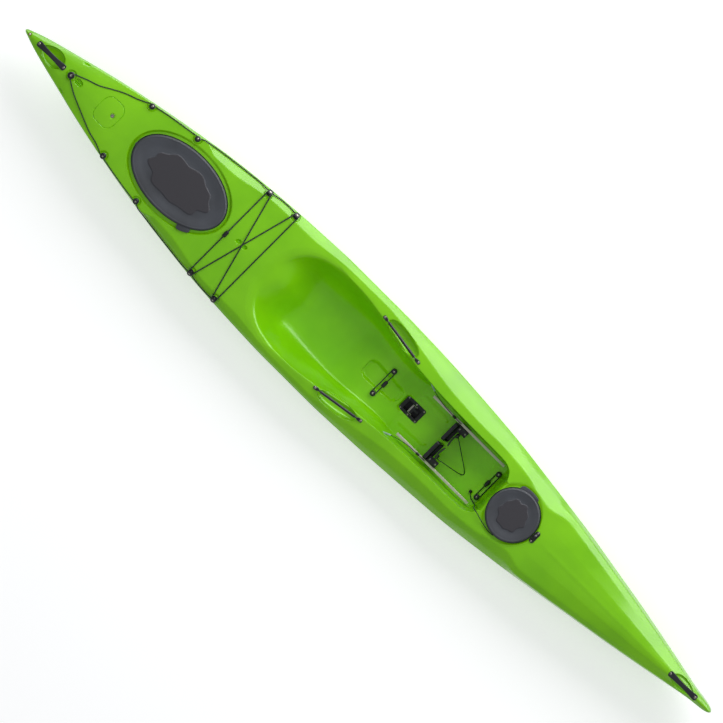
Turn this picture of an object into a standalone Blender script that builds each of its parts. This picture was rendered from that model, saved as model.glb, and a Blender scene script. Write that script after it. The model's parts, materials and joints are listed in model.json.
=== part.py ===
"""A rotomoulded sit-on-top surfski, built piece by piece.

Frame: +X towards the bow, +Y to port, +Z up, with the origin amidships on the ground line. Places
along the boat are hundredths of its length from the stern, so that fittings follow a longer hull.
Heights and breadths of the hull's lines are shares of its height and of half its beam, as in a
boatbuilder's table of offsets. All other sizes are in metres.
"""

import math

import bmesh
import bpy
import numpy as np
from mathutils import Matrix, Vector
from mathutils.bvhtree import BVHTree

# Hull
LENGTH = 4.35
BEAM = 0.59
HULL_HEIGHT = 0.33
HULL_WALL = 0.005
KEEL_FLAT = 0.085
SEAT_GAP = 0.0003
RUN_GAP = 0.0005

# Half breadth of the gunwale, the widest line, as a share of half the beam
BREADTH = (
    (0, 0.022), (2.07, 0.130), (6.2, 0.292), (10.34, 0.443), (14.48, 0.573), (18.61, 0.687),
    (24.82, 0.827), (31.02, 0.924), (37.23, 0.979), (41.37, 1.0), (47.57, 1.0), (53.77, 0.973),
    (59.98, 0.919), (66.18, 0.849), (72.39, 0.735), (78.59, 0.606), (82.73, 0.503),
    (86.87, 0.400), (91.0, 0.286), (95.14, 0.163), (97.21, 0.1025), (99.28, 0.060), (100, 0.022),
)
# Heights of the hull's lines, as shares of the hull's height
KEEL = (
    (0, 0.70), (2.07, 0.575), (6.2, 0.44), (11.9, 0.318), (16.5, 0.212), (22.75, 0.106),
    (31.0, 0.024), (36.2, 0), (72.4, 0), (80.66, 0.018), (88.9, 0.09), (95.1, 0.227),
    (98.2, 0.394), (100, 0.606),
)
GUNWALE = (
    (0, 0.818), (6.2, 0.758), (14.5, 0.735), (20.4, 0.72), (25.85, 0.69), (31.0, 0.73),
    (36.2, 0.703), (41.4, 0.682), (46.5, 0.687), (51.7, 0.636), (53.8, 0.616), (57.9, 0.595),
    (62.05, 0.608), (66.2, 0.66), (70.3, 0.677), (73.2, 0.672), (75.8, 0.65), (78.6, 0.61),
    (84.8, 0.63), (91.0, 0.697), (95.1, 0.758), (100, 0.848),
)
EDGE = (
    (0, 0.864), (6.2, 0.848), (14.5, 0.824), (20.4, 0.818), (25.85, 0.826), (31, 0.820),
    (36.2, 0.803), (42.4, 0.764), (50.7, 0.773), (57.5, 0.794), (66.2, 0.833), (68.8, 0.870), (73.4, 0.876),
    (75.8, 0.861), (84.8, 0.885), (90, 0.915), (94.3, 0.933), (100, 0.924),
)
CROWN = (
    (0, 0.90), (6.2, 0.909), (12.4, 0.888), (16.5, 0.870), (29, 0.864), (34.6, 0.848),
    (62, 0.848), (67.2, 0.879), (68.8, 0.888), (73.6, 0.888), (75.8, 0.909), (82.7, 0.964),
    (88.9, 1.0), (95.1, 0.991), (100, 0.945),
)
# Depth of the cockpit floor below the deck's crown, as a share of the hull's height
WELL = (
    (0, 0), (34.95, 0), (36.4, 0.055), (37.95, 0.197), (39.1, 0.394), (40.3, 0.591),
    (41.8, 0.661), (44.5, 0.682), (47.8, 0.661), (49.2, 0.545), (50.3, 0.479), (51.7, 0.464),
    (53.4, 0.485), (54.4, 0.591), (55, 0.636), (57.9, 0.636), (64.6, 0.630), (66.2, 0.600),
    (66.7, 0.575), (67.6, 0.560), (67.85, 0.43), (68.15, 0.09), (68.4, 0), (100, 0),
)
# Half breadth of the deck edge, as a share of the gunwale's
EDGE_BREADTH = (
    (0, 0.9), (6.2, 0.94), (14.5, 0.975), (21.6, 0.96), (23.2, 0.83), (25.85, 0.80),
    (28.5, 0.84), (31, 0.87), (36.2, 0.84), (38.5, 0.865), (41.4, 0.895), (46.5, 0.90),
    (51.7, 0.82), (53.8, 0.78), (57.6, 0.715), (61, 0.705), (67.2, 0.748), (69.6, 0.73),
    (71.4, 0.66), (73.1, 0.636), (75.8, 0.78), (79.6, 0.77), (84.8, 0.76), (90, 0.69), (94.3, 0.56), (97.2, 0.6), (100, 0.7),
)
# Half breadths of the cockpit's rim and of the foot of its wall, as shares of the deck edge's
RIM_BREADTH = (
    (0, 0.75), (34.9, 0.78), (38, 0.885), (39.1, 0.887), (40.3, 0.913), (41.4, 0.904),
    (44.2, 0.885), (47.2, 0.823), (49.6, 0.777), (51.7, 0.755), (53.3, 0.75), (57.9, 0.785),
    (62.7, 0.805), (66.7, 0.80), (68.2, 0.76), (72, 0.75), (100, 0.75),
)
FOOT_BREADTH = (
    (0, 0.42), (34.9, 0.44), (38, 0.46), (40.3, 0.46), (41.8, 0.485), (44.5, 0.528),
    (47.6, 0.542), (51.7, 0.517), (54.2, 0.56), (56.6, 0.66), (64.6, 0.67), (67, 0.66), (68.2, 0.5),
    (72, 0.42), (100, 0.42),
)
# Breadth and height of the side panel's middle, as shares of the way from deck edge to gunwale
PANEL_BREADTH = ((0, 0.6), (73.2, 0.6), (76.5, 0.74), (100, 0.74))
PANEL_DROP = ((0, 0.5), (73.2, 0.5), (76.5, 0.24), (100, 0.24))
STATIONS = (
    0, 0.6, 2.1, 4.1, 6.2, 8.8, 11.4, 14, 16.5, 19.6, 21.6, 23.2, 26.4, 30, 33.6, 34.95, 36.4, 37.95,
    39.1, 40.3, 41.8, 44.5, 47.8, 49.2, 50.3, 51.7, 53.4, 54.4, 55, 57.9, 61, 64.6, 66.2, 66.7,
    67.6, 67.85, 68.15, 68.4, 69.8, 72.4, 74.5, 75.8, 78.6, 81.7, 84.8, 87.9, 91, 93.6, 95.7, 97.2,
    98.6, 99.4, 100,
)
CAVITY_AFT = 4.0
CAVITY_FORE = 97.3

# Hatches
STERN_HATCH_AT = 22.4
STERN_COVER_LENGTH = 0.518
STERN_COVER_WIDTH = 0.309
STERN_COVER_SQUARENESS = 2.3
STERN_RECESS_MARGIN_X = 0.021
STERN_RECESS_MARGIN_Y = 0.027
STERN_RECESS_DEPTH = 0.018
BOW_HATCH_AT = 71.13
BOW_COVER_WIDTH = 0.246
BOW_RECESS_MARGIN = 0.008
BOW_RECESS_DEPTH = 0.010
COVER_THICKNESS = 0.004
COVER_CROWN = 0.006
COAMING_HEIGHT = 0.018
COAMING_WALL = 0.005
FLANGE_THICKNESS = 0.0025
FLANGE_LEDGE = 0.004

# Carrying handles at the two ends
STERN_HANDLE_AT = 3.80
BOW_HANDLE_AT = 96.03
END_HANDLE_LENGTH = 0.171
END_HANDLE_WIDTH = 0.029
END_HANDLE_WAIST = 0.017
END_HANDLE_THICKNESS = 0.005
END_HANDLE_RISE = 0.008
END_SCREW_PITCH = 0.153
STERN_SCOOP_LENGTH = 0.124
STERN_SCOOP_WIDTH = 0.088
STERN_SCOOP_DEPTH = 0.022
BOW_SCOOP_LENGTH = 0.130
BOW_SCOOP_WIDTH = 0.056
BOW_SCOOP_DEPTH = 0.018
SCREW_HEAD = 0.0055
SCREW_HEAD_HEIGHT = 0.003
SCREW_SHANK = 0.0025
SCREW_LENGTH = 0.018
TIP_BORE_AT = 0.65
TIP_BUSH_RADIUS = 0.007
TIP_BUSH_BORE = 0.0045

# Side handles
SIDE_HANDLE_AFT = 47.32
SIDE_HANDLE_FORE = 53.07
SIDE_HANDLE_AFT_BREADTH = 0.2239
SIDE_HANDLE_FORE_BREADTH = 0.1850
STRAP_TAB_WIDTH = 0.016
STRAP_TAB_LENGTH = 0.020
STRAP_THICKNESS = 0.004
STRAP_CORE = 0.0035
STRAP_RISE = 0.010
GRIP_LENGTH = 0.190
GRIP_RADIUS = 0.0068
SIDE_SCOOP_LENGTH = 0.205
SIDE_SCOOP_WIDTH = 0.066
SIDE_SCOOP_DEPTH = 0.026

# Deck fittings, lines and bungees
FITTING_RADIUS = 0.0135
FITTING_NECK = 0.0065
FITTING_BASE = 0.003
FITTING_GROOVE = 0.0130
FITTING_CAP = 0.005
STERN_FITTING_RADIUS = 0.0165
LINE_DIAMETER = 0.005
BUNGEE_DIAMETER = 0.006
THIN_BUNGEE_DIAMETER = 0.005
CORD_CLEARANCE = 0.0008
FITTING_INSET = 0.0125
PANEL_FITTING_INSET = 0.0205
PANEL_LINE_INSET = 0.009
CREASE_CLEARANCE = 0.0013
STERN_FITTING_AT = 6.67
# Name, place, and whether the fitting stands on the sloping side panel
FITTINGS = (
    ("aft", 14.88, False),
    ("hatch", 20.60, False),
    ("bungee_aft", 29.80, True),
    ("bungee_fore", 33.45, True),
)
STERN_TOGGLE_BREADTH = -0.016
STERN_TOGGLE_TRAVEL = 0.010
TOGGLE_LENGTH = 0.034
TOGGLE_RADIUS = 0.0095
TOGGLE_GAP = 0.0006

# Bottle recess and its bungee
BOTTLE_AT = 51.85
BOTTLE_LENGTH = 0.215
BOTTLE_WIDTH = 0.088
BOTTLE_DEPTH = 0.022
BOTTLE_BUNGEE_AT = 51.96
BOTTLE_FITTING_BREADTH = 0.0690
FOOTWELL_BUNGEE_AT = 67.15
FOOTWELL_FITTING_BREADTH = 0.0715

# Self bailer
BAILER_AT = 56.05
BAILER_LENGTH = 0.109
BAILER_WIDTH = 0.076
BAILER_PLATE = 0.004
BAILER_HOLE_LENGTH = 0.074
BAILER_HOLE_WIDTH = 0.046
BAILER_SLEEVE = 0.003
BAILER_POCKET_MARGIN = 0.004
FLAP_THICKNESS = 0.004
FLAP_GAP = 0.001
FLAP_LIFT = 0.003
FLAP_PIN_RADIUS = 0.002
LEVER_WIRE = 0.0016
LEVER_SPAN = 0.042
LEVER_REACH = 0.022

# Foot rails and pedals
RAIL_AFT = 56.65
RAIL_FORE = 66.95
RAIL_BREADTH = 0.1180
RAIL_WIDTH = 0.012
RAIL_DEPTH = 0.020
RAIL_HEIGHT = 0.150
RAIL_FOOT_LENGTH = 0.016
CARRIAGE_AT = 61.5
CARRIAGE_LENGTH = 0.040
CARRIAGE_WALL = 0.005
CARRIAGE_REACH = 0.034
PLATE_RAIL_GAP = 0.001
PLATE_HEIGHT = 0.112
PLATE_THICKNESS = 0.018
PLATE_LEAN = 0.020
PLATE_BOTTOM = 0.088
PLATE_RIM = 0.005
PLATE_INNER_EDGE = 0.0080
PIN_RADIUS = 0.004
PIN_LENGTH = 0.030
PIN_GAP = 0.0008
TOE_WIDTH = 0.068
TOE_THICKNESS = 0.008
TOE_HEIGHT = 0.105
TOE_BARREL = 0.0085
ELASTIC_DIAMETER = 0.004
RUDDER_LINE_DIAMETER = 0.003
RUDDER_TUBE_RADIUS = 0.004
RUDDER_TUBE_BORE = 0.0025
LINE_KNOT_RADIUS = 0.0065

# Rudder and its flush cover
RUDDER_AT = 11.95
POCKET_AT = 12.12
POCKET_LENGTH = 0.102
POCKET_WIDTH = 0.122
POCKET_FLOOR = 0.232
POCKET_LEDGE = 0.005
RUDDER_COVER_THICKNESS = 0.004
COVER_BOLT_AT = 12.65
COVER_BOLT_HEAD = 0.009
STOCK_RADIUS = 0.006
BUSH_WALL = 0.003
BLADE_LENGTH = 0.094
BLADE_CHORD = 0.096
BLADE_THICKNESS = 0.010
BLADE_TIP_CHORD = 0.070
BLADE_HULL_GAP = 0.004
BLADE_BALANCE = 0.30
TILLER_SPAN = 0.084
TILLER_THICKNESS = 0.006
TILLER_WIDTH = 0.016
TILLER_HUB = 0.014

# Bow pad eye
PAD_EYE_GAP = 0.0046
PAD_EYE_WIDTH = 0.062
PAD_EYE_LENGTH = 0.024
PAD_EYE_THICKNESS = 0.004
PAD_EYE_LOOP = 0.018
PAD_EYE_HEIGHT = 0.015
PAD_EYE_BAR = 0.004
LEASH_DIAMETER = 0.004
LEASH_GAP = 0.003
LEASH_KNOB_RADIUS = 0.008

CORD_SIDES = 2
ROUND_STEPS = 12

DECK_GREEN = "78C41C"
HATCH_RUBBER = "404246"
FITTING_BLACK = "1B1C1E"
CORD_BLACK = "15211B"
RAIL_ALUMINIUM = "C9C5B8"
SCREW_STEEL = "B9B5A8"
BLADE_BLACK = "232426"
TUBE_WHITE = "BFD9D2"
BRASS = "B08D4A"


def linear(value):
    """One sRGB channel, 0 to 1, as the linear value that Blender wants."""
    return value / 12.92 if value <= 0.04045 else ((value + 0.055) / 1.055) ** 2.4


def finish(name, colour, roughness, metallic=0.0):
    """The material of this name: a Principled shader with one colour."""
    material = bpy.data.materials.get(name)
    if material:
        return material
    material = bpy.data.materials.new(name)
    material.use_nodes = True
    shader = material.node_tree.nodes["Principled BSDF"]
    rgb = [linear(int(colour[i : i + 2], 16) / 255) for i in (0, 2, 4)]
    shader.inputs["Base Color"].default_value = (*rgb, 1)
    shader.inputs["Roughness"].default_value = roughness
    shader.inputs["Metallic"].default_value = metallic
    return material


def hull_plastic():
    return finish("green_polyethylene", DECK_GREEN, 0.28)


def hatch_rubber():
    return finish("hatch_rubber", HATCH_RUBBER, 0.62)


def black_plastic():
    return finish("black_nylon", FITTING_BLACK, 0.42)


def handle_rubber():
    return finish("handle_rubber", FITTING_BLACK, 0.55)


def cord_black():
    return finish("black_cord", CORD_BLACK, 0.8)


def aluminium():
    return finish("anodised_aluminium", RAIL_ALUMINIUM, 0.35, 0.9)


def steel():
    return finish("stainless_steel", SCREW_STEEL, 0.25, 1.0)


def blade_plastic():
    return finish("blade_nylon", BLADE_BLACK, 0.4)


def tube_plastic():
    return finish("clear_tube", TUBE_WHITE, 0.35)


def brass():
    return finish("brass", BRASS, 0.3, 1.0)


def along(place):
    """X of a place given in hundredths of the length from the stern."""
    return (place / 100 - 0.5) * LENGTH


def read(table, place):
    """A hull line's value at a place: a smooth curve through its points with no overshoot."""
    x, y = np.array(table, float).T
    slope = np.diff(y) / np.diff(x)
    tangent = np.zeros(len(x))
    same_way = slope[:-1] * slope[1:] > 0
    sums = np.where(same_way, slope[:-1] + slope[1:], 1)
    tangent[1:-1] = np.where(same_way, 2 * slope[:-1] * slope[1:] / sums, 0)
    tangent[0] = slope[0]
    tangent[-1] = slope[-1]
    i = int(np.clip(np.searchsorted(x, place) - 1, 0, len(slope) - 1))
    step = x[i + 1] - x[i]
    t = (place - x[i]) / step
    return (
        y[i] * (1 + 2 * t) * (1 - t) ** 2
        + step * tangent[i] * t * (1 - t) ** 2
        + y[i + 1] * t**2 * (3 - 2 * t)
        + step * tangent[i + 1] * t**2 * (t - 1)
    )


def deck_line(place, y):
    """Height of the deck, without the cockpit, at a place and a breadth."""
    edge = HULL_HEIGHT * read(EDGE, place)
    crown = HULL_HEIGHT * read(CROWN, place)
    half = edge_breadth(place)
    return edge + (crown - edge) * (1 - (y / half) ** 2)


def gunwale_breadth(place):
    return BEAM / 2 * read(BREADTH, place)


def edge_breadth(place):
    return gunwale_breadth(place) * read(EDGE_BREADTH, place)


def half_section(place):
    """(y, z) of the port half of a cross-section, from the keel round to the deck's middle."""
    gunwale = gunwale_breadth(place)
    keel = HULL_HEIGHT * read(KEEL, place)
    rise = HULL_HEIGHT * read(GUNWALE, place) - keel
    edge = edge_breadth(place)
    panel = edge + read(PANEL_BREADTH, place) * (gunwale - edge)
    edge_height = deck_line(place, edge)
    panel_height = edge_height + read(PANEL_DROP, place) * (keel + rise - edge_height)
    depth = HULL_HEIGHT * read(WELL, place)
    rim = edge * read(RIM_BREADTH, place)
    foot = edge * read(FOOT_BREADTH, place)
    wall = foot + 0.6 * (rim - foot)
    return [
        (0, keel),
        (min(KEEL_FLAT, 0.3 * gunwale), keel),
        (0.62 * gunwale, keel + 0.13 * rise),
        (0.86 * gunwale, keel + 0.42 * rise),
        (0.97 * gunwale, keel + 0.75 * rise),
        (gunwale, keel + rise),
        (panel, panel_height),
        (edge, edge_height),
        (rim, deck_line(place, rim)),
        (wall, deck_line(place, wall) - 0.55 * depth),
        (foot, deck_line(place, foot) - 0.97 * depth),
        (foot / 2, deck_line(place, foot / 2) - depth),
        (0, deck_line(place, 0) - depth),
    ]


def hull_grid():
    """Points of the hull's outer surface, one ring to a station."""
    rings = []
    for place in STATIONS:
        port = half_section(place)
        starboard = [(-y, z) for y, z in port[-2:0:-1]]
        rings.append([(along(place), y, z) for y, z in port + starboard])
    return np.array(rings)


def inset_grid(grid, distance):
    """The grid moved inwards along its own normals."""
    run = np.gradient(grid, axis=0)
    around = np.roll(grid, -1, axis=1) - np.roll(grid, 1, axis=1)
    normal = np.cross(around, run)
    normal /= np.linalg.norm(normal, axis=2, keepdims=True)
    return grid - distance * normal


def grid_mesh(name, grid):
    """A closed mesh over a grid of rings, in triangles that mirror from port to starboard."""
    stations, count = grid.shape[:2]
    faces = []
    for i in range(stations - 1):
        for j in range(count):
            a, b = i * count + j, i * count + (j + 1) % count
            c, d = a + count, b + count
            if j < count // 2:
                faces += [(a, d, b), (a, c, d)]
            else:
                faces += [(a, c, b), (b, c, d)]
    faces.append(tuple(range(count)))
    faces.append(tuple((stations - 1) * count + j for j in range(count)))
    mesh = bpy.data.meshes.new(name)
    mesh.from_pydata(grid.reshape(-1, 3).tolist(), [], faces)
    return outward(mesh)


def outward(mesh):
    """The mesh with its faces turned outwards."""
    work = bmesh.new()
    work.from_mesh(mesh)
    bmesh.ops.recalc_face_normals(work, faces=work.faces)
    work.to_mesh(mesh)
    work.free()
    return mesh


def add(name, mesh, material=None, matrix=None, smooth_angle=35):
    """A new object in the scene, shaded smooth apart from its sharp edges."""
    item = bpy.data.objects.new(name, mesh)
    bpy.context.scene.collection.objects.link(item)
    if matrix is not None:
        item.matrix_world = matrix
    if material is not None:
        mesh.materials.clear()
        mesh.materials.append(material)
        mesh.shade_smooth()
        mesh.set_sharp_from_angle(angle=math.radians(smooth_angle))
    return item


def guide(name, mesh, matrix=None):
    """A helper that cuts or fills and isn't part of the boat."""
    item = add(name, mesh, matrix=matrix)
    item.hide_render = True
    item.display_type = "WIRE"
    return item


def combine(item, other, operation="DIFFERENCE"):
    boolean = item.modifiers.new(other.name, "BOOLEAN")
    boolean.operation = operation
    boolean.solver = "EXACT"
    boolean.object = other


def move(x, y, z):
    return Matrix.Translation((x, y, z))


def loft(name, rings):
    """A closed mesh through rings of equal count, with flat ends."""
    count = len(rings[0])
    points = [tuple(p) for ring in rings for p in ring]
    faces = [
        (i * count + j, i * count + (j + 1) % count,
         (i + 1) * count + (j + 1) % count, (i + 1) * count + j)
        for i in range(len(rings) - 1)
        for j in range(count)
    ]
    faces.append(tuple(range(count)))
    faces.append(tuple((len(rings) - 1) * count + j for j in range(count)))
    mesh = bpy.data.meshes.new(name)
    mesh.from_pydata(points, [], faces)
    return outward(mesh)


def band(name, rings):
    """A closed ring-shaped mesh: the rings also join last to first."""
    count = len(rings[0])
    points = [tuple(p) for ring in rings for p in ring]
    faces = [
        (i * count + j, i * count + (j + 1) % count,
         (i + 1) % len(rings) * count + (j + 1) % count, (i + 1) % len(rings) * count + j)
        for i in range(len(rings))
        for j in range(count)
    ]
    mesh = bpy.data.meshes.new(name)
    mesh.from_pydata(points, [], faces)
    return outward(mesh)


def oval(half_x, half_y, z, power=2.0, count=ROUND_STEPS, turn=0.0):
    """Points of a level superellipse, a circle or an ellipse at power 2."""
    points = []
    for k in range(count):
        angle = 2 * math.pi * k / count + turn
        c, s = math.cos(angle), math.sin(angle)
        x = math.copysign(abs(c) ** (2 / power), c) * half_x
        y = math.copysign(abs(s) ** (2 / power), s) * half_y
        points.append((x, y, z))
    return points


def rounded(half_x, half_y, corner, z, steps=3):
    """Points of a level rectangle with round corners."""
    points = []
    for k, (sx, sy) in enumerate(((1, 1), (-1, 1), (-1, -1), (1, -1))):
        for step in range(steps + 1):
            angle = math.pi / 2 * (k + step / steps)
            x = sx * (half_x - corner) + corner * math.cos(angle)
            y = sy * (half_y - corner) + corner * math.sin(angle)
            points.append((x, y, z))
    return points


def turned(name, profile, count=ROUND_STEPS):
    """A solid turned about Z from (radius, height) pairs, bottom to top."""
    return loft(name, [oval(r, r, z, count=count) for r, z in profile])


def block(name, x, y, z):
    """A box from ranges along the three axes."""
    corners = [(x[0], y[0]), (x[1], y[0]), (x[1], y[1]), (x[0], y[1])]
    return loft(name, [[(a, b, height) for a, b in corners] for height in z])


def ball(name, half_x, half_y, half_z, across=16, down=8):
    """An ellipsoid."""
    rings = []
    for k in range(1, down):
        angle = math.pi * k / down - math.pi / 2
        c = math.cos(angle)
        rings.append(oval(half_x * c, half_y * c, half_z * math.sin(angle), count=across))
    return loft(name, rings)


def cord(name, points, diameter, material, closed=False):
    """A round cord through its points."""
    curve = bpy.data.curves.new(name, "CURVE")
    curve.dimensions = "3D"
    curve.bevel_depth = diameter / 2
    curve.bevel_resolution = CORD_SIDES
    curve.use_fill_caps = True
    spline = curve.splines.new("POLY")
    spline.points.add(len(points) - 1)
    for target, point in zip(spline.points, points):
        target.co = (*point, 1)
    spline.use_cyclic_u = closed
    item = bpy.data.objects.new(name, curve)
    bpy.context.scene.collection.objects.link(item)
    curve.materials.append(material)
    return item


def mirrored(points):
    return [(x, -y, z) for x, y, z in points]


class Surface:
    """The hull's outer skin, on which fittings are seated."""

    def __init__(self, mesh):
        points = [v.co.copy() for v in mesh.vertices]
        faces = [tuple(p.vertices) for p in mesh.polygons]
        self.tree = BVHTree.FromPolygons(points, faces)

    def under(self, x, y, start=1.0):
        """(height, normal) of the skin seen from above."""
        hit, normal, _, _ = self.tree.ray_cast((x, abs(y), start), (0, 0, -1))
        return hit.z, Vector((normal.x, normal.y * np.sign(y), normal.z))

    def seat(self, x, y, radius):
        """Matrix of a round piece that stands on the skin, its Z along the skin's normal."""
        height, normal = self.under(x, y)
        up = normal if normal.z > 0 else -normal
        foot = Vector((x, y, height))
        lift = SEAT_GAP
        for step in range(ROUND_STEPS):
            angle = 2 * math.pi * step / ROUND_STEPS
            dx, dy = radius * math.cos(angle), radius * math.sin(angle)
            rim = Vector((x + dx, y + dy, self.under(x + dx, y + dy)[0]))
            lift = max(lift, (rim - foot).dot(up) + SEAT_GAP)
        fore = (Vector((1, 0, 0)) - up * up.x).normalized()
        matrix = Matrix((fore, up.cross(fore), up)).transposed().to_4x4()
        matrix.translation = Vector((x, y, height)) + up * lift
        return matrix

    def side(self, x, y, z):
        """Y where a ray from inside the cockpit meets the port wall."""
        hit, _, _, _ = self.tree.ray_cast((x, y, z), (0, 1, 0))
        return hit.y

    def over(self, x, y, clearance):
        return (x, y, self.under(x, y)[0] + clearance)

    def off(self, x, y, clearance):
        """The point that lies this far from the skin along its normal."""
        height, normal = self.under(x, y)
        return tuple(Vector((x, y, height)) + normal * clearance)


def hatch_outline(half_x, half_y, power, grow, z, count):
    return oval(half_x + grow, half_y + grow, z, power, count)


class Hatch:
    """A rim ring in a level deck recess and the rubber cover that presses over it."""

    def __init__(self, name, place, length, width, power, margins, depth, count):
        self.name = name
        self.x = along(place)
        self.half_x = length / 2
        self.half_y = width / 2
        self.power = power
        self.margins = margins
        self.floor = HULL_HEIGHT * read(CROWN, place) - depth
        self.count = count
        self.skirt = COVER_THICKNESS + SEAT_GAP
        self.hole = -(self.skirt + COAMING_WALL + COVER_THICKNESS + HULL_WALL)

    def ring(self, grow, z):
        return hatch_outline(self.half_x, self.half_y, self.power, grow, z, self.count)

    def place(self):
        return move(self.x, 0, self.floor)

    def guides(self):
        """The solid bed below the recess, the recess itself and the hole through it."""
        recess_x, recess_y = self.half_x + self.margins[0], self.half_y + self.margins[1]
        outline = (
            lambda grow, z: oval(recess_x + grow, recess_y + grow, z, self.power, self.count)
        )
        bed = loft(f"{self.name}_bed", [outline(HULL_WALL, -HULL_WALL), outline(HULL_WALL, 0.1)])
        pan = loft(f"{self.name}_recess", [outline(0, 0), outline(0.002, 0.1)])
        hole = loft(f"{self.name}_hole", [self.ring(self.hole, -0.05), self.ring(self.hole, 0.05)])
        return [guide(mesh.name, mesh, self.place()) for mesh in (bed, pan, hole)]

    def rim(self):
        inner = self.hole + SEAT_GAP
        outer = FLANGE_LEDGE
        coaming = -self.skirt
        base = SEAT_GAP
        flange = SEAT_GAP + FLANGE_THICKNESS
        profile = (
            (inner, base), (outer, base), (outer, flange), (coaming, flange),
            (coaming, COAMING_HEIGHT), (coaming - COAMING_WALL, COAMING_HEIGHT),
            (coaming - COAMING_WALL, flange), (inner, flange),
        )
        mesh = band(f"{self.name}_rim", [self.ring(grow, z) for grow, z in profile])
        return add(mesh.name, mesh, black_plastic(), self.place())

    def cover(self):
        under = COAMING_HEIGHT + SEAT_GAP
        top = under + COVER_THICKNESS
        lip = 2 * SEAT_GAP + FLANGE_THICKNESS
        core = -min(self.half_x, self.half_y)
        inner = -COVER_THICKNESS
        rings = [
            self.ring(0.9 * core, under), self.ring(inner, under), self.ring(inner, lip),
            self.ring(0, lip), self.ring(0, under), self.ring(-COVER_THICKNESS, top),
            self.ring(-0.030, top + 0.4 * COVER_CROWN), self.ring(0.5 * core, top + COVER_CROWN),
            self.ring(0.9 * core, top + COVER_CROWN),
        ]
        mesh = loft(f"{self.name}_cover", rings)
        return add(mesh.name, mesh, hatch_rubber(), self.place())


def stern_hatch():
    return Hatch(
        "stern_hatch", STERN_HATCH_AT, STERN_COVER_LENGTH, STERN_COVER_WIDTH,
        STERN_COVER_SQUARENESS, (STERN_RECESS_MARGIN_X, STERN_RECESS_MARGIN_Y),
        STERN_RECESS_DEPTH, 32,
    )


def bow_hatch():
    return Hatch(
        "bow_hatch", BOW_HATCH_AT, BOW_COVER_WIDTH, BOW_COVER_WIDTH, 2.0,
        (BOW_RECESS_MARGIN, BOW_RECESS_MARGIN), BOW_RECESS_DEPTH, 24,
    )


def screw_mesh(name="screw"):
    """A pan-head screw, its origin under the head."""
    profile = (
        (SCREW_SHANK * 0.5, -SCREW_LENGTH), (SCREW_SHANK, -SCREW_LENGTH + SCREW_SHANK),
        (SCREW_SHANK, 0), (SCREW_HEAD, 0), (SCREW_HEAD, 0.4 * SCREW_HEAD_HEIGHT),
        (SCREW_HEAD * 0.6, SCREW_HEAD_HEIGHT),
    )
    return turned(name, profile, 10)


def end_handle(skin, prefix, place, scoop_size, hull, cavity):
    """A waisted handle, its two screws, and the scoop for the fingers below it."""
    x = along(place)
    half = END_HANDLE_LENGTH / 2
    ends = [x - half, x + half]
    heights = [skin.under(end, 0)[0] for end in ends]
    top = max(heights)
    slope = math.atan2(heights[1] - heights[0], END_HANDLE_LENGTH)
    middle = (heights[0] + heights[1]) / 2
    crest = max(
        skin.under(x + share * half, 0)[0] - middle - share * half * math.tan(slope)
        for share in (-0.9, -0.6, 0.6, 0.9)
    )
    matrix = move(x, 0, middle + max(crest, 0) + SEAT_GAP) @ Matrix.Rotation(-slope, 4, "Y")
    rings = []
    for share in (-1, -0.97, -0.8, -0.6, -0.3, 0, 0.3, 0.6, 0.8, 0.97, 1):
        waist = max(0.0, 1 - (abs(share) / 0.8) ** 2)
        tip = 0.72 if abs(share) == 1 else 1.0
        width = (END_HANDLE_WIDTH + (END_HANDLE_WAIST - END_HANDLE_WIDTH) * waist) * tip / 2
        rise = END_HANDLE_RISE * max(0.0, 1 - (abs(share) / 0.78) ** 2)
        low, high = rise, rise + END_HANDLE_THICKNESS
        inner = width - 0.2 * END_HANDLE_THICKNESS
        rings.append([
            (share * half, -width, low), (share * half, width, low),
            (share * half, inner, high), (share * half, -inner, high),
        ])
    handle = add(f"{prefix}_handle", loft(f"{prefix}_handle", rings), handle_rubber(), matrix)
    length, width, depth = scoop_size
    for name, target, grow in (("scoop", hull, 0), ("scoop_bed", cavity, HULL_WALL)):
        shape = ball(f"{prefix}_{name}", length / 2 + grow, width / 2 + grow, depth + grow)
        combine(target, guide(shape.name, shape, move(x, 0, top)))
    for side, where in (("aft", -1), ("fore", 1)):
        spot = matrix @ move(where * END_SCREW_PITCH / 2, 0, END_HANDLE_THICKNESS + SEAT_GAP)
        add(f"{prefix}_handle_{side}_screw", screw_mesh(), steel(), spot)
        bore = SCREW_SHANK + RUN_GAP
        reach = SCREW_LENGTH + 0.001
        pilot = guide(
            f"{prefix}_{side}_pilot", turned("pilot", ((bore, -reach), (bore, 0.01)), 10), spot
        )
        boss = guide(
            f"{prefix}_{side}_boss",
            turned("boss", ((3 * bore, -reach - HULL_WALL), (3 * bore, 0.01)), 10),
            spot,
        )
        combine(cavity, boss)
        combine(hull, pilot)
        combine(handle, pilot)


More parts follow.
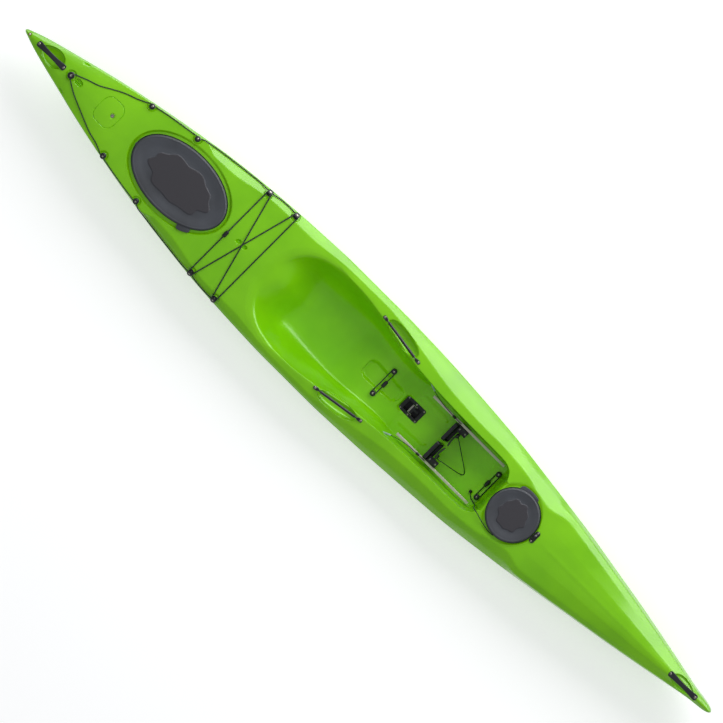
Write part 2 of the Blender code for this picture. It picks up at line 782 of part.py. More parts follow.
def side_handle(skin, prefix, sign, hull, cavity):
    """A screwed strap with a loose grip tube round its core, over a lens-shaped scoop."""
    ends = []
    for place, breadth in (
        (SIDE_HANDLE_AFT, SIDE_HANDLE_AFT_BREADTH),
        (SIDE_HANDLE_FORE, SIDE_HANDLE_FORE_BREADTH),
    ):
        height, _ = skin.under(along(place), breadth)
        ends.append(Vector((along(place), sign * breadth, height)))
    length = (ends[1] - ends[0]).length
    fore = (ends[1] - ends[0]).normalized()
    across = Vector((0, 0, 1)).cross(fore).normalized()
    up = fore.cross(across)
    matrix = Matrix((fore, across, up)).transposed().to_4x4()
    matrix.translation = (ends[0] + ends[1]) / 2 + up * 0.0015
    half = length / 2 + STRAP_TAB_WIDTH / 2
    tab = STRAP_TAB_LENGTH
    tab_half, thin = STRAP_TAB_WIDTH / 2, STRAP_THICKNESS / 2
    ramp = half - tab - 0.012
    stations = (
        (-half, 0.6 * tab_half, thin, thin), (-half + 0.004, tab_half, thin, thin),
        (-half + tab, tab_half, thin, thin), (-ramp, STRAP_CORE, STRAP_CORE, STRAP_RISE),
        (ramp, STRAP_CORE, STRAP_CORE, STRAP_RISE), (half - tab, tab_half, thin, thin),
        (half - 0.004, tab_half, thin, thin), (half, 0.6 * tab_half, thin, thin),
    )
    rings = []
    for x, wide, high, z in stations:
        power = 2.0 if wide == STRAP_CORE else 4.0
        rings.append([(x, a, z + b) for a, b, _ in oval(wide, high, 0, power, 8, math.pi / 8)])
    strap = loft(f"{prefix}_handle_strap", rings)
    add(strap.name, strap, handle_rubber(), matrix)
    bore = (STRAP_CORE + RUN_GAP) / math.cos(math.pi / ROUND_STEPS)
    grip = []
    reach = GRIP_LENGTH / 2
    for radius, x in (
        (bore, -reach), (GRIP_RADIUS - 0.001, -reach), (GRIP_RADIUS, -reach + 0.002),
        (GRIP_RADIUS, reach - 0.002), (GRIP_RADIUS - 0.001, reach), (bore, reach),
    ):
        grip.append([(x, a, b) for a, b, _ in oval(radius, radius, 0)])
    axis = matrix @ move(0, 0, STRAP_RISE)
    add(f"{prefix}_handle_grip", band(f"{prefix}_handle_grip", grip), black_plastic(), axis)
    for name, target, grow in (("scoop", hull, 0), ("scoop_bed", cavity, HULL_WALL)):
        shape = ball(
            f"{prefix}_{name}", SIDE_SCOOP_LENGTH / 2 + grow, SIDE_SCOOP_WIDTH / 2 + grow,
            SIDE_SCOOP_DEPTH + grow,
        )
        combine(target, guide(shape.name, shape, matrix))


def fitting_mesh(radius=FITTING_RADIUS):
    """A mushroom-shaped deck fitting with a groove for cords."""
    groove = FITTING_BASE + FITTING_GROOVE
    profile = (
        (radius, 0), (radius, 0.6 * FITTING_BASE), (FITTING_NECK, FITTING_BASE),
        (FITTING_NECK, groove), (radius, groove + 0.2 * FITTING_CAP),
        (0.8 * radius, groove + 0.75 * FITTING_CAP), (0.35 * radius, groove + FITTING_CAP),
    )
    return turned("fitting", profile, 14)


def fitting_spot(place, on_panel):
    """(x, y) of a port fitting, on the deck or on the side panel."""
    if on_panel:
        return along(place), gunwale_breadth(place) - PANEL_FITTING_INSET
    return along(place), edge_breadth(place) - FITTING_INSET


def deck_fittings(skin):
    """Matrices of the deck fittings by name, with the fittings added."""
    spots = {}
    for name, place, on_panel in FITTINGS:
        x, y = fitting_spot(place, on_panel)
        for side, sign in (("port", 1), ("starboard", -1)):
            seat = skin.seat(x, sign * y, FITTING_RADIUS)
            spots[side, name] = seat
            add(f"{side}_{name}_fitting", fitting_mesh(), black_plastic(), seat)
    seat = skin.seat(along(STERN_FITTING_AT), 0, STERN_FITTING_RADIUS)
    spots["stern"] = seat
    add("stern_fitting", fitting_mesh(STERN_FITTING_RADIUS), black_plastic(), seat)
    return spots


def round_neck(seat, angles, diameter, height):
    """Points of a cord that lies round a fitting's neck, at angles from forward in degrees."""
    radius = FITTING_NECK + diameter / 2 + CORD_CLEARANCE
    points = []
    for angle in angles:
        turn = math.radians(angle)
        points.append(
            tuple(seat @ Vector((radius * math.cos(turn), radius * math.sin(turn), height)))
        )
    return points


def low_groove(diameter):
    return FITTING_BASE + diameter / 2 + CORD_CLEARANCE


def deck_line_points(skin, spots):
    """The port deck line, from the stern fitting along the deck edge to the last fitting."""
    radius = LINE_DIAMETER / 2
    clearance = radius + CORD_CLEARANCE
    low = low_groove(LINE_DIAMETER)
    points = round_neck(spots["stern"], (170, 135, 100), LINE_DIAMETER, low)
    for place, share in ((8.2, 0.36), (9.5, 0.48), (10.8, 0.67), (12.0, 0.80), (13.3, 0.87)):
        points.append(skin.over(along(place), share * edge_breadth(place), clearance))
    deck_places = {"aft": (16.4, 18.2, 19.6)}
    panel_places = {
        "hatch": (21.3, 21.65, 22.1, 22.6, 23.2, 25.0, 26.6, 28.4),
        "bungee_aft": (31.0, 32.3),
    }
    proud = clearance + CREASE_CLEARANCE
    for name, _, _ in FITTINGS:
        points += round_neck(spots["port", name], (125, 90, 55), LINE_DIAMETER, low)
        for place in deck_places.get(name, ()):
            y = edge_breadth(place) - FITTING_INSET + FITTING_NECK + radius
            points.append(skin.over(along(place), y, clearance))
        for place in panel_places.get(name, ()):
            y = gunwale_breadth(place) - PANEL_LINE_INSET
            points.append(skin.off(along(place), y, proud))
    points += round_neck(spots["port", "bungee_fore"], (20, -15, -50), LINE_DIAMETER, low)
    return points


def stern_bungee_points(skin, spots):
    """One closed loop: two transverse strands and two that cross on the centreline."""
    radius = BUNGEE_DIAMETER / 2
    clearance = radius + CORD_CLEARANCE
    high = low_groove(LINE_DIAMETER) + (LINE_DIAMETER + BUNGEE_DIAMETER) / 2 + CORD_CLEARANCE

    def neck(side, name, angles):
        return round_neck(spots[side, name], angles, BUNGEE_DIAMETER, high)

    def strand(start, end, shares, lift):
        a, b = Vector(start), Vector(end)
        found = []
        for share, extra in zip(shares, lift):
            p = a.lerp(b, share)
            found.append(skin.over(p.x, p.y, clearance + extra))
        return found

    def under_toggle(x):
        """The two points between which the strand runs straight through its bead."""
        half = TOGGLE_LENGTH / 2 + STERN_TOGGLE_TRAVEL + CORD_CLEARANCE
        places = [skin.over(x, STERN_TOGGLE_BREADTH + dy, 0) for dy in (half, -half)]
        height = max(z for _, _, z in places) + TOGGLE_RADIUS + SEAT_GAP
        return [(px, py, height) for px, py, _ in places]

    crossed = BUNGEE_DIAMETER + CORD_CLEARANCE
    brow = 0.004
    flat = (brow, 0, 0, 0, 0, 0, brow)
    over = (brow, 0, crossed * 0.5, crossed, crossed * 0.5, 0, brow)
    shares = (0.055, 0.18, 0.36, 0.5, 0.64, 0.82, 0.945)
    aft_port = neck("port", "bungee_aft", (20, 60, 100, 140, 180))
    aft_starboard = neck("starboard", "bungee_aft", (180, 220, 260, 300, 340))
    fore_port = neck("port", "bungee_fore", (160, 120, 80, 40, 0))
    fore_starboard = neck("starboard", "bungee_fore", (0, -40, -80, -120, -160))
    points = list(aft_port)
    points += strand(aft_port[-1], aft_starboard[0], (0.055, 0.18, 0.34), (brow, 0, 0))
    bead = under_toggle(aft_port[-1][0])
    points += bead
    points += strand(aft_port[-1], aft_starboard[0], (0.68, 0.84, 0.945), (0, 0, brow))
    points += aft_starboard
    points += strand(aft_starboard[-1], fore_port[0], shares, flat)
    points += fore_port
    points += strand(fore_port[-1], fore_starboard[0], shares, flat)
    points += fore_starboard
    points += strand(fore_starboard[-1], aft_port[0], shares, over)
    return points, (Vector(bead[0]) + Vector(bead[1])) / 2


def toggle(name, matrix, cord_diameter=THIN_BUNGEE_DIAMETER):
    """A barrel-shaped bead on a cord, its bore along its own X."""
    half = TOGGLE_LENGTH / 2
    bore = (cord_diameter / 2 + TOGGLE_GAP) / math.cos(math.pi / ROUND_STEPS)
    rings = []
    for radius, x in (
        (bore, -half), (0.7 * TOGGLE_RADIUS, -half), (TOGGLE_RADIUS, -0.5 * half),
        (TOGGLE_RADIUS, 0.5 * half), (0.7 * TOGGLE_RADIUS, half), (bore, half),
    ):
        rings.append([(x, a, b) for a, b, _ in oval(radius, radius, 0)])
    return add(name, band(name, rings), black_plastic(), matrix)


def loop_bungee(skin, prefix, place, breadth, hull, bead_y):
    """Two fittings across the boat with a bungee loop round both and a bead on one strand."""
    x = along(place)
    height = max(skin.under(x + dx, breadth + dy)[0]
                 for dx in (-FITTING_RADIUS, FITTING_RADIUS) for dy in (-0.012, 0.012))
    depth = height - min(skin.under(x + dx, breadth + dy)[0]
                         for dx in (-FITTING_RADIUS, FITTING_RADIUS) for dy in (-0.012, 0.012))
    base = height - min(depth, 0.5 * HULL_WALL)
    for side, sign in (("port", 1), ("starboard", -1)):
        seat = move(x, sign * breadth, base + SEAT_GAP)
        add(f"{prefix}_{side}_fitting", fitting_mesh(), black_plastic(), seat)
        spot = turned("spot_face", ((FITTING_RADIUS + 0.001, -SEAT_GAP), (FITTING_RADIUS + 0.001, 0.04)))
        combine(hull, guide(f"{prefix}_{side}_spot_face", spot, seat))
    radius = FITTING_NECK + (THIN_BUNGEE_DIAMETER + CORD_CLEARANCE) / 2
    z = base + SEAT_GAP + FITTING_BASE + FITTING_GROOVE / 2
    points = []
    for sign, start in ((1, 0), (-1, 180)):
        for k in range(6):
            angle = math.radians(start + 36 * k)
            points.append((x + radius * math.cos(angle), sign * breadth + radius * math.sin(angle), z))
    cord(f"{prefix}_bungee", points, THIN_BUNGEE_DIAMETER, cord_black(), closed=True)
    turn = Matrix.Rotation(math.pi / 2, 4, "Z")
    toggle(f"{prefix}_bungee_toggle", move(x + bead_y[0] * radius, bead_y[1], z) @ turn)


def bottle_recess(skin, hull, cavity):
    """A bottle holder sunk in the hump between the thighs."""
    x = along(BOTTLE_AT)
    level = skin.under(x, 0)[0]
    half_x, half_y = BOTTLE_LENGTH / 2, BOTTLE_WIDTH / 2
    for name, target, grow in (("bottle_recess", hull, 0), ("bottle_bed", cavity, HULL_WALL)):
        low = -BOTTLE_DEPTH - grow
        shape = loft(name, [
            rounded(half_x - 0.012 + grow, half_y - 0.012 + grow, 0.022, low),
            rounded(half_x + grow, half_y + grow, 0.028, 0.0),
            rounded(half_x + grow, half_y + grow, 0.028, 0.04),
        ])
        combine(target, guide(name, shape, move(x, 0, level)))


class Bailer:
    """A self bailer between the footwell's floor and the bottom: frame, flap and lever."""

    def __init__(self, skin):
        self.x = along(BAILER_AT)
        self.top = skin.under(self.x, 0)[0]
        self.plate_low = self.top - BAILER_PLATE / 2
        self.plate_high = self.plate_low + BAILER_PLATE
        self.hole_x = BAILER_HOLE_LENGTH / 2
        self.hole_y = BAILER_HOLE_WIDTH / 2
        self.hinge_x = self.x + self.hole_x - 0.006
        self.hinge_z = FLAP_LIFT + FLAP_THICKNESS / 2

    def cut_hull(self, hull, cavity):
        x, half_x, half_y = self.x, BAILER_LENGTH / 2, BAILER_WIDTH / 2
        margin = BAILER_POCKET_MARGIN
        bed = block(
            "bailer_bed", (x - half_x - margin, x + half_x + margin),
            (-half_y - margin, half_y + margin), (-0.05, self.top + 0.05),
        )
        combine(cavity, guide("bailer_bed", bed))
        seat = loft("bailer_seat", [
            rounded(half_x + 2 * SEAT_GAP, half_y + 2 * SEAT_GAP, 0.009, z) for z in (0, 0.06)
        ])
        combine(hull, guide("bailer_seat", seat, move(x, 0, self.plate_low - SEAT_GAP)))
        sleeve = BAILER_SLEEVE + SEAT_GAP
        hole = block(
            "bailer_hole", (x - self.hole_x - sleeve, x + self.hole_x + sleeve),
            (-self.hole_y - sleeve, self.hole_y + sleeve), (-0.05, self.top),
        )
        combine(hull, guide("bailer_hole", hole))

    def frame(self):
        half_x, half_y = BAILER_LENGTH / 2, BAILER_WIDTH / 2
        plate = loft("bailer_frame", [
            rounded(half_x, half_y, 0.008, self.plate_low),
            rounded(half_x, half_y, 0.008, self.plate_high),
        ])
        item = add("bailer_frame", plate, black_plastic(), move(self.x, 0, 0))
        outer_x, outer_y = self.hole_x + BAILER_SLEEVE, self.hole_y + BAILER_SLEEVE
        sleeve = block(
            "bailer_sleeve", (-outer_x, outer_x), (-outer_y, outer_y),
            (0.002, self.plate_low + 0.001),
        )
        combine(item, guide("bailer_sleeve", sleeve, move(self.x, 0, 0)), "UNION")
        throat = block(
            "bailer_throat", (-self.hole_x, self.hole_x), (-self.hole_y, self.hole_y), (-0.1, 0.2)
        )
        combine(item, guide("bailer_throat", throat, move(self.x, 0, 0)))
        self.pin_bores(item)

    def pin_bores(self, item):
        """Holes in the sleeve for the flap's pin and in the plate for the lever's ends."""
        reach = self.hole_y + 2 * BAILER_SLEEVE
        bore = FLAP_PIN_RADIUS + RUN_GAP
        turn = Matrix.Rotation(math.pi / 2, 4, "X")
        pin = turned("flap_pin_bore", ((bore, -reach), (bore, reach)), 10)
        combine(item, guide(pin.name, pin, move(self.hinge_x, 0, self.hinge_z) @ turn))

    def flap(self):
        """The flap closes the bottom of the throat and turns on pins at its forward edge."""
        gap = FLAP_GAP
        low, high = self.hinge_z - FLAP_THICKNESS / 2, self.hinge_z + FLAP_THICKNESS / 2
        back = self.x - self.hole_x + gap - self.hinge_x
        lip = self.hole_x - (self.hinge_x - self.x) - gap
        half_y = self.hole_y - gap
        leaf = block(
            "bailer_flap", (back, lip - FLAP_THICKNESS / 2), (-half_y, half_y),
            (low - self.hinge_z, high - self.hinge_z),
        )
        item = add("bailer_flap", leaf, black_plastic(), move(self.hinge_x, 0, self.hinge_z))
        reach = self.hole_y + BAILER_SLEEVE - SEAT_GAP
        turn = Matrix.Rotation(math.pi / 2, 4, "X")
        pin = turned("flap_pin", ((FLAP_PIN_RADIUS, -reach), (FLAP_PIN_RADIUS, reach)), 10)
        combine(
            item, guide("flap_pin", pin, move(self.hinge_x, 0, self.hinge_z) @ turn), "UNION"
        )

    def lever(self):
        """A wire bail that lies on the plate and turns about its two feet."""
        z = self.plate_high + LEVER_WIRE + SEAT_GAP
        aft, fore = self.x - LEVER_REACH / 2, self.x + LEVER_REACH / 2
        half = LEVER_SPAN / 2
        bend = 0.004
        points = [
            (fore, half + bend, z), (fore, half, z), (aft + bend, half, z),
            (aft, half - bend, z), (aft, -half + bend, z), (aft + bend, -half, z),
            (fore, -half, z), (fore, -half - bend, z),
        ]
        cord("bailer_lever", points, 2 * LEVER_WIRE, steel())


def mirror_y(mesh):
    """The mesh mirrored from port to starboard."""
    work = bmesh.new()
    work.from_mesh(mesh)
    for vertex in work.verts:
        vertex.co.y = -vertex.co.y
    bmesh.ops.reverse_faces(work, faces=work.faces)
    work.to_mesh(mesh)
    work.free()
    return mesh


def both_sides(name, make, material, x=0.0, y=0.0, z=0.0):
    """A port piece and its mirror image, each with its origin at the same place."""
    items = []
    for side, sign in (("port", 1), ("starboard", -1)):
        mesh = make(f"{side}_{name}")
        if sign < 0:
            mirror_y(mesh)
        items.append(add(f"{side}_{name}", mesh, material, move(x, sign * y, z)))
    return items


def foot_rails(skin):
    """Rails along the footwell's walls, each end bent out to the wall."""
    aft, fore = along(RAIL_AFT), along(RAIL_FORE)
    half_y, half_z = RAIL_WIDTH / 2, RAIL_DEPTH / 2
    wall = min(
        skin.side(x, 0.0, RAIL_HEIGHT + dz)
        for x in (aft, aft + RAIL_FOOT_LENGTH, fore - RAIL_FOOT_LENGTH, fore)
        for dz in (-half_z, half_z)
    )
    reach = wall - RAIL_BREADTH - 2 * SEAT_GAP

    def make(name):
        outline = [
            (aft, -half_y), (fore, -half_y), (fore, reach), (fore - RAIL_FOOT_LENGTH, reach),
            (fore - 1.3 * RAIL_FOOT_LENGTH, half_y), (aft + 1.3 * RAIL_FOOT_LENGTH, half_y),
            (aft + RAIL_FOOT_LENGTH, reach), (aft, reach),
        ]
        return loft(name, [[(x, y, z) for x, y in outline] for z in (-half_z, half_z)])

    both_sides("foot_rail", make, aluminium(), 0, RAIL_BREADTH, RAIL_HEIGHT)


class Pedals:
    """Carriages that slide on the rails, each with a footplate and a hinged toe pedal."""

    def __init__(self):
        self.x = along(CARRIAGE_AT)
        self.half = CARRIAGE_LENGTH / 2
        self.outer = RAIL_BREADTH + RAIL_WIDTH / 2 + RUN_GAP + CARRIAGE_WALL
        self.inner = RAIL_BREADTH - RAIL_WIDTH / 2 - CARRIAGE_REACH
        self.low = RAIL_HEIGHT - RAIL_DEPTH / 2 - RUN_GAP - CARRIAGE_WALL
        self.high = RAIL_HEIGHT + RAIL_DEPTH / 2 + RUN_GAP + CARRIAGE_WALL
        self.pin_x = self.x - self.half + TOE_BARREL + 0.003
        self.pin_z = self.low + TOE_BARREL - 0.002
        self.plate_x = self.x - self.half - SEAT_GAP
        self.plate_outer = RAIL_BREADTH - RAIL_WIDTH / 2 - PLATE_RAIL_GAP

    def lean(self, z):
        """How far aft of its foot the footplate's forward face lies at a height."""
        return -PLATE_LEAN * (z - PLATE_BOTTOM) / PLATE_HEIGHT

    def carriage_mesh(self, name):
        """A block whose aft face leans as the footplate does."""
        rings = []
        for z in (self.low, self.high):
            back = self.lean(z) - self.half
            rings.append([
                (back, self.inner, z), (self.half, self.inner, z),
                (self.half, self.outer, z), (back, self.outer, z),
            ])
        return loft(name, rings)

    def carriages(self):
        carriages = both_sides("pedal_carriage", self.carriage_mesh, black_plastic(), self.x)
        half_y, half_z = RAIL_WIDTH / 2 + RUN_GAP, RAIL_DEPTH / 2 + RUN_GAP
        slot = block("rail_slot", (-1, 1), (-half_y, half_y), (-half_z, half_z))
        turn = Matrix.Rotation(math.pi / 2, 4, "X")
        for item, sign in zip(carriages, (1, -1)):
            centre = move(self.x, sign * RAIL_BREADTH, RAIL_HEIGHT)
            combine(item, guide(f"{item.name}_slot", slot.copy(), centre))
            pin = turned("pin", ((PIN_RADIUS, -PIN_LENGTH / 2), (PIN_RADIUS, PIN_LENGTH / 2)))
            y = sign * (self.inner - PIN_LENGTH / 2 + 0.006)
            spot = move(self.pin_x, y, self.pin_z) @ turn
            combine(item, guide(f"{item.name}_pin", pin, spot), "UNION")

    def plate_mesh(self, name):
        """A plate that leans aft at the top, hollowed on its forward side."""
        low, high = 0.0, PLATE_HEIGHT
        inner, outer = PLATE_INNER_EDGE, self.plate_outer

        def ring(z, inset, depth):
            shift = self.lean(PLATE_BOTTOM + z)
            back, front = shift - PLATE_THICKNESS, shift - depth
            return [
                (back, inner + inset, z), (front, inner + inset, z),
                (front, outer - inset, z), (back, outer - inset, z),
            ]

        corner = 0.010
        return loft(name, [
            ring(low, corner, 0), ring(corner, 0, 0), ring(high - corner, 0, 0),
            ring(high, corner, 0),
        ])

    def plates(self):
        material = black_plastic()
        plates = both_sides("footplate", self.plate_mesh, material, self.plate_x, 0, PLATE_BOTTOM)
        inner, outer = PLATE_INNER_EDGE + PLATE_RIM, self.plate_outer - PLATE_RIM
        clear = self.inner - 0.002
        low, high = PLATE_RIM, PLATE_HEIGHT - PLATE_RIM
        for item, sign in zip(plates, (1, -1)):
            def ring(z):
                back = self.lean(PLATE_BOTTOM + z) - PLATE_THICKNESS + PLATE_RIM
                return [
                    (back, inner, z), (0.01, inner, z), (0.01, min(outer, clear), z),
                    (back, min(outer, clear), z),
                ]
            hollow = loft(f"{item.name}_hollow", [ring(low), ring(high)])
            if sign < 0:
                mirror_y(hollow)
            combine(item, guide(hollow.name, hollow, move(self.plate_x, 0, PLATE_BOTTOM)))

    def toe_mesh(self, name):
        """A thin upright blade, curved in plan, that rises from its barrel."""
        half = TOE_THICKNESS / 2
        outer = self.inner - 0.002
        inner = outer - TOE_WIDTH
        count = 5
        rings = []
        for k in range(count):
            share = k / (count - 1)
            y = outer + (inner - outer) * share
            bow = 0.006 * (1 - (2 * share - 1) ** 2)
            top = TOE_HEIGHT * (1 - 0.12 * share)
            foot = 0.0 if y > outer - PIN_LENGTH + 0.010 else 0.018
            rings.append([
                (-half - bow, y, foot), (half - bow, y, foot),
                (half - bow, y, top), (-half - bow, y, top),
            ])
        return loft(name, rings)

    def toe_pedals(self):
        pedals = both_sides(
            "toe_pedal", self.toe_mesh, black_plastic(), self.pin_x, 0, self.pin_z
        )
        turn = Matrix.Rotation(math.pi / 2, 4, "X")
        outer = self.inner - 0.002
        length = PIN_LENGTH - 0.010
        bore = (PIN_RADIUS + PIN_GAP) / math.cos(math.pi / ROUND_STEPS)
        for item, sign in zip(pedals, (1, -1)):
            spot = move(self.pin_x, sign * (outer - length / 2), self.pin_z) @ turn
            half = length / 2
            barrel = turned(f"{item.name}_barrel", ((TOE_BARREL, -half), (TOE_BARREL, half)))
            combine(item, guide(barrel.name, barrel, spot), "UNION")
            hole = turned(f"{item.name}_bore", ((bore, -0.04), (bore, 0.04)))
            combine(item, guide(hole.name, hole, spot))

    def elastic(self, skin):
        """The cord that pulls both toe pedals forward from a moulded eye in the floor."""
        x = self.pin_x + TOE_THICKNESS / 2
        eye_x = along(64.5)
        radius = ELASTIC_DIAMETER / 2
        clear = radius + CORD_CLEARANCE
        outer = self.inner - 0.010
        z = self.pin_z + 0.6 * TOE_HEIGHT
        points = [
            (x + clear, outer, z),
            (x + 0.3 * (eye_x - x), 0.72 * outer, 0.80 * z),
            (x + 0.7 * (eye_x - x), 0.02, 0.62 * z),
            skin.over(eye_x - 0.01, -0.035, clear),
            skin.over(eye_x, -0.042, clear),
            skin.over(eye_x, -0.052, clear),
            skin.over(eye_x - 0.01, -0.058, clear),
            (x + 0.5 * (eye_x - x), -0.066, 0.72 * z),
            (x + clear, -outer, z),
        ]
        cord("pedal_elastic", points, ELASTIC_DIAMETER, cord_black())


def rudder_tube_points(rudder):
    """The port line's way from the rudder pocket along the hull's side to the cockpit wall."""
    pocket = rudder.x_pocket + POCKET_LENGTH / 2
    half = TILLER_SPAN / 2
    z = rudder.line_z
    return [
        (pocket - 0.004, half, z),
        (pocket + 0.02, half + 0.006, z - 0.002),
        (along(15.2), 0.095, 0.228),
        (along(17.4), 0.140, 0.222),
        (along(21.0), 0.182, 0.215),
        (along(26.0), 0.214, 0.205),
        (along(33.0), 0.240, 0.190),
        (along(40.0), 0.256, 0.186),
        (along(46.0), 0.256, 0.188),
        (along(50.0), 0.232, 0.192),
        (along(53.0), 0.196, 0.196),
        (along(54.8), 0.170, 0.196),
        (along(55.7), 0.152, 0.195),
        (along(56.35), 0.1405, 0.192),
    ]


def rudder_line_points(pedals, rudder):
    """The port line: from the tiller through its tube and over the rail to the carriage."""
    tube = rudder_tube_points(rudder)
    tiller = (rudder.x + TILLER_WIDTH / 2 + 0.001, TILLER_SPAN / 2, rudder.line_z)
    end_z = RAIL_HEIGHT + RAIL_DEPTH / 2 + RUDDER_LINE_DIAMETER / 2 + CORD_CLEARANCE
    x = pedals.x - pedals.half + pedals.lean(end_z + RUDDER_LINE_DIAMETER) - SEAT_GAP
    end_y = RAIL_BREADTH
    return [tiller] + tube + [
        (along(57.3), 0.129, end_z + 0.016),
        (along(58.4), 0.121, end_z + 0.001),
        (x - 0.045, end_y, RAIL_HEIGHT + RAIL_DEPTH / 2 + LINE_KNOT_RADIUS),
        (x, end_y, end_z),
    ]


def rudder_lines(pedals, rudder, hull, cavity):
    """Both lines, their tubes, and the holes in the hull that the tubes pass."""
    tube = rudder_tube_points(rudder)
    line = rudder_line_points(pedals, rudder)
    for side, turn in (("port", list), ("starboard", mirrored)):
        name = f"{side}_rudder_tube"
        outer = cord(name, turn(tube), 2 * RUDDER_TUBE_RADIUS, tube_plastic())
        outer.data.bevel_resolution = 1
        mesh = bpy.data.meshes.new_from_object(outer)
        bpy.data.objects.remove(outer)
        item = add(name, mesh, tube_plastic())
        first, last = Vector(tube[0]), Vector(tube[-1])
        start = first + (first - Vector(tube[1])).normalized() * 0.01
        stop = last + (last - Vector(tube[-2])).normalized() * 0.01
        run = [tuple(start)] + tube + [tuple(stop)]
        bore = cord(f"{name}_bore", turn(run), 2 * RUDDER_TUBE_BORE, tube_plastic())
        bore.data.bevel_resolution = 1
        bore_mesh = bpy.data.meshes.new_from_object(bore)
        bpy.data.objects.remove(bore)
        combine(item, guide(f"{name}_bore", bore_mesh))
        passage = cord(
            f"{name}_passage", turn(run), 2 * (RUDDER_TUBE_RADIUS + 2 * SEAT_GAP), tube_plastic()
        )
        passage_mesh = bpy.data.meshes.new_from_object(passage)
        bpy.data.objects.remove(passage)
        combine(hull, guide(f"{name}_passage", passage_mesh))
        rope = cord(f"{side}_rudder_line", turn(line), RUDDER_LINE_DIAMETER, cord_black())
        rope.data.bevel_resolution = 1
        knot_at = Vector(turn([line[-2]])[0])
        rope_mesh = bpy.data.meshes.new_from_object(rope)
        bpy.data.objects.remove(rope)
        rope = add(f"{side}_rudder_line", rope_mesh, cord_black())
        radius = LINE_KNOT_RADIUS
        knot = ball(f"{side}_line_knot", 1.4 * radius, radius, 0.8 * radius, 10, 6)
        combine(rope, guide(knot.name, knot, Matrix.Translation(knot_at)), "UNION")


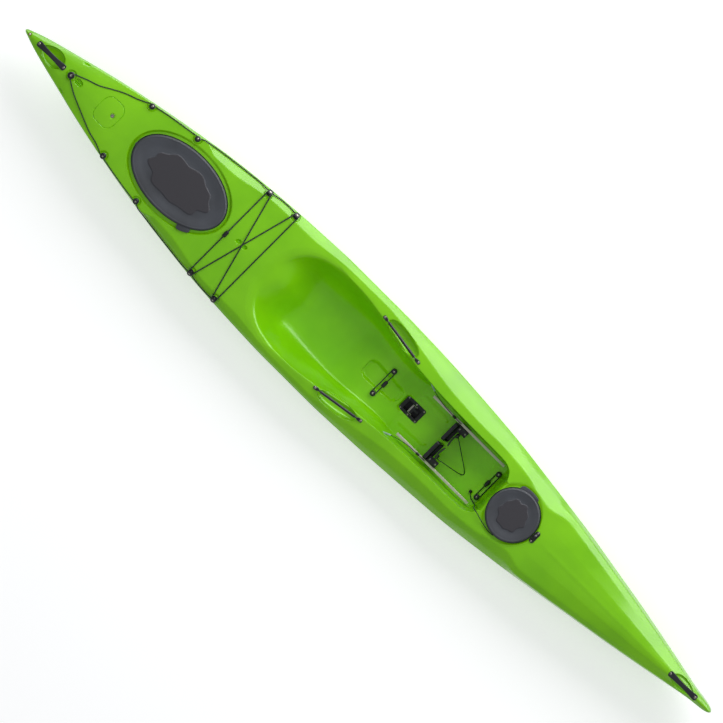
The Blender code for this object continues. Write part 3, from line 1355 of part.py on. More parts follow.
class Rudder:
    """The blade and stock below, the tiller in its pocket, and the flush cover over it."""

    def __init__(self, skin):
        self.x = along(RUDDER_AT)
        self.x_pocket = along(POCKET_AT)
        self.deck = min(
            skin.under(self.x_pocket + dx, dy)[0]
            for dx in (-POCKET_LENGTH / 2, POCKET_LENGTH / 2) for dy in (0, POCKET_WIDTH / 2)
        )
        self.floor = POCKET_FLOOR
        self.tiller_low = self.floor + 0.001
        self.line_z = self.tiller_low + TILLER_THICKNESS / 2
        self.keel = min(
            HULL_HEIGHT * read(KEEL, RUDDER_AT + 100 * dx / LENGTH)
            for dx in (-BLADE_CHORD, BLADE_BALANCE * BLADE_CHORD)
        )
        self.blade_top = self.keel - BLADE_HULL_GAP

    def cut_hull(self, hull, cavity):
        half_x, half_y = POCKET_LENGTH / 2, POCKET_WIDTH / 2
        at = move(self.x_pocket, 0, 0)
        ledge = POCKET_LEDGE
        seat = self.deck - RUDDER_COVER_THICKNESS - SEAT_GAP
        bed = loft("pocket_bed", [
            rounded(half_x + ledge + HULL_WALL, half_y + ledge + HULL_WALL, 0.02, z)
            for z in (self.floor - HULL_WALL, self.deck + 0.05)
        ])
        combine(cavity, guide("pocket_bed", bed, at))
        column = STOCK_RADIUS + RUN_GAP + BUSH_WALL + HULL_WALL
        stem = turned("stock_column", ((column, 0), (column, self.floor)))
        combine(cavity, guide("stock_column", stem, move(self.x, 0, 0)))
        pocket = loft("pocket", [
            rounded(half_x, half_y, 0.015, z) for z in (self.floor, self.deck + 0.05)
        ])
        combine(hull, guide("pocket", pocket, at))
        ledge_cut = loft("pocket_ledge", [
            rounded(half_x + ledge + SEAT_GAP, half_y + ledge + SEAT_GAP, 0.018, z, 4)
            for z in (seat, self.deck + 0.05)
        ])
        combine(hull, guide("pocket_ledge", ledge_cut, at))
        bush = STOCK_RADIUS + RUN_GAP + BUSH_WALL + SEAT_GAP
        bore = turned("bush_bore", ((bush, 0), (bush, self.floor + 0.01)), 16)
        combine(hull, guide("bush_bore", bore, move(self.x, 0, 0)))
        self.bush_seat = seat

    def bush(self):
        outer = STOCK_RADIUS + RUN_GAP + BUSH_WALL
        inner = (STOCK_RADIUS + RUN_GAP) / math.cos(math.pi / 16)
        low, high = self.keel + 0.002, self.floor
        rings = [
            oval(r, r, z, count=16)
            for r, z in ((inner, low), (outer, low), (outer, high), (inner, high))
        ]
        add("rudder_bush", band("rudder_bush", rings), black_plastic(), move(self.x, 0, 0))

    def blade(self):
        """A blade with a rounded section and a raked tip, fused to its stock."""
        rings = []
        for share, chord in ((0, BLADE_TIP_CHORD), (0.25, 0.9 * BLADE_CHORD), (1, BLADE_CHORD)):
            z = self.blade_top - BLADE_LENGTH * (1 - share)
            lead = BLADE_BALANCE * chord
            half = BLADE_THICKNESS / 2 * (0.7 + 0.3 * share)
            trail = lead - chord
            rings.append([
                (lead, 0, z), (lead - 0.1 * chord, half * 0.8, z), (lead - 0.3 * chord, half, z),
                (trail + 0.3 * chord, half * 0.55, z), (trail, 0.0008, z), (trail, -0.0008, z),
                (trail + 0.3 * chord, -half * 0.55, z), (lead - 0.3 * chord, -half, z),
                (lead - 0.1 * chord, -half * 0.8, z),
            ])
        item = add("rudder_blade", loft("rudder_blade", rings), blade_plastic(), move(self.x, 0, 0))
        top = self.tiller_low + TILLER_THICKNESS + 0.004
        stock = turned("stock", (
            (STOCK_RADIUS, self.blade_top - 0.03), (STOCK_RADIUS, top - 0.001),
            (STOCK_RADIUS - 0.001, top),
        ), 16)
        combine(item, guide("stock", stock, move(self.x, 0, 0)), "UNION")

    def tiller(self):
        half = TILLER_SPAN / 2 + 0.006
        hub = TILLER_HUB
        width = TILLER_WIDTH / 2
        outline = [
            (-width, -half), (width, -half), (width, -hub), (hub, -width), (hub, width),
            (width, hub), (width, half), (-width, half), (-width, hub), (-hub, width),
            (-hub, -width), (-width, -hub),
        ]
        z = (self.tiller_low, self.tiller_low + TILLER_THICKNESS)
        mesh = loft("rudder_tiller", [[(x, y, height) for x, y in outline] for height in z])
        item = add("rudder_tiller", mesh, black_plastic(), move(self.x, 0, 0))
        bore = (STOCK_RADIUS + SEAT_GAP) / math.cos(math.pi / 16)
        hole = turned("tiller_bore", ((bore, 0.1), (bore, 0.3)), 16)
        combine(item, guide("tiller_bore", hole, move(self.x, 0, 0)))

    def cover(self):
        half_x = POCKET_LENGTH / 2 + POCKET_LEDGE
        half_y = POCKET_WIDTH / 2 + POCKET_LEDGE
        low = self.deck - RUDDER_COVER_THICKNESS
        mesh = loft("rudder_cover", [
            rounded(half_x, half_y, 0.018, low, 4),
            rounded(half_x, half_y, 0.018, self.deck - 0.001, 4),
            rounded(half_x - 0.001, half_y - 0.001, 0.017, self.deck, 4),
        ])
        item = add("rudder_cover", mesh, hull_plastic(), move(self.x_pocket, 0, 0))
        x = along(COVER_BOLT_AT)
        shank = SCREW_SHANK + RUN_GAP
        hole = turned("cover_bolt_hole", ((shank, -0.03), (shank, 0.03)), 10)
        combine(item, guide("cover_bolt_hole", hole, move(x, 0, self.deck)))
        bolt = turned("rudder_cover_bolt", (
            (SCREW_SHANK, -0.014), (SCREW_SHANK, 0), (COVER_BOLT_HEAD, 0),
            (COVER_BOLT_HEAD, 0.002), (COVER_BOLT_HEAD * 0.7, 0.0035),
        ), 12)
        add("rudder_cover_bolt", bolt, steel(), move(x, 0, self.deck + SEAT_GAP))


def pad_eye(skin, hatch):
    """A two-screw plate with a raised bar across its middle, just forward of a hatch."""
    x = hatch.x + hatch.half_x + PAD_EYE_GAP + PAD_EYE_LENGTH / 2
    half_x, half_y = PAD_EYE_LENGTH / 2, PAD_EYE_WIDTH / 2
    height = max(skin.under(x + dx, 0)[0] for dx in (-half_x, 0, half_x))
    fore, aft = (skin.under(x + dx, 0)[0] for dx in (half_x, -half_x))
    slope = math.atan2(fore - aft, PAD_EYE_LENGTH)
    matrix = move(x, 0, height + SEAT_GAP) @ Matrix.Rotation(-slope, 4, "Y")
    plate = loft("bow_pad_eye", [
        rounded(half_x, half_y, 0.0115, z) for z in (0, PAD_EYE_THICKNESS)
    ])
    item = add("bow_pad_eye", plate, black_plastic(), matrix)
    arch = []
    half = PAD_EYE_BAR / 2
    span, top = PAD_EYE_LOOP, PAD_EYE_HEIGHT
    for y, z in ((-span, 0.5 * half), (-0.65 * span, 0.8 * top), (0, top),
                 (0.65 * span, 0.8 * top), (span, 0.5 * half)):
        arch.append([
            (-2.5 * half, y, z - half), (2.5 * half, y, z - half), (2.5 * half, y, z + half),
            (-2.5 * half, y, z + half),
        ])
    combine(item, guide("pad_eye_arch", loft("pad_eye_arch", arch), matrix), "UNION")


def hatch_leash(skin, hatch):
    """A thin cord from a knob in the footwell up to the round hatch cover's edge."""
    clear = LEASH_DIAMETER / 2 + CORD_CLEARANCE
    deck = hatch.floor + COAMING_HEIGHT
    side = -hatch.half_y - LEASH_GAP - LEASH_DIAMETER / 2
    points = [
        skin.over(along(66.3), -0.074, clear + 0.002),
        skin.over(along(66.75), -0.092, clear + 0.002),
        skin.over(along(67.30), -0.100, clear + 0.002),
        (along(67.52), -0.100, skin.under(along(67.4), -0.100)[0] + 0.012),
        (along(67.85), -0.102, deck + 0.002),
        (along(68.3), -0.106, deck + 0.004),
        (along(69.4), side + 0.008, deck),
        (hatch.x - 0.032, side - 0.001, deck - 0.008),
        (hatch.x, side, deck - 0.010),
    ]
    rope = cord("hatch_leash", points, LEASH_DIAMETER, cord_black())
    mesh = bpy.data.meshes.new_from_object(rope)
    bpy.data.objects.remove(rope)
    item = add("hatch_leash", mesh, cord_black())
    knob = ball("leash_knob", LEASH_KNOB_RADIUS, LEASH_KNOB_RADIUS, 0.8 * LEASH_KNOB_RADIUS, 10, 6)
    at = Vector(points[0]) + Vector((0, 0, LEASH_KNOB_RADIUS * 0.8 - clear + CORD_CLEARANCE))
    combine(item, guide("leash_knob", knob, Matrix.Translation(at)), "UNION")


def stern_tip_bush(skin, hull):
    """A metal bush through the stern tip, for a lock or a tow line."""
    x = along(TIP_BORE_AT)
    high = skin.under(x, 0)[0]
    low = HULL_HEIGHT * read(KEEL, TIP_BORE_AT) + 0.006
    bore = turned("tip_bore", (
        (TIP_BUSH_RADIUS + SEAT_GAP, low - 0.1), (TIP_BUSH_RADIUS + SEAT_GAP, high + 0.1),
    ))
    combine(hull, guide("tip_bore", bore, move(x, 0, 0)))
    rings = [
        oval(r, r, z)
        for r, z in (
            (TIP_BUSH_BORE, low), (TIP_BUSH_RADIUS, low), (TIP_BUSH_RADIUS, high),
            (TIP_BUSH_BORE, high),
        )
    ]
    add("stern_tip_bush", band("stern_tip_bush", rings), brass(), move(x, 0, 0))


def build_hull():
    grid = hull_grid()
    hull = add("hull", grid_mesh("hull", grid), hull_plastic(), smooth_angle=28)
    skin = Surface(hull.data)
    inside = [CAVITY_AFT < place < CAVITY_FORE for place in STATIONS]
    cavity = guide("cavity", grid_mesh("cavity", inset_grid(grid, HULL_WALL)[inside]))
    return hull, cavity, skin


def clear_scene():
    for item in list(bpy.data.objects):
        bpy.data.objects.remove(item)


def main():
    clear_scene()
    hull, cavity, skin = build_hull()
    hatches = (stern_hatch(), bow_hatch())
    rudder = Rudder(skin)
    bailer = Bailer(skin)
    pedals = Pedals()
    stern_tip_bush(skin, hull)
    stern_scoop = (STERN_SCOOP_LENGTH, STERN_SCOOP_WIDTH, STERN_SCOOP_DEPTH)
    bow_scoop = (BOW_SCOOP_LENGTH, BOW_SCOOP_WIDTH, BOW_SCOOP_DEPTH)
    end_handle(skin, "stern", STERN_HANDLE_AT, stern_scoop, hull, cavity)
    end_handle(skin, "bow", BOW_HANDLE_AT, bow_scoop, hull, cavity)
    for hatch in hatches:
        bed, recess, hole = hatch.guides()
        combine(cavity, bed)
        combine(hull, recess)
        combine(hull, hole)
        hatch.rim()
        hatch.cover()
    rudder.cut_hull(hull, cavity)
    rudder.bush()
    rudder.blade()
    rudder.tiller()
    rudder.cover()
    bailer.cut_hull(hull, cavity)
    bailer.frame()
    bailer.flap()
    bailer.lever()
    bottle_recess(skin, hull, cavity)
    for prefix, sign in (("port_side", 1), ("starboard_side", -1)):
        side_handle(skin, prefix, sign, hull, cavity)
    loop_bungee(skin, "bottle", BOTTLE_BUNGEE_AT, BOTTLE_FITTING_BREADTH, hull, (1, -0.002))
    loop_bungee(skin, "footwell", FOOTWELL_BUNGEE_AT, FOOTWELL_FITTING_BREADTH, hull, (-1, 0.006))
    spots = deck_fittings(skin)
    line = deck_line_points(skin, spots)
    cord("port_deck_line", line, LINE_DIAMETER, cord_black())
    cord("starboard_deck_line", mirrored(line), LINE_DIAMETER, cord_black())
    bungee, bead = stern_bungee_points(skin, spots)
    cord("stern_bungee", bungee, BUNGEE_DIAMETER, cord_black(), True)
    turn = Matrix.Rotation(math.pi / 2, 4, "Z")
    toggle("stern_bungee_toggle", Matrix.Translation(bead) @ turn, BUNGEE_DIAMETER)
    foot_rails(skin)
    pedals.carriages()
    pedals.plates()
    pedals.toe_pedals()
    pedals.elastic(skin)
    rudder_lines(pedals, rudder, hull, cavity)
    pad_eye(skin, hatches[1])
    hatch_leash(skin, hatches[1])
    combine(hull, cavity)


main()
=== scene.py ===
"""A rotomoulded sit-on-top surfski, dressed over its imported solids.

Frame: +X towards the bow, +Y to port, +Z up, in metres. Places along the boat are hundredths of
its length from the stern, as in the table of offsets that its hull is drawn from.
"""

from __future__ import annotations

import json
import logging
import math
from dataclasses import dataclass, field, replace
from enum import Enum

import bpy
import numpy as np
from mathutils import Matrix
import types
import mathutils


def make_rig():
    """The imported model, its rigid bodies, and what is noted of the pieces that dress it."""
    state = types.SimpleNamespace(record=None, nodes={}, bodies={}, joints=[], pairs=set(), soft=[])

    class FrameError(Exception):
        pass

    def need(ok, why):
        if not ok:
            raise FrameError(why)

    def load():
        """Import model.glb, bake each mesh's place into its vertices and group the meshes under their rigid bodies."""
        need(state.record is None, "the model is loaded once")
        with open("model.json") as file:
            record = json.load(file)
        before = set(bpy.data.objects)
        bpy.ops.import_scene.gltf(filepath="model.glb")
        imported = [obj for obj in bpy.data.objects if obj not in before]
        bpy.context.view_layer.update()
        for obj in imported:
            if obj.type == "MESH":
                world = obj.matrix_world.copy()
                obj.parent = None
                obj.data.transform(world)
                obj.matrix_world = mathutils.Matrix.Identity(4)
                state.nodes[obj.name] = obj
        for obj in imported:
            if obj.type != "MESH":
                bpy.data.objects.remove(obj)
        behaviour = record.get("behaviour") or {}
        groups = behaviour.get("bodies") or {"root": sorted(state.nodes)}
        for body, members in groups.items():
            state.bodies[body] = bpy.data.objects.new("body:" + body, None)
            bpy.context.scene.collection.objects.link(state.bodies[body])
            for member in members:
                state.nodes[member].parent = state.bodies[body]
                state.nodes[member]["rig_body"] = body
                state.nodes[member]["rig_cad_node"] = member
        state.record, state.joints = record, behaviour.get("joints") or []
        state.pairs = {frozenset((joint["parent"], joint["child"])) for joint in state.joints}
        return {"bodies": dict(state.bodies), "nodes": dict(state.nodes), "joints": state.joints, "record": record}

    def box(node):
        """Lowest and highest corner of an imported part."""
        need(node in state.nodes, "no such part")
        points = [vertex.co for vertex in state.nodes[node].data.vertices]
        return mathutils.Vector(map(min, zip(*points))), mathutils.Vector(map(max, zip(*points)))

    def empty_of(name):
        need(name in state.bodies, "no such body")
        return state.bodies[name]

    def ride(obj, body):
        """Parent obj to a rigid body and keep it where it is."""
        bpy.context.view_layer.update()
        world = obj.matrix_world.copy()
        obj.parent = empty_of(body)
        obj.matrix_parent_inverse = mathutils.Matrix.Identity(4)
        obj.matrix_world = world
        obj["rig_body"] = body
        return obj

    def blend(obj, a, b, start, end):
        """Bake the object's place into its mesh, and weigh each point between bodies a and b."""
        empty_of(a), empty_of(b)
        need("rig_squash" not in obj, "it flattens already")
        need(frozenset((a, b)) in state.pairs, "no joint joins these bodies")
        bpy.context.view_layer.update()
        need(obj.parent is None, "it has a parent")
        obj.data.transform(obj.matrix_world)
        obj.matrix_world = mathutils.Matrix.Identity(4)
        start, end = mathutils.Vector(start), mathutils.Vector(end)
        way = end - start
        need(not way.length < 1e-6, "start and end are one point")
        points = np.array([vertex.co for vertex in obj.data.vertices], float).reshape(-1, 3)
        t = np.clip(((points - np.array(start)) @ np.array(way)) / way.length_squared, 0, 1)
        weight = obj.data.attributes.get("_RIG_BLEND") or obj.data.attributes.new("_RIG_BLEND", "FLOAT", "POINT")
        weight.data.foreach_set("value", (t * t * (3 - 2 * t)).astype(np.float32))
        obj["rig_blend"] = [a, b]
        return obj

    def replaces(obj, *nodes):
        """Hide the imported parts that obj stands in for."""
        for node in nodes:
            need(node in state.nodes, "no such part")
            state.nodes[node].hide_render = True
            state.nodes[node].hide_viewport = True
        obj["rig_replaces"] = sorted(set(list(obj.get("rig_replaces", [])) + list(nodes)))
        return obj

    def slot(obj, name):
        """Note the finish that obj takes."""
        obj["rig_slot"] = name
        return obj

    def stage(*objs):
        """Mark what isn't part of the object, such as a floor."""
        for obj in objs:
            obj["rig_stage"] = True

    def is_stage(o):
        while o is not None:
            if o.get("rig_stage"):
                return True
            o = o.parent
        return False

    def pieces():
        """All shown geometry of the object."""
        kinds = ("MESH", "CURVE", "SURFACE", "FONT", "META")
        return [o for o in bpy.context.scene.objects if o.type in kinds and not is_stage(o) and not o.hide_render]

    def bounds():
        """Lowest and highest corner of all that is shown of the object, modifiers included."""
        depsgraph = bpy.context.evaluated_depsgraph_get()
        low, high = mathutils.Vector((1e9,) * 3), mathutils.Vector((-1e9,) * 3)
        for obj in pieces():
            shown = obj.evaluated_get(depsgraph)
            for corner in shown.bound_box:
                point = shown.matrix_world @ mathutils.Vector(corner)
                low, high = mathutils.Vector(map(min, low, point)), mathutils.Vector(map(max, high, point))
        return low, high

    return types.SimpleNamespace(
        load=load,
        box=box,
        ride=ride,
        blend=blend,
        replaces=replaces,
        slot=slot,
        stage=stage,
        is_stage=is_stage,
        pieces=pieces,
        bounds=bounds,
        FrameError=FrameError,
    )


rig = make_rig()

LOG = logging.getLogger("surfski")
Array = np.ndarray
Table = tuple[tuple[float, float], ...]
Point = tuple[float, float, float]


# What several pieces share: the hatches' middles and floors and the power of the oval one's
# outline, the bailer's middle, the rudder's axis and the power of its cover's outline, and the
# gap that touching pieces keep.
STERN_HATCH_X, STERN_FLOOR, OVAL_POWER = -1.2006, 0.2681, 2.05
BOW_HATCH_X, BOW_FLOOR = 0.9192, 0.2830
BAILER_X = 0.263175
RUDDER_X, COVER_POWER = -1.655175, 3.2
GAP = 0.0003


class Side(Enum):
    """Which side of the boat a piece is on, as the sign of its Y."""

    PORT = 1
    STARBOARD = -1

    @property
    def prefix(self) -> str:
        """The word that a node's name starts with."""
        return self.name.lower()


class Ends(Enum):
    """How a run of rings is closed."""

    CAPPED = "capped"
    JOINED = "joined"


class Hollow(Enum):
    """How a recess changes the deck's height."""

    LEVEL = "level"
    SUNK = "sunk"
    BOWL = "bowl"
    DISH = "dish"


# Finishes


def linear_colour(code: str) -> tuple[float, float, float, float]:
    """Turn six sRGB hex digits to linear red, green and blue, with alpha 1.

    Args:
        code: The six digits.

    Returns:
        Red, green, blue and alpha, 0 to 1.
    """
    values = [int(code[i : i + 2], 16) / 255 for i in (0, 2, 4)]
    red, green, blue = (
        v / 12.92 if v <= 0.04045 else ((v + 0.055) / 1.055) ** 2.4 for v in values
    )
    return red, green, blue, 1.0


def add_node(
    tree: bpy.types.NodeTree,
    kind: str,
    settings: dict[str | int, object] | None = None,
    links: dict[str | int, bpy.types.NodeSocket] | None = None,
) -> bpy.types.Node:
    """Add a node with its settings and links.

    Args:
        tree: The material's or world's node tree.
        kind: Blender's name for the node's type.
        settings: Values by the node's own attribute, or by socket name or number.
        links: Sockets to link from, by the name or number of the socket they go to.

    Returns:
        The new node.
    """
    node = tree.nodes.new(kind)
    for key, value in (settings or {}).items():
        if isinstance(key, str) and hasattr(node, key):
            setattr(node, key, value)
    for key, value in (settings or {}).items():
        if isinstance(key, int) or not hasattr(node, key):
            node.inputs[key].default_value = value
    for key, socket in (links or {}).items():
        tree.links.new(socket, node.inputs[key])
    return node


@dataclass(frozen=True)
class Finish:
    """One finish: its material's name, its shader's numbers and the record's slot."""

    name: str
    colour: str
    roughness: float
    metallic: float = 0.0
    ior: float = 1.5
    slot: str = ""

    def material(self) -> bpy.types.Material:
        """Find the finish's material, or make it with its pattern on first use.

        Returns:
            The material.
        """
        found = bpy.data.materials.get(self.name)
        if found is not None:
            return found
        material = bpy.data.materials.new(self.name)
        material.use_nodes = True
        tree = material.node_tree
        shader = tree.nodes["Principled BSDF"]
        shader.inputs["Base Color"].default_value = linear_colour(self.colour)
        shader.inputs["Roughness"].default_value = self.roughness
        shader.inputs["Metallic"].default_value = self.metallic
        if self.metallic == 0:
            shader.inputs["IOR"].default_value = self.ior
        self.pattern(tree, shader)
        return material

    def pattern(self, tree: bpy.types.NodeTree, shader: bpy.types.Node) -> None:
        """Add the nodes that vary the finish over its surface.

        Args:
            tree: The material's node tree.
            shader: Its Principled node.
        """
        raise NotImplementedError

    def tint(self, tree: bpy.types.NodeTree, shader: bpy.types.Node,
             pattern: bpy.types.NodeSocket, window: tuple[float, float],
             low: str | bpy.types.NodeSocket, high: str) -> bpy.types.NodeSocket:
        """Colour the skin from one colour to another as a pattern rises through a window.

        Args:
            tree: The material's node tree.
            shader: Its Principled node.
            pattern: The pattern, 0 to 1.
            window: Where in the pattern the colour starts and stops to change.
            low: sRGB hex colour below the window, or a socket that gives one.
            high: sRGB hex colour above it.

        Returns:
            The mixed colour's socket.
        """
        share = add_node(tree, "ShaderNodeMapRange", {1: window[0], 2: window[1]}, {0: pattern})
        settings, links = {"data_type": "RGBA", 7: linear_colour(high)}, {0: share.outputs[0]}
        if isinstance(low, str):
            settings[6] = linear_colour(low)
        else:
            links[6] = low
        mixed = add_node(tree, "ShaderNodeMix", settings, links).outputs[2]
        tree.links.new(mixed, shader.inputs["Base Color"])
        return mixed


@dataclass(frozen=True)
class RotomouldedPolyethylene(Finish):
    """Polyethylene powder melted onto a hot mould: an even, waxy gloss with the faint
    orange peel of the mould's wall, cloudy pigment, and fine scuffs where the keel drags."""

    deep: str = "7DCC06"
    scuff: str = "B4D98A"
    cloud_size: float = 0.22
    peel_size: float = 0.014
    peel_depth: float = 0.00004
    scuff_height: float = 0.055

    def pattern(self, tree: bpy.types.NodeTree, shader: bpy.types.Node) -> None:
        """Cloud the pigment, wave the gloss and scuff the keel.

        Args:
            tree: The material's node tree.
            shader: Its Principled node.
        """
        place = add_node(tree, "ShaderNodeTexCoord").outputs["Object"]
        drawn = add_node(tree, "ShaderNodeMapping", {"Scale": (4.0, 160.0, 160.0)},
                         {"Vector": place}).outputs[0]
        cloud, scratch, peel = (
            add_node(tree, "ShaderNodeTexNoise", {"Scale": scale, "Detail": detail},
                     {"Vector": vector}).outputs["Fac"]
            for scale, detail, vector in ((1 / self.cloud_size, 3.0, place), (1.0, 4.0, drawn),
                                          (1 / self.peel_size, 1.0, place))
        )
        height = add_node(tree, "ShaderNodeSeparateXYZ", links={0: place}).outputs["Z"]
        low, scratches, gloss = (
            add_node(tree, "ShaderNodeMapRange", dict(enumerate(ends, 1)), {0: value}).outputs[0]
            for value, ends in (
                (height, (0, self.scuff_height, 1, 0)), (scratch, (0.60, 0.72, 0, 1)),
                (cloud, (0.3, 0.7, self.roughness - 0.04, self.roughness + 0.05)),
            )
        )
        worn = add_node(tree, "ShaderNodeMath", {"operation": "MULTIPLY"},
                        {0: low, 1: scratches}).outputs[0]
        pigment = self.tint(tree, shader, cloud, (0.3, 0.7), self.deep, self.colour)
        self.tint(tree, shader, worn, (0, 1), pigment, self.scuff)
        rough = add_node(tree, "ShaderNodeMath", {"operation": "MULTIPLY_ADD", 1: 0.3},
                         {0: worn, 2: gloss})
        bump = add_node(tree, "ShaderNodeBump", {"Strength": 1.0, "Distance": self.peel_depth},
                        {"Height": peel})
        tree.links.new(rough.outputs[0], shader.inputs["Roughness"])
        tree.links.new(bump.outputs["Normal"], shader.inputs["Normal"])


@dataclass(frozen=True)
class BraidedPolyester(Finish):
    """A braided sleeve over a core: two sets of yarns cross at a slant, which gives small
    diamonds, and a light tracer yarn shows as flecks. The braid is drawn about twice as
    coarse as the real 1.5 mm yarns, so that it shows."""

    tracer: str = "5E7A6C"
    yarns: int = 4
    relief_depth: float = 0.0005

    def pattern(self, tree: bpy.types.NodeTree, shader: bpy.types.Node) -> None:
        """Cross two slanted waves round and along the cord.

        Args:
            tree: The material's node tree.
            shader: Its Principled node.
        """
        around = add_node(tree, "ShaderNodeTexCoord").outputs["UV"]
        turn = 2 * math.pi / 10 * self.yarns
        waves = {}
        for number, sense in enumerate((1, -1)):
            slanted = add_node(tree, "ShaderNodeMapping", {"Scale": (sense * turn, turn, 0.0)},
                               {"Vector": around}).outputs[0]
            waves[number] = add_node(
                tree, "ShaderNodeTexWave",
                {"wave_type": "BANDS", "bands_direction": "DIAGONAL", "Scale": 1.0},
                {"Vector": slanted},
            ).outputs["Fac"]
        crown, crossing = (
            add_node(tree, "ShaderNodeMath", {"operation": kind}, waves).outputs[0]
            for kind in ("MAXIMUM", "MULTIPLY")
        )
        mixed = add_node(tree, "ShaderNodeTexNoise", {"Scale": 2.2, "Detail": 1.0},
                         {"Vector": around}).outputs["Fac"]
        on_top, flecked = (
            add_node(tree, "ShaderNodeMapRange", {1: start, 2: stop}, {0: value}).outputs[0]
            for value, start, stop in ((crossing, 0.45, 0.8), (mixed, 0.48, 0.56))
        )
        chosen = add_node(tree, "ShaderNodeMath", {"operation": "MULTIPLY"},
                          {0: on_top, 1: flecked}).outputs[0]
        self.tint(tree, shader, chosen, (0, 1), self.colour, self.tracer)
        bump = add_node(tree, "ShaderNodeBump", {"Strength": 1.0, "Distance": self.relief_depth},
                        {"Height": crown})
        tree.links.new(bump.outputs["Normal"], shader.inputs["Normal"])


@dataclass(frozen=True, kw_only=True)
class Mottled(Finish):
    """A skin of two tones in patches, whose gloss changes with them, over a fine relief.

    Sizes are in metres. Without a grain of its own, the relief is that of the patches.
    """

    patch: float
    detail: float
    low: str = ""
    high: str = ""
    wiped: str = ""
    window: tuple[float, float] = (0, 1)
    gloss: tuple[float, float] = (0, 0)
    grain: float = 0.0
    grain_detail: float = 1.0
    depth: float = 0.0
    stretch: Point = (1.0, 1.0, 1.0)
    transmission: float = 0.0
    specular: float = 0.5

    def pattern(self, tree: bpy.types.NodeTree, shader: bpy.types.Node) -> None:
        """Lay the patches, give a raised pad its own tone, vary the gloss and add the relief.

        Args:
            tree: The material's node tree.
            shader: Its Principled node.
        """
        place = add_node(tree, "ShaderNodeTexCoord").outputs["Object"]
        place = add_node(tree, "ShaderNodeMapping", {"Scale": self.stretch},
                         {"Vector": place}).outputs[0]
        patches = add_node(tree, "ShaderNodeTexNoise",
                           {"Scale": 1 / self.patch, "Detail": self.detail},
                           {"Vector": place}).outputs["Fac"]
        tone = self.tint(tree, shader, patches, self.window, self.low or self.colour,
                         self.high or self.colour)
        # The raised pad takes a tone of its own: darker and warmer on the hatch covers.
        if self.wiped:
            on_pad = add_node(tree, "ShaderNodeAttribute", {"attribute_name": "pad"})
            self.tint(tree, shader, on_pad.outputs["Fac"], (0, 1), tone, self.wiped)
        if any(self.gloss):
            ends = (0.3, 0.7, self.roughness + self.gloss[0], self.roughness + self.gloss[1])
            rough = add_node(tree, "ShaderNodeMapRange", dict(enumerate(ends, 1)), {0: patches})
            tree.links.new(rough.outputs[0], shader.inputs["Roughness"])
        if self.grain:
            patches = add_node(tree, "ShaderNodeTexNoise",
                               {"Scale": 1 / self.grain, "Detail": self.grain_detail},
                               {"Vector": place}).outputs["Fac"]
        if self.depth:
            bump = add_node(tree, "ShaderNodeBump", {"Strength": 1.0, "Distance": self.depth},
                            {"Height": patches})
            tree.links.new(bump.outputs["Normal"], shader.inputs["Normal"])
        shader.inputs["Transmission Weight"].default_value = self.transmission
        shader.inputs["Specular IOR Level"].default_value = self.specular


HULL_PLASTIC = RotomouldedPolyethylene("rotomoulded_polyethylene", "8BDB06", 0.22,
                                       slot="green_polyethylene")
CORD_BRAID = BraidedPolyester("braided_polyester_cord", "14211A", 0.75, slot="black_cord")
# Soft rubber pressed in a blasted mould: a dull sheen, a fine grain, lighter bluish-grey patches
# at random, and a darker, warmer tone on the raised pads.
COVER_RUBBER = Mottled("moulded_hatch_rubber", "3F4146", 0.60, slot="hatch_rubber",
                       high="4B4E55", wiped="3B393E", patch=0.16, detail=5.0,
                       window=(0.35, 0.7), gloss=(-0.05, 0.08), grain=0.0016,
                       grain_detail=2.0, depth=0.00012)
HANDLE_RUBBER = replace(COVER_RUBBER, name="moulded_handle_rubber", colour="1D1E22",
                        roughness=0.34, high="292B30", wiped="", slot="handle_rubber")
# Injection-moulded nylon: near black and satin, with the mould's fine spark texture and lighter
# rubbed spots. The grip tube is extruded and glossier, the blade's nylon is filled and duller.
BLACK_NYLON = Mottled("moulded_nylon", "1A1B1D", 0.36, slot="black_nylon", high="2B2D31",
                      patch=1 / 60, detail=4.0, window=(0.5, 0.75), gloss=(0.05, -0.05),
                      grain=0.0012, depth=0.00005)
GRIP_TUBE = replace(BLACK_NYLON, name="extruded_grip_tube", colour="232427", roughness=0.20,
                    high="3A3C40")
BLADE_NYLON = replace(BLACK_NYLON, name="filled_blade_nylon", colour="232426", roughness=0.40,
                      high="303236", slot="blade_nylon")
# Extruded aluminium with a natural anodised skin: a pale warm satin with draw lines along X.
RAIL_METAL = Mottled("anodised_aluminium_extrusion", "DDD8CC", 0.40, 0.3,
                     slot="anodised_aluminium", low="B5B1A4", patch=1.0, detail=3.0,
                     stretch=(3.0, 1 / 0.0012, 1 / 0.0012), gloss=(-0.06, 0.1), depth=0.00004)
# Metal headed or turned and then tumbled: bright, with fine random scratches.
SCREW_STEEL = Mottled("headed_stainless_steel", "CBC7BA", 0.24, 1.0, slot="stainless_steel",
                      low="8E8B82", patch=0.0009, detail=3.0, window=(0.35, 0.6),
                      depth=0.00003)
TIP_BRASS = replace(SCREW_STEEL, name="turned_brass", colour="B08D4A", roughness=0.28,
                    low="8A6B35", slot="brass")
# Extruded polythene tube, milky clear, so that some light goes through it.
LINE_TUBE = Mottled("milky_polythene_tube", "C6DDD6", 0.35, slot="clear_tube", low="A9C9BF",
                    patch=1 / 120, detail=2.0, transmission=0.35)
# Matt white paper with a barely uneven tone, metres across.
PAPER = Mottled("matt_studio_paper", "F8F8F8", 0.9, low="F4F4F4", patch=1 / 0.7, detail=1.0,
                specular=0.0)


# Surfaces


def circle(count: int) -> Array:
    """Angles of evenly spaced points round a turn."""
    return np.linspace(0, 2 * np.pi, count, endpoint=False)


def raised(flat: Array, z: Array) -> Array:
    """Outlines, one to a row of the array, each raised to its own height."""
    return np.concatenate([flat, np.broadcast_to(z[:, None, None], (*flat.shape[:2], 1))], -1)


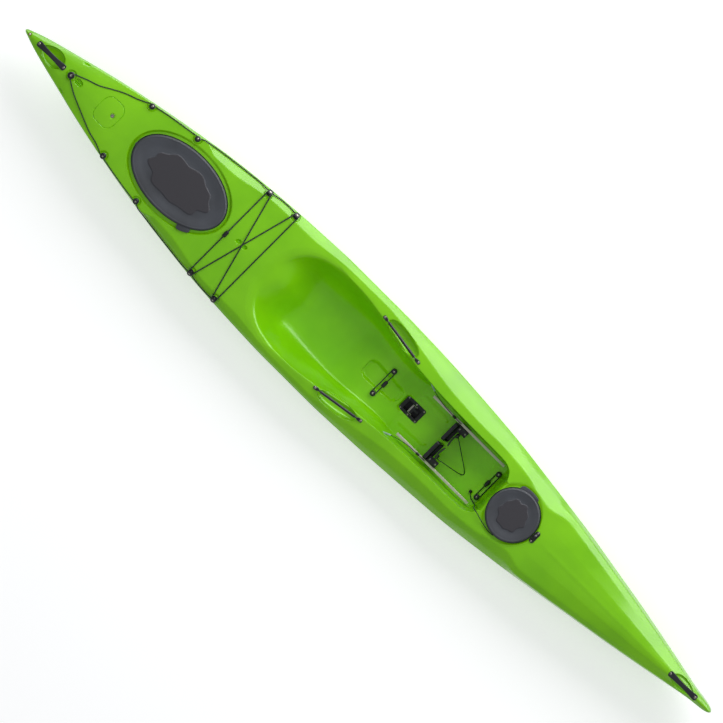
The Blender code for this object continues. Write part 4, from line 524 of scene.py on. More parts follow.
def stood(x: Array, flat: Array) -> Array:
    """Cross-sections, one to a row of the array, each stood at its own X."""
    return np.concatenate([np.broadcast_to(x[:, None, None], (*flat.shape[:2], 1)), flat], -1)


def turned(*rows: Point) -> Array:
    """A 4 x 4 turn with these rows.

    Args:
        rows: The turn's three rows.

    Returns:
        The turn as a 4 x 4 array.
    """
    frame = np.eye(4)
    frame[:3, :3] = rows
    return frame


# Turns that lay a shape drawn along Z along another axis.
ALONG_X = turned((0, 0, 1), (1, 0, 0), (0, 1, 0))
ALONG_Y = turned((1, 0, 0), (0, 0, 1), (0, -1, 0))


def cubic(a: Array, b: Array, leaving: Array, arriving: Array, t: Array) -> Array:
    """The cubic from a to b at shares t, with its tangents at both."""
    return (a * (1 + 2 * t) * (1 - t) ** 2 + leaving * t * (1 - t) ** 2
            + b * t**2 * (3 - 2 * t) + arriving * t**2 * (t - 1))


def harmonic(before: Array, after: Array) -> Array:
    """Harmonic means of the slopes on both sides, or nought where the slopes turn."""
    same = before * after > 0
    return np.where(same, 2 * before * after / np.where(same, before + after, 1), 0)


def unit(vectors: Array) -> Array:
    """The vectors in the last axis, brought to length 1."""
    return vectors / np.maximum(np.linalg.norm(vectors, axis=-1, keepdims=True), 1e-12)


def skin_normals(rings: Array) -> Array:
    """Normals of a run of rings: the cross product of the ways round and along."""
    around = np.roll(rings, -1, 1) - np.roll(rings, 1, 1)
    return unit(np.cross(around, np.gradient(rings, axis=0)))


def grid_quads(rows: int, columns: int, wrap_rows: bool, wrap_columns: bool) -> Array:
    """Number the corners of a grid's quads, row by row.

    Args:
        rows: Rows of points.
        columns: Points in a row.
        wrap_rows: Whether the last row joins the first.
        wrap_columns: Whether each row's last point joins its first.

    Returns:
        One row of four corner numbers to a quad.
    """
    i = np.arange(rows if wrap_rows else rows - 1)
    j = np.arange(columns if wrap_columns else columns - 1)
    i, j = np.meshgrid(i, j, indexing="ij")
    after, beside = (i + 1) % rows, (j + 1) % columns
    corners = [i * columns + j, after * columns + j, after * columns + beside,
               i * columns + beside]
    return np.stack(corners, -1).reshape(-1, 4)


@dataclass
class Surface:
    """Points with quads and triangles, a UV for each corner and each point's share of a pad."""

    points: Array
    quads: Array
    triangles: Array = field(default_factory=lambda: np.zeros((0, 3), int))
    uv: Array | None = None
    pad: Array | None = None

    def volume(self) -> float:
        """Sum the signed volumes of tetrahedra from the origin to each triangle.

        Returns:
            The volume in cubic metres, less than 0 where the faces point inwards.
        """
        halves = np.vstack([self.quads[:, [0, 1, 2]], self.quads[:, [0, 2, 3]], self.triangles])
        a, b, c = (self.points[halves[:, k]] for k in range(3))
        return float(np.einsum("ij,ij->i", a, np.cross(b, c)).sum() / 6)

    def outward(self) -> Surface:
        """Turn a closed surface's faces outwards."""
        if self.volume() < 0:
            self.quads = self.quads[:, ::-1]
            self.triangles = self.triangles[:, ::-1]
            if self.uv is not None:
                count = 4 * len(self.quads)
                quads = self.uv[:count].reshape(-1, 4, 2)[:, ::-1].reshape(-1, 2)
                fans = self.uv[count:].reshape(-1, 3, 2)[:, ::-1].reshape(-1, 2)
                self.uv = np.vstack([quads, fans])
        return self

    def joined(self, *others: Surface) -> Surface:
        """Put surfaces together in one, without merging their points.

        Args:
            others: Surfaces to add to this one.

        Returns:
            The surfaces as one, without UVs.
        """
        shapes = (self, *others)
        starts = np.cumsum([0] + [len(s.points) for s in shapes[:-1]])
        return Surface(
            np.vstack([s.points for s in shapes]),
            np.vstack([s.quads + start for s, start in zip(shapes, starts)]),
            np.vstack([s.triangles + start for s, start in zip(shapes, starts)]),
        )

    def placed(self, matrix: Array) -> Surface:
        """Move the points by a 4 x 4 matrix: each point times the matrix's turn, plus its shift.

        Args:
            matrix: Where the surface's own frame goes.

        Returns:
            The moved surface, its faces still outward under a mirroring matrix.
        """
        points = self.points @ matrix[:3, :3].T + matrix[:3, 3]
        moved = Surface(points, self.quads, self.triangles, self.uv, self.pad)
        if np.linalg.det(matrix[:3, :3]) < 0:
            moved.quads = moved.quads[:, ::-1]
            moved.triangles = moved.triangles[:, ::-1]
        return moved

    def mesh(self, name: str, sharp_angle: float) -> bpy.types.Mesh:
        """Make the Blender mesh, leaving out points that no face uses.

        Args:
            name: The mesh's name.
            sharp_angle: Edges sharper than this many degrees stay crisp.

        Returns:
            The mesh, shaded smooth.
        """
        corners = np.concatenate([self.quads.ravel(), self.triangles.ravel()])
        used, corners = np.unique(corners, return_inverse=True)
        sizes = np.repeat([4, 3], [len(self.quads), len(self.triangles)])
        starts = np.concatenate([[0], np.cumsum(sizes)[:-1]])
        mesh = bpy.data.meshes.new(name)
        mesh.vertices.add(len(used))
        mesh.vertices.foreach_set("co", self.points[used].astype(np.float32).ravel())
        mesh.loops.add(len(corners))
        mesh.loops.foreach_set("vertex_index", corners.astype(np.int32))
        mesh.polygons.add(len(sizes))
        mesh.polygons.foreach_set("loop_start", starts.astype(np.int32))
        if self.uv is not None:
            layer = mesh.uv_layers.new(name="UVMap")
            layer.data.foreach_set("uv", self.uv.astype(np.float32).ravel())
        if self.pad is not None:
            layer = mesh.attributes.new("pad", "FLOAT", "POINT")
            layer.data.foreach_set("value", self.pad[used].astype(np.float32))
        mesh.update(calc_edges=True)
        mesh.validate()
        mesh.shade_smooth()
        mesh.set_sharp_from_angle(angle=math.radians(sharp_angle))
        return mesh


def ring_surface(rings: Array, ends: Ends = Ends.CAPPED, pitch: float = 0.0) -> Surface:
    """Skin a run of rings: a profile carried along a path.

    The surface's point (i, j) is point j of ring i. Capped ends are fans to each end ring's mean.

    Args:
        rings: Array of rings by points by 3.
        ends: Whether the end rings are capped or joined to each other.
        pitch: Metres along the run for one turn of the UV's V, or 0 for no UVs.

    Returns:
        A closed surface, faces outward.
    """
    rows, columns = rings.shape[:2]
    joined = ends is Ends.JOINED
    points = rings.reshape(-1, 3)
    quads = grid_quads(rows, columns, joined, True)
    fans = np.zeros((0, 3), int)
    if not joined:
        centres = np.stack([rings[0].mean(0), rings[-1].mean(0)])
        k = np.arange(columns)
        first = np.stack([k, (k + 1) % columns, np.full(columns, len(points))], -1)
        base = (rows - 1) * columns
        last = np.stack(
            [base + (k + 1) % columns, base + k, np.full(columns, len(points) + 1)], -1
        )
        points = np.vstack([points, centres])
        fans = np.vstack([first, last])
    uv = None
    if pitch:
        step = np.linalg.norm(np.diff(rings.mean(1), axis=0), axis=1)
        run = np.concatenate([[0], np.cumsum(step)]) / pitch
        run = np.append(run, run[-1] + (run[1] if len(run) > 1 else 0))
        i, j = np.meshgrid(
            np.arange(rows if joined else rows - 1), np.arange(columns), indexing="ij"
        )
        u = np.stack([j, j, j + 1, j + 1], -1) / columns
        v = np.stack([run[i], run[i + 1], run[i + 1], run[i]], -1)
        quad_uv = np.stack([u, v], -1).reshape(-1, 2)
        uv = np.vstack([quad_uv, np.zeros((fans.size, 2))])
    return Surface(points, quads, fans, uv).outward()


def smooth_path(points: list[Point] | Array, spacing: float, closed: bool = False) -> Array:
    """Draw a centripetal Catmull-Rom curve through points.

    Between two points the curve is the cubic that leaves and meets them with the tangents of
    circles through their neighbours, timed by the square root of each gap.

    Args:
        points: The points it passes.
        spacing: Length of its steps in metres.
        closed: Whether it returns to its start.

    Returns:
        Array of points by 3.
    """
    p = np.asarray(points, float)
    if closed:
        q = np.vstack([p[-1:], p, p[:2]])
    else:
        q = np.vstack([2 * p[:1] - p[1:2], p, 2 * p[-1:] - p[-2:-1]])
    a, b, c, d = q[:-3], q[1:-2], q[2:-1], q[3:]
    gaps = [np.sqrt(np.linalg.norm(s - r, axis=1))[:, None] for r, s in ((a, b), (b, c), (c, d))]
    t0, t1, t2 = (np.maximum(gap, 1e-4) for gap in gaps)
    start = ((b - a) / t0 - (c - a) / (t0 + t1) + (c - b) / t1) * t1
    stop = ((c - b) / t1 - (d - b) / (t1 + t2) + (d - c) / t2) * t1
    counts = np.maximum(2, np.ceil(np.linalg.norm(c - b, axis=1) / spacing).astype(int))
    k = np.repeat(np.arange(len(b)), counts)
    t = np.concatenate([np.arange(n) / n for n in counts])[:, None]
    curve = cubic(b[k], c[k], start[k], stop[k], t)
    return curve if closed else np.vstack([curve, p[-1:]])


def tube_rings(path: Array, radius: float | Array, sides: int, closed: bool = False) -> Array:
    """Carry a circle along a path: path + radius (cos a * across + sin a * over).

    Args:
        path: Points of the path.
        radius: The circle's radius, or one for each point.
        sides: Points in the circle.
        closed: Whether the path returns to its start.

    Returns:
        Array of rings by points by 3.
    """
    if closed:
        tangent = np.roll(path, -1, axis=0) - np.roll(path, 1, axis=0)
    else:
        tangent = np.gradient(path, axis=0)
    tangent /= np.linalg.norm(tangent, axis=1, keepdims=True)
    steep = np.abs(tangent[:, 2]).max() > 0.95
    guide = np.array([0.6, 0.8, 0.0]) if steep else np.array([0.0, 0.0, 1.0])
    across = np.cross(guide, tangent)
    across /= np.linalg.norm(across, axis=1, keepdims=True)
    over = np.cross(tangent, across)
    angle = circle(sides)[None, :, None]
    size = np.broadcast_to(np.asarray(radius, float), (len(path),))[:, None, None]
    return path[:, None] + size * (
        np.cos(angle) * across[:, None] + np.sin(angle) * over[:, None]
    )


def turned_surface(profile: Array | list[tuple[float, float]], sides: int = 32,
                   ends: Ends = Ends.CAPPED) -> Surface:
    """Turn a profile about Z: (r cos a, r sin a, z).

    Args:
        profile: (radius, height) pairs.
        sides: Points round the turn.
        ends: Whether the profile is open, with capped ends, or a closed ring.

    Returns:
        A closed surface.
    """
    r, z = np.asarray(profile, float).T
    angle = circle(sides)
    x, y = r[:, None] * np.cos(angle), r[:, None] * np.sin(angle)
    return ring_surface(np.stack([x, y, np.broadcast_to(z[:, None], x.shape)], -1), ends)


def superellipse(half_x: Array | float, half_y: Array | float, power: float,
                 angle: Array) -> Array:
    """Points where |x / half_x| ** power + |y / half_y| ** power is 1, at polar parameters.

    Args:
        half_x: Half length.
        half_y: Half width.
        power: 2 for an ellipse, more for a squarer shape.
        angle: The parameter, in radians.

    Returns:
        Array of x and y in its last axis.
    """
    c, s = np.cos(angle), np.sin(angle)
    x = np.sign(c) * np.abs(c) ** (2 / power) * half_x
    y = np.sign(s) * np.abs(s) ** (2 / power) * half_y
    return np.stack(np.broadcast_arrays(x, y), -1)


def round_rectangle(half_x: float, half_y: float, corner: float, steps: int = 6) -> Array:
    """Points of a rectangle with round corners: each corner's centre plus a quarter circle.

    Args:
        half_x: Half length.
        half_y: Half width.
        corner: Radius of the corners.
        steps: Steps to a corner.

    Returns:
        Array of points by 2, anticlockwise.
    """
    quarter = np.arange(4)[:, None]
    angle = np.pi / 2 * (quarter + np.arange(steps + 1) / steps)
    sx = np.array([1, -1, -1, 1])[:, None]
    sy = np.array([1, 1, -1, -1])[:, None]
    x = sx * (half_x - corner) + corner * np.cos(angle)
    y = sy * (half_y - corner) + corner * np.sin(angle)
    return np.stack([x, y], -1).reshape(-1, 2)


def plate_surface(outline: Array, low: float, high: float, edge: float, turns: int = 3) -> Surface:
    """Raise an outline to a plate whose top edge is rounded.

    Ring k of the edge lies inside the outline by edge (1 - cos a) and below the top by
    edge (1 - sin a), for a from 0 to a quarter turn.

    Args:
        outline: Points by 2, anticlockwise, convex or nearly so.
        low: Height of its underside.
        high: Height of its top.
        edge: Radius of the rounded edge.
        turns: Steps of the rounding.

    Returns:
        A closed surface.
    """
    centre = outline.mean(0)
    reach = np.linalg.norm(outline - centre, axis=1, keepdims=True)
    inward = (centre - outline) / reach
    angle = np.linspace(0, np.pi / 2, turns + 1)
    insets = np.concatenate([[0], edge * (1 - np.cos(angle))])
    heights = np.concatenate([[low], high - edge * (1 - np.sin(angle))])
    flat = outline[None] + insets[:, None, None] * inward[None]
    return ring_surface(raised(flat, heights))


def matrix_from(origin: Array | Point, fore: Array | Point, up: Array | Point) -> Array:
    """Build a right-handed 4 x 4 frame whose X is along fore and whose Z is nearest to up.

    Args:
        origin: The frame's origin.
        fore: Direction of its X.
        up: Rough direction of its Z.

    Returns:
        The frame as a 4 x 4 array.
    """
    x = np.asarray(fore, float) / np.linalg.norm(fore)
    y = np.cross(up, x)
    y /= np.linalg.norm(y)
    frame = np.eye(4)
    frame[:3, 0], frame[:3, 1], frame[:3, 2] = x, y, np.cross(x, y)
    frame[:3, 3] = origin
    return frame


def at(x: float, y: float, z: float) -> Array:
    """A 4 x 4 shift to a point.

    Args:
        x: X of the point.
        y: Y of the point.
        z: Z of the point.

    Returns:
        The shift as a 4 x 4 array.
    """
    frame = np.eye(4)
    frame[:3, 3] = (x, y, z)
    return frame


def mirrored(points: Array | list[Point]) -> Array:
    """The points mirrored from port to starboard."""
    return np.asarray(points, float) * (1, -1, 1)


def smooth_step(value: Array) -> Array:
    """Ease from 0 to 1: 3 t squared less 2 t cubed, with t held between 0 and 1."""
    t = np.clip(value, 0, 1)
    return t * t * (3 - 2 * t)


def show(name: str, surface: Surface, finish: Finish, node: str = "", body: str = "boat",
         sharp_angle: float = 40) -> bpy.types.Object:
    """Put a surface in the scene as a piece of the boat, in its finish and the record's slot.

    Args:
        name: The piece's name.
        surface: Its shape, in the boat's frame.
        finish: Its finish.
        node: The node that it stands for, or nothing where it is the scene's own.
        body: The body that it rides on, or nothing for a piece that is blended later.
        sharp_angle: Edges sharper than this many degrees stay crisp.

    Returns:
        The new object.
    """
    piece = bpy.data.objects.new(name, surface.mesh(name, sharp_angle))
    bpy.context.scene.collection.objects.link(piece)
    piece.data.materials.append(finish.material())
    if body:
        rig.ride(piece, body)
    if node:
        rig.replaces(piece, node)
    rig.slot(piece, finish.slot)
    LOG.info("piece %s: %d faces on %s", name, len(piece.data.polygons), body or "two bodies")
    return piece


def line_value(table: Table, place: Array | float) -> Array:
    """Read a hull line: a smooth curve through its points that never overshoots them.

    Between points the curve is the cubic with tangents that are the harmonic means of the
    slopes on both sides, or nought where the slopes turn.

    Args:
        table: (place, value) pairs.
        place: Places to read at.

    Returns:
        The values.
    """
    x, y = np.array(table, float).T
    slope = np.diff(y) / np.diff(x)
    tangent = np.concatenate([slope[:1], harmonic(slope[:-1], slope[1:]), slope[-1:]])
    place = np.asarray(place, float)
    i = np.clip(np.searchsorted(x, place) - 1, 0, len(slope) - 1)
    step = x[i + 1] - x[i]
    return cubic(y[i], y[i + 1], step * tangent[i], step * tangent[i + 1],
                 (place - x[i]) / step)


# The hull


@dataclass(frozen=True)
class Recess:
    """A hollow or a pad in the deck with a round or squarish outline."""

    x: float
    y: float
    half_x: float
    half_y: float
    depth: float
    power: float = 2.0
    edge: float = 0.008
    turn: float = 0.0
    egg: float = 0.0
    kind: Hollow = Hollow.SUNK

    def inside(self, x: Array, y: Array) -> tuple[Array, Array]:
        """Measure how far points lie inside the outline.

        The outline is where r, the power mean of the scaled distances along its two axes, is 1.
        The distance inside is (1 - r) over the slope of r.

        Args:
            x: X of the points.
            y: Y of the points.

        Returns:
            The distance in metres, and r.
        """
        c, s = math.cos(self.turn), math.sin(self.turn)
        u = (x - self.x) * c + (y - self.y) * s
        v = (y - self.y) * c - (x - self.x) * s
        half_y = self.half_y * (1 + self.egg * np.clip(u / self.half_x, -1, 1))
        a = np.maximum(np.abs(u) / self.half_x, 1e-6)
        b = np.maximum(np.abs(v) / half_y, 1e-6)
        r = (a**self.power + b**self.power) ** (1 / self.power)
        slope = r ** (1 - self.power) * np.hypot(
            a ** (self.power - 1) / self.half_x, b ** (self.power - 1) / half_y
        )
        return (1 - r) / np.maximum(slope, 1e-3), r

    def carved(self, x: Array, y: Array, z: Array) -> Array:
        """Lower or raise the heights inside the outline.

        Args:
            x: X of the points.
            y: Y of the points.
            z: Their heights.

        Returns:
            The new heights.
        """
        distance, r = self.inside(x, y)
        share = smooth_step(distance / self.edge)
        if self.kind is Hollow.LEVEL:
            return z + (self.depth - z) * share
        if self.kind is Hollow.DISH:
            return z + np.minimum(self.depth - z, 0) * share
        if self.kind is Hollow.BOWL:
            return z - self.depth * np.sqrt(np.clip(1 - r * r, 0, 1)) * np.minimum(
                share + 0.30, 1
            )
        return z - self.depth * share


@dataclass(frozen=True)
class Bucket:
    """The rounded aft end of the seat, a bowl whose depth depends on where a point lies in it."""

    x: float = -0.3755
    half_x: float = 0.2925
    half_y: float = 0.263
    power: float = 2.3
    aft: Table = (
        (0, 0.2180), (0.12, 0.200), (0.22, 0.174), (0.34, 0.132), (0.51, 0.074), (0.62, 0.047),
        (0.74, 0.026), (0.88, 0.010), (0.96, 0.0025), (1.0, 0), (2.5, 0),
    )
    side: Table = (
        (0, 0.2180), (0.40, 0.2120), (0.48, 0.203), (0.56, 0.185), (0.64, 0.155), (0.72, 0.115),
        (0.80, 0.058), (0.85, 0.017), (0.89, 0.004), (0.95, 0), (2.5, 0),
    )
    ends: tuple[float, float] = (39.8, 42.8)

    def depth(self, x: Array, y: Array) -> Array:
        """How far the bowl lies below the deck.

        The scaled distance r from the bowl's middle is the power mean of its two parts. The
        depth is read from the aft profile and the side profile at r, mixed by the share that
        the breadth has in r.

        Args:
            x: X of the points.
            y: Y of the points.

        Returns:
            The depths.
        """
        u = np.clip((self.x - x) / self.half_x, 0, 2.4)
        v = np.abs(y) / self.half_y
        r = np.minimum((u**self.power + v**self.power) ** (1 / self.power), 2.4)
        side = v * v / np.maximum(u * u + v * v, 1e-9)
        return line_value(self.aft, r) * (1 - side) + line_value(self.side, r) * side

    def given_way(self, place: Array) -> Array:
        """Share of the depth that the cross-sections have taken over at a place."""
        return smooth_step((place - self.ends[0]) / (self.ends[1] - self.ends[0]))


@dataclass
class Hull:
    """One hollow moulding, drawn from a table of offsets and carved with its recesses.

    A cross-section runs from the keel round the gunwale and over the deck edge to the deck's
    middle through thirteen points, whose breadths and heights are the tables' values.
    """

    length: float = 4.35
    beam: float = 0.59
    depth: float = 0.33
    wall: float = 0.005
    keel_flat: float = 0.085
    breadth: Table = (
        (0, 0.022), (2.07, 0.130), (6.2, 0.292), (10.34, 0.443), (14.48, 0.573), (18.61, 0.687),
        (24.82, 0.827), (31.02, 0.924), (37.23, 0.979), (41.37, 1.0), (47.57, 1.0),
        (53.77, 0.973), (59.98, 0.919), (66.18, 0.849), (72.39, 0.735), (78.59, 0.606),
        (82.73, 0.503), (86.87, 0.400), (91.0, 0.286), (95.14, 0.163), (97.21, 0.1025),
        (99.28, 0.060), (100, 0.022),
    )
    keel: Table = (
        (0, 0.70), (2.07, 0.575), (6.2, 0.44), (11.9, 0.318), (16.5, 0.212), (22.75, 0.106),
        (31.0, 0.024), (36.2, 0), (72.4, 0), (80.66, 0.018), (88.9, 0.09), (95.1, 0.227),
        (98.2, 0.394), (100, 0.606),
    )
    gunwale: Table = (
        (0, 0.818), (6.2, 0.758), (14.5, 0.735), (20.4, 0.72), (25.85, 0.69), (31.0, 0.73),
        (36.2, 0.703), (41.4, 0.682), (46.5, 0.687), (51.7, 0.636), (53.8, 0.616),
        (57.9, 0.595), (62.05, 0.608), (66.2, 0.66), (70.3, 0.677), (73.2, 0.672),
        (75.8, 0.65), (78.6, 0.61), (84.8, 0.63), (91.0, 0.697), (95.1, 0.758), (100, 0.848),
    )
    edge: Table = (
        (0, 0.864), (6.2, 0.848), (14.5, 0.824), (20.4, 0.818), (25.85, 0.826), (31, 0.820),
        (36.2, 0.803), (42.4, 0.764), (50.7, 0.773), (57.5, 0.794), (66.2, 0.833),
        (68.8, 0.870), (73.4, 0.876), (75.8, 0.861), (84.8, 0.885), (90, 0.915), (94.3, 0.933),
        (100, 0.924),
    )
    crown: Table = (
        (0, 0.90), (6.2, 0.909), (12.4, 0.888), (16.5, 0.870), (29, 0.864), (34.6, 0.848),
        (62, 0.848), (67.2, 0.879), (68.8, 0.888), (73.6, 0.888), (75.8, 0.909), (82.7, 0.964),
        (88.9, 1.0), (95.1, 0.991), (100, 0.945),
    )
    well: Table = (
        (0, 0), (34.95, 0), (36.4, 0.055), (37.95, 0.197), (39.1, 0.394), (40.3, 0.591),
        (41.8, 0.661), (44.5, 0.682), (47.8, 0.661), (49.2, 0.545), (50.3, 0.479),
        (51.7, 0.464), (53.4, 0.485), (54.4, 0.591), (55, 0.636), (57.9, 0.636), (64.6, 0.630),
        (66.2, 0.600), (66.7, 0.575), (67.6, 0.560), (67.85, 0.43), (68.15, 0.09), (68.4, 0),
        (100, 0),
    )
    edge_breadth: Table = (
        (0, 0.9), (6.2, 0.94), (14.5, 0.975), (21.6, 0.96), (23.2, 0.83), (25.85, 0.80),
        (28.5, 0.84), (31, 0.87), (36.2, 0.84), (38.5, 0.865), (41.4, 0.895), (46.5, 0.90),
        (51.7, 0.82), (53.8, 0.78), (57.6, 0.715), (61, 0.705), (67.2, 0.748), (69.6, 0.73),
        (71.4, 0.66), (73.1, 0.636), (75.8, 0.78), (79.6, 0.77), (84.8, 0.76), (90, 0.69),
        (94.3, 0.56), (97.2, 0.6), (100, 0.7),
    )
    rim_breadth: Table = (
        (0, 0.75), (34.9, 0.78), (38, 0.885), (39.1, 0.887), (40.3, 0.913), (41.4, 0.904),
        (44.2, 0.885), (47.2, 0.823), (49.6, 0.777), (51.7, 0.755), (53.3, 0.75),
        (57.9, 0.785), (62.7, 0.805), (66.6, 0.80), (67.2, 0.77), (67.7, 0.71), (68.0, 0.62),
        (68.3, 0.50), (72, 0.5), (100, 0.5),
    )
    foot_breadth: Table = (
        (0, 0.1), (34.9, 0.12), (36.4, 0.22), (38, 0.33), (40.3, 0.43), (41.8, 0.48),
        (44.5, 0.528),
        (47.6, 0.542), (51.7, 0.517), (54.2, 0.56), (56.6, 0.66), (64.6, 0.67), (67, 0.66),
        (68.2, 0.5), (72, 0.42), (100, 0.42),
    )
    panel_breadth: Table = ((0, 0.6), (73.2, 0.6), (76.5, 0.74), (100, 0.74))
    panel_drop: Table = ((0, 0.5), (73.2, 0.5), (76.5, 0.24), (100, 0.24))
    spacing: Table = (
        (0, 0.0012), (0.3, 0.0012), (0.4, 0.003), (1, 0.003), (1.3, 0.0045), (6.2, 0.0045),
        (6.3, 0.003), (8.4, 0.003), (8.5, 0.0045), (10.2, 0.0045), (10.5, 0.0035),
        (14, 0.0035), (14.3, 0.003), (15.5, 0.003), (15.6, 0.0045), (20, 0.0045), (20.1, 0.003),
        (21.2, 0.003), (21.3, 0.0045), (29.2, 0.0045), (29.3, 0.003), (34, 0.003), (35, 0.005),
        (68, 0.0042), (76, 0.0045), (78, 0.008), (92, 0.008), (93.5, 0.004), (99.5, 0.004),
        (99.7, 0.0012), (100, 0.0012),
    )
    bottom_steps: tuple[int, ...] = (14, 6, 6, 6, 7)
    deck_steps: tuple[int, ...] = (8, 10, 12, 20, 20, 10, 8)
    tip_round: float = 0.010
    fitting_spots: tuple[tuple[str, float, bool], ...] = (
        ("aft", 14.88, False), ("hatch", 20.60, False), ("bungee_aft", 29.80, True),
        ("bungee_fore", 33.45, True),
    )
    fitting_inset: float = 0.0125
    panel_inset: float = 0.0205
    stern_fitting_at: float = 6.67
    tip_hole: tuple[float, float] = (-2.1467, 0.0068)
    rudder_cover: tuple[float, float, float] = (-1.64778, 0.0562, 0.0662)
    stern_mouth: tuple[float, float] = (0.250, 0.1455)
    bow_mouth: float = 0.114
    throat: tuple[float, float] = (0.042, 0.030)
    throat_below: tuple[float, float] = (0.040, 0.027)
    bush_hole: float = 0.008
    grip_pitch: float = 0.0085
    grip_depth: float = 0.0070
    groove_width: float = 0.0018
    groove_depth: float = 0.0055
    cove_width: float = 0.0085
    cove_depth: float = 0.0060
    bow_ridge: float = 0.0016
    bucket: Bucket = Bucket()

    def along(self, place: Array | float) -> Array:
        """X of a place given in hundredths of the length from the stern."""
        return (np.asarray(place, float) / 100 - 0.5) * self.length

    def place_at(self, x: Array | float) -> Array:
        """The place of an X, in hundredths of the length."""
        return (np.asarray(x, float) / self.length + 0.5) * 100

    def gunwale_breadth(self, place: Array | float) -> Array:
        """Half breadth of the gunwale at a place."""
        return self.beam / 2 * line_value(self.breadth, place)

    def deck_breadth(self, place: Array | float) -> Array:
        """Half breadth of the deck edge at a place."""
        return self.gunwale_breadth(place) * line_value(self.edge_breadth, place)

    def deck_line(self, place: Array, y: Array) -> Array:
        """Height of the deck without the cockpit: a parabola from crown to edge.

        Args:
            place: Places along the boat.
            y: Breadths.

        Returns:
            The heights.
        """
        edge = self.depth * line_value(self.edge, place)
        crown = self.depth * line_value(self.crown, place)
        return edge + (crown - edge) * (1 - (y / self.deck_breadth(place)) ** 2)

    def corners(self, place: Array) -> Array:
        """The thirteen points of the port half of each cross-section.

        Args:
            place: Places along the boat.

        Returns:
            Array of places by 13 by 2, with y and z.
        """
        gunwale = self.gunwale_breadth(place)
        keel = self.depth * line_value(self.keel, place)
        rise = self.depth * line_value(self.gunwale, place) - keel
        edge = self.deck_breadth(place)
        edge_height = self.deck_line(place, edge)
        panel = edge + line_value(self.panel_breadth, place) * (gunwale - edge)
        panel_height = edge_height + line_value(self.panel_drop, place) * (
            keel + rise - edge_height
        )
        reach = 0.2 + 1.2 * smooth_step((62 - place) / 4)
        samples = [line_value(self.well, place + k * reach) for k in (-1, -0.5, 0, 0.5, 1)]
        well = self.depth * np.mean(samples, axis=0) * self.bucket.given_way(place)
        rim = edge * line_value(self.rim_breadth, place)
        foot = edge * line_value(self.foot_breadth, place)
        wall = foot + 0.6 * (rim - foot)
        nought = np.zeros_like(place)
        y = [nought, np.minimum(self.keel_flat, 0.3 * gunwale), 0.62 * gunwale, 0.86 * gunwale,
             0.97 * gunwale, gunwale, panel, edge, rim, wall, foot, foot / 2, nought]
        z = [keel, keel, keel + 0.13 * rise, keel + 0.42 * rise, keel + 0.75 * rise,
             keel + rise, panel_height, edge_height, self.deck_line(place, rim),
             self.deck_line(place, wall) - 0.55 * well, self.deck_line(place, foot) - 0.97 * well,
             self.deck_line(place, foot / 2) - well, self.deck_line(place, nought) - well]
        return np.stack([np.stack(y, -1), np.stack(z, -1)], -1)

    def contour(self, place: Array, first: int, steps: tuple[int, ...]) -> Array:
        """Draw smooth cross-sections through their corners.

        Each stretch between corners is the cubic whose tangents are the harmonic means of the
        chords beside it. At the gunwale and the deck edge the chord's own direction is used, so
        that these stay creases, and so does the side panel's middle near the bow.

        Args:
            place: Places along the boat.
            first: Number of the first corner.
            steps: Steps in each stretch from there.

        Returns:
            Array of places by points by 2.
        """
        c = self.corners(place)
        chord = np.diff(c, axis=1)
        tangent = np.zeros_like(c)
        tangent[:, 1:-1] = harmonic(chord[:, :-1], chord[:, 1:])
        tangent[:, 0, 0], tangent[:, -1, 0] = chord[:, 0, 0], chord[:, -1, 0]
        arriving, leaving = tangent.copy(), tangent.copy()
        bow = smooth_step((place - 73.5) / 3)[:, None]
        for corner, weight in ((5, 1.0), (7, 1.0), (6, bow)):
            arriving[:, corner] += weight * (chord[:, corner - 1] - arriving[:, corner])
            leaving[:, corner] += weight * (chord[:, corner] - leaving[:, corner])
        k = first + np.repeat(np.arange(len(steps)), steps)
        t = np.concatenate([np.arange(n) / n for n in steps])[None, :, None]
        curve = cubic(c[:, k], c[:, k + 1], leaving[:, k], arriving[:, k + 1], t)
        return np.concatenate([curve, c[:, first + len(steps)][:, None]], 1)

    def height(self, x: float, y: float) -> float:
        """Height of the uncarved deck at a point.

        Args:
            x: X of the point.
            y: Y of the point.

        Returns:
            The height in metres.
        """
        place = np.atleast_1d(self.place_at(x))
        points = self.contour(place, 5, self.deck_steps)[0][::-1]
        return float(np.interp(abs(y), points[:, 0], points[:, 1]))

    def normal(self, x: float, y: float, reach: float = 0.006) -> Array:
        """Upward normal of the uncarved deck, from heights a short way on each side.

        Args:
            x: X of the point.
            y: Y of the point.
            reach: How far on each side the heights are taken.

        Returns:
            A unit vector.
        """
        run = (self.height(x + reach, y) - self.height(x - reach, y)) / (2 * reach)
        rise = (self.height(x, y + reach) - self.height(x, y - reach)) / (2 * reach)
        direction = np.array([-run, -rise, 1.0])
        return direction / np.linalg.norm(direction)

    def seat(self, x: float, y: float, lift: float = GAP) -> Array:
        """Frame that stands on the deck at a point, its Z along the deck's normal.

        Args:
            x: X of the point.
            y: Y of the point.
            lift: How far above the deck it stands.

        Returns:
            The frame as a 4 x 4 array.
        """
        up = self.normal(x, y)
        origin = np.array([x, y, self.height(x, y)]) + lift * up
        return matrix_from(origin, (1, 0, 0), up)

    def over(self, x: float, y: float, clearance: float) -> Point:
        """The point this far above the deck."""
        return x, y, self.height(x, y) + clearance

    def off(self, x: float, y: float, clearance: float) -> Point:
        """The point this far from the deck along its normal."""
        point = np.array([x, y, self.height(x, y)]) + clearance * self.normal(x, y)
        return tuple(point)

    def stations(self) -> Array:
        """Places of the cross-sections, closer together where the deck has detail.

        Returns:
            The places, from the stern to the bow.
        """
        fine = np.linspace(0, 100, 4001)
        density = np.diff(self.along(fine)) / line_value(self.spacing, fine[:-1])
        count = np.concatenate([[0], np.cumsum(density)])
        return np.interp(np.linspace(0, count[-1], int(count[-1])), count, fine)

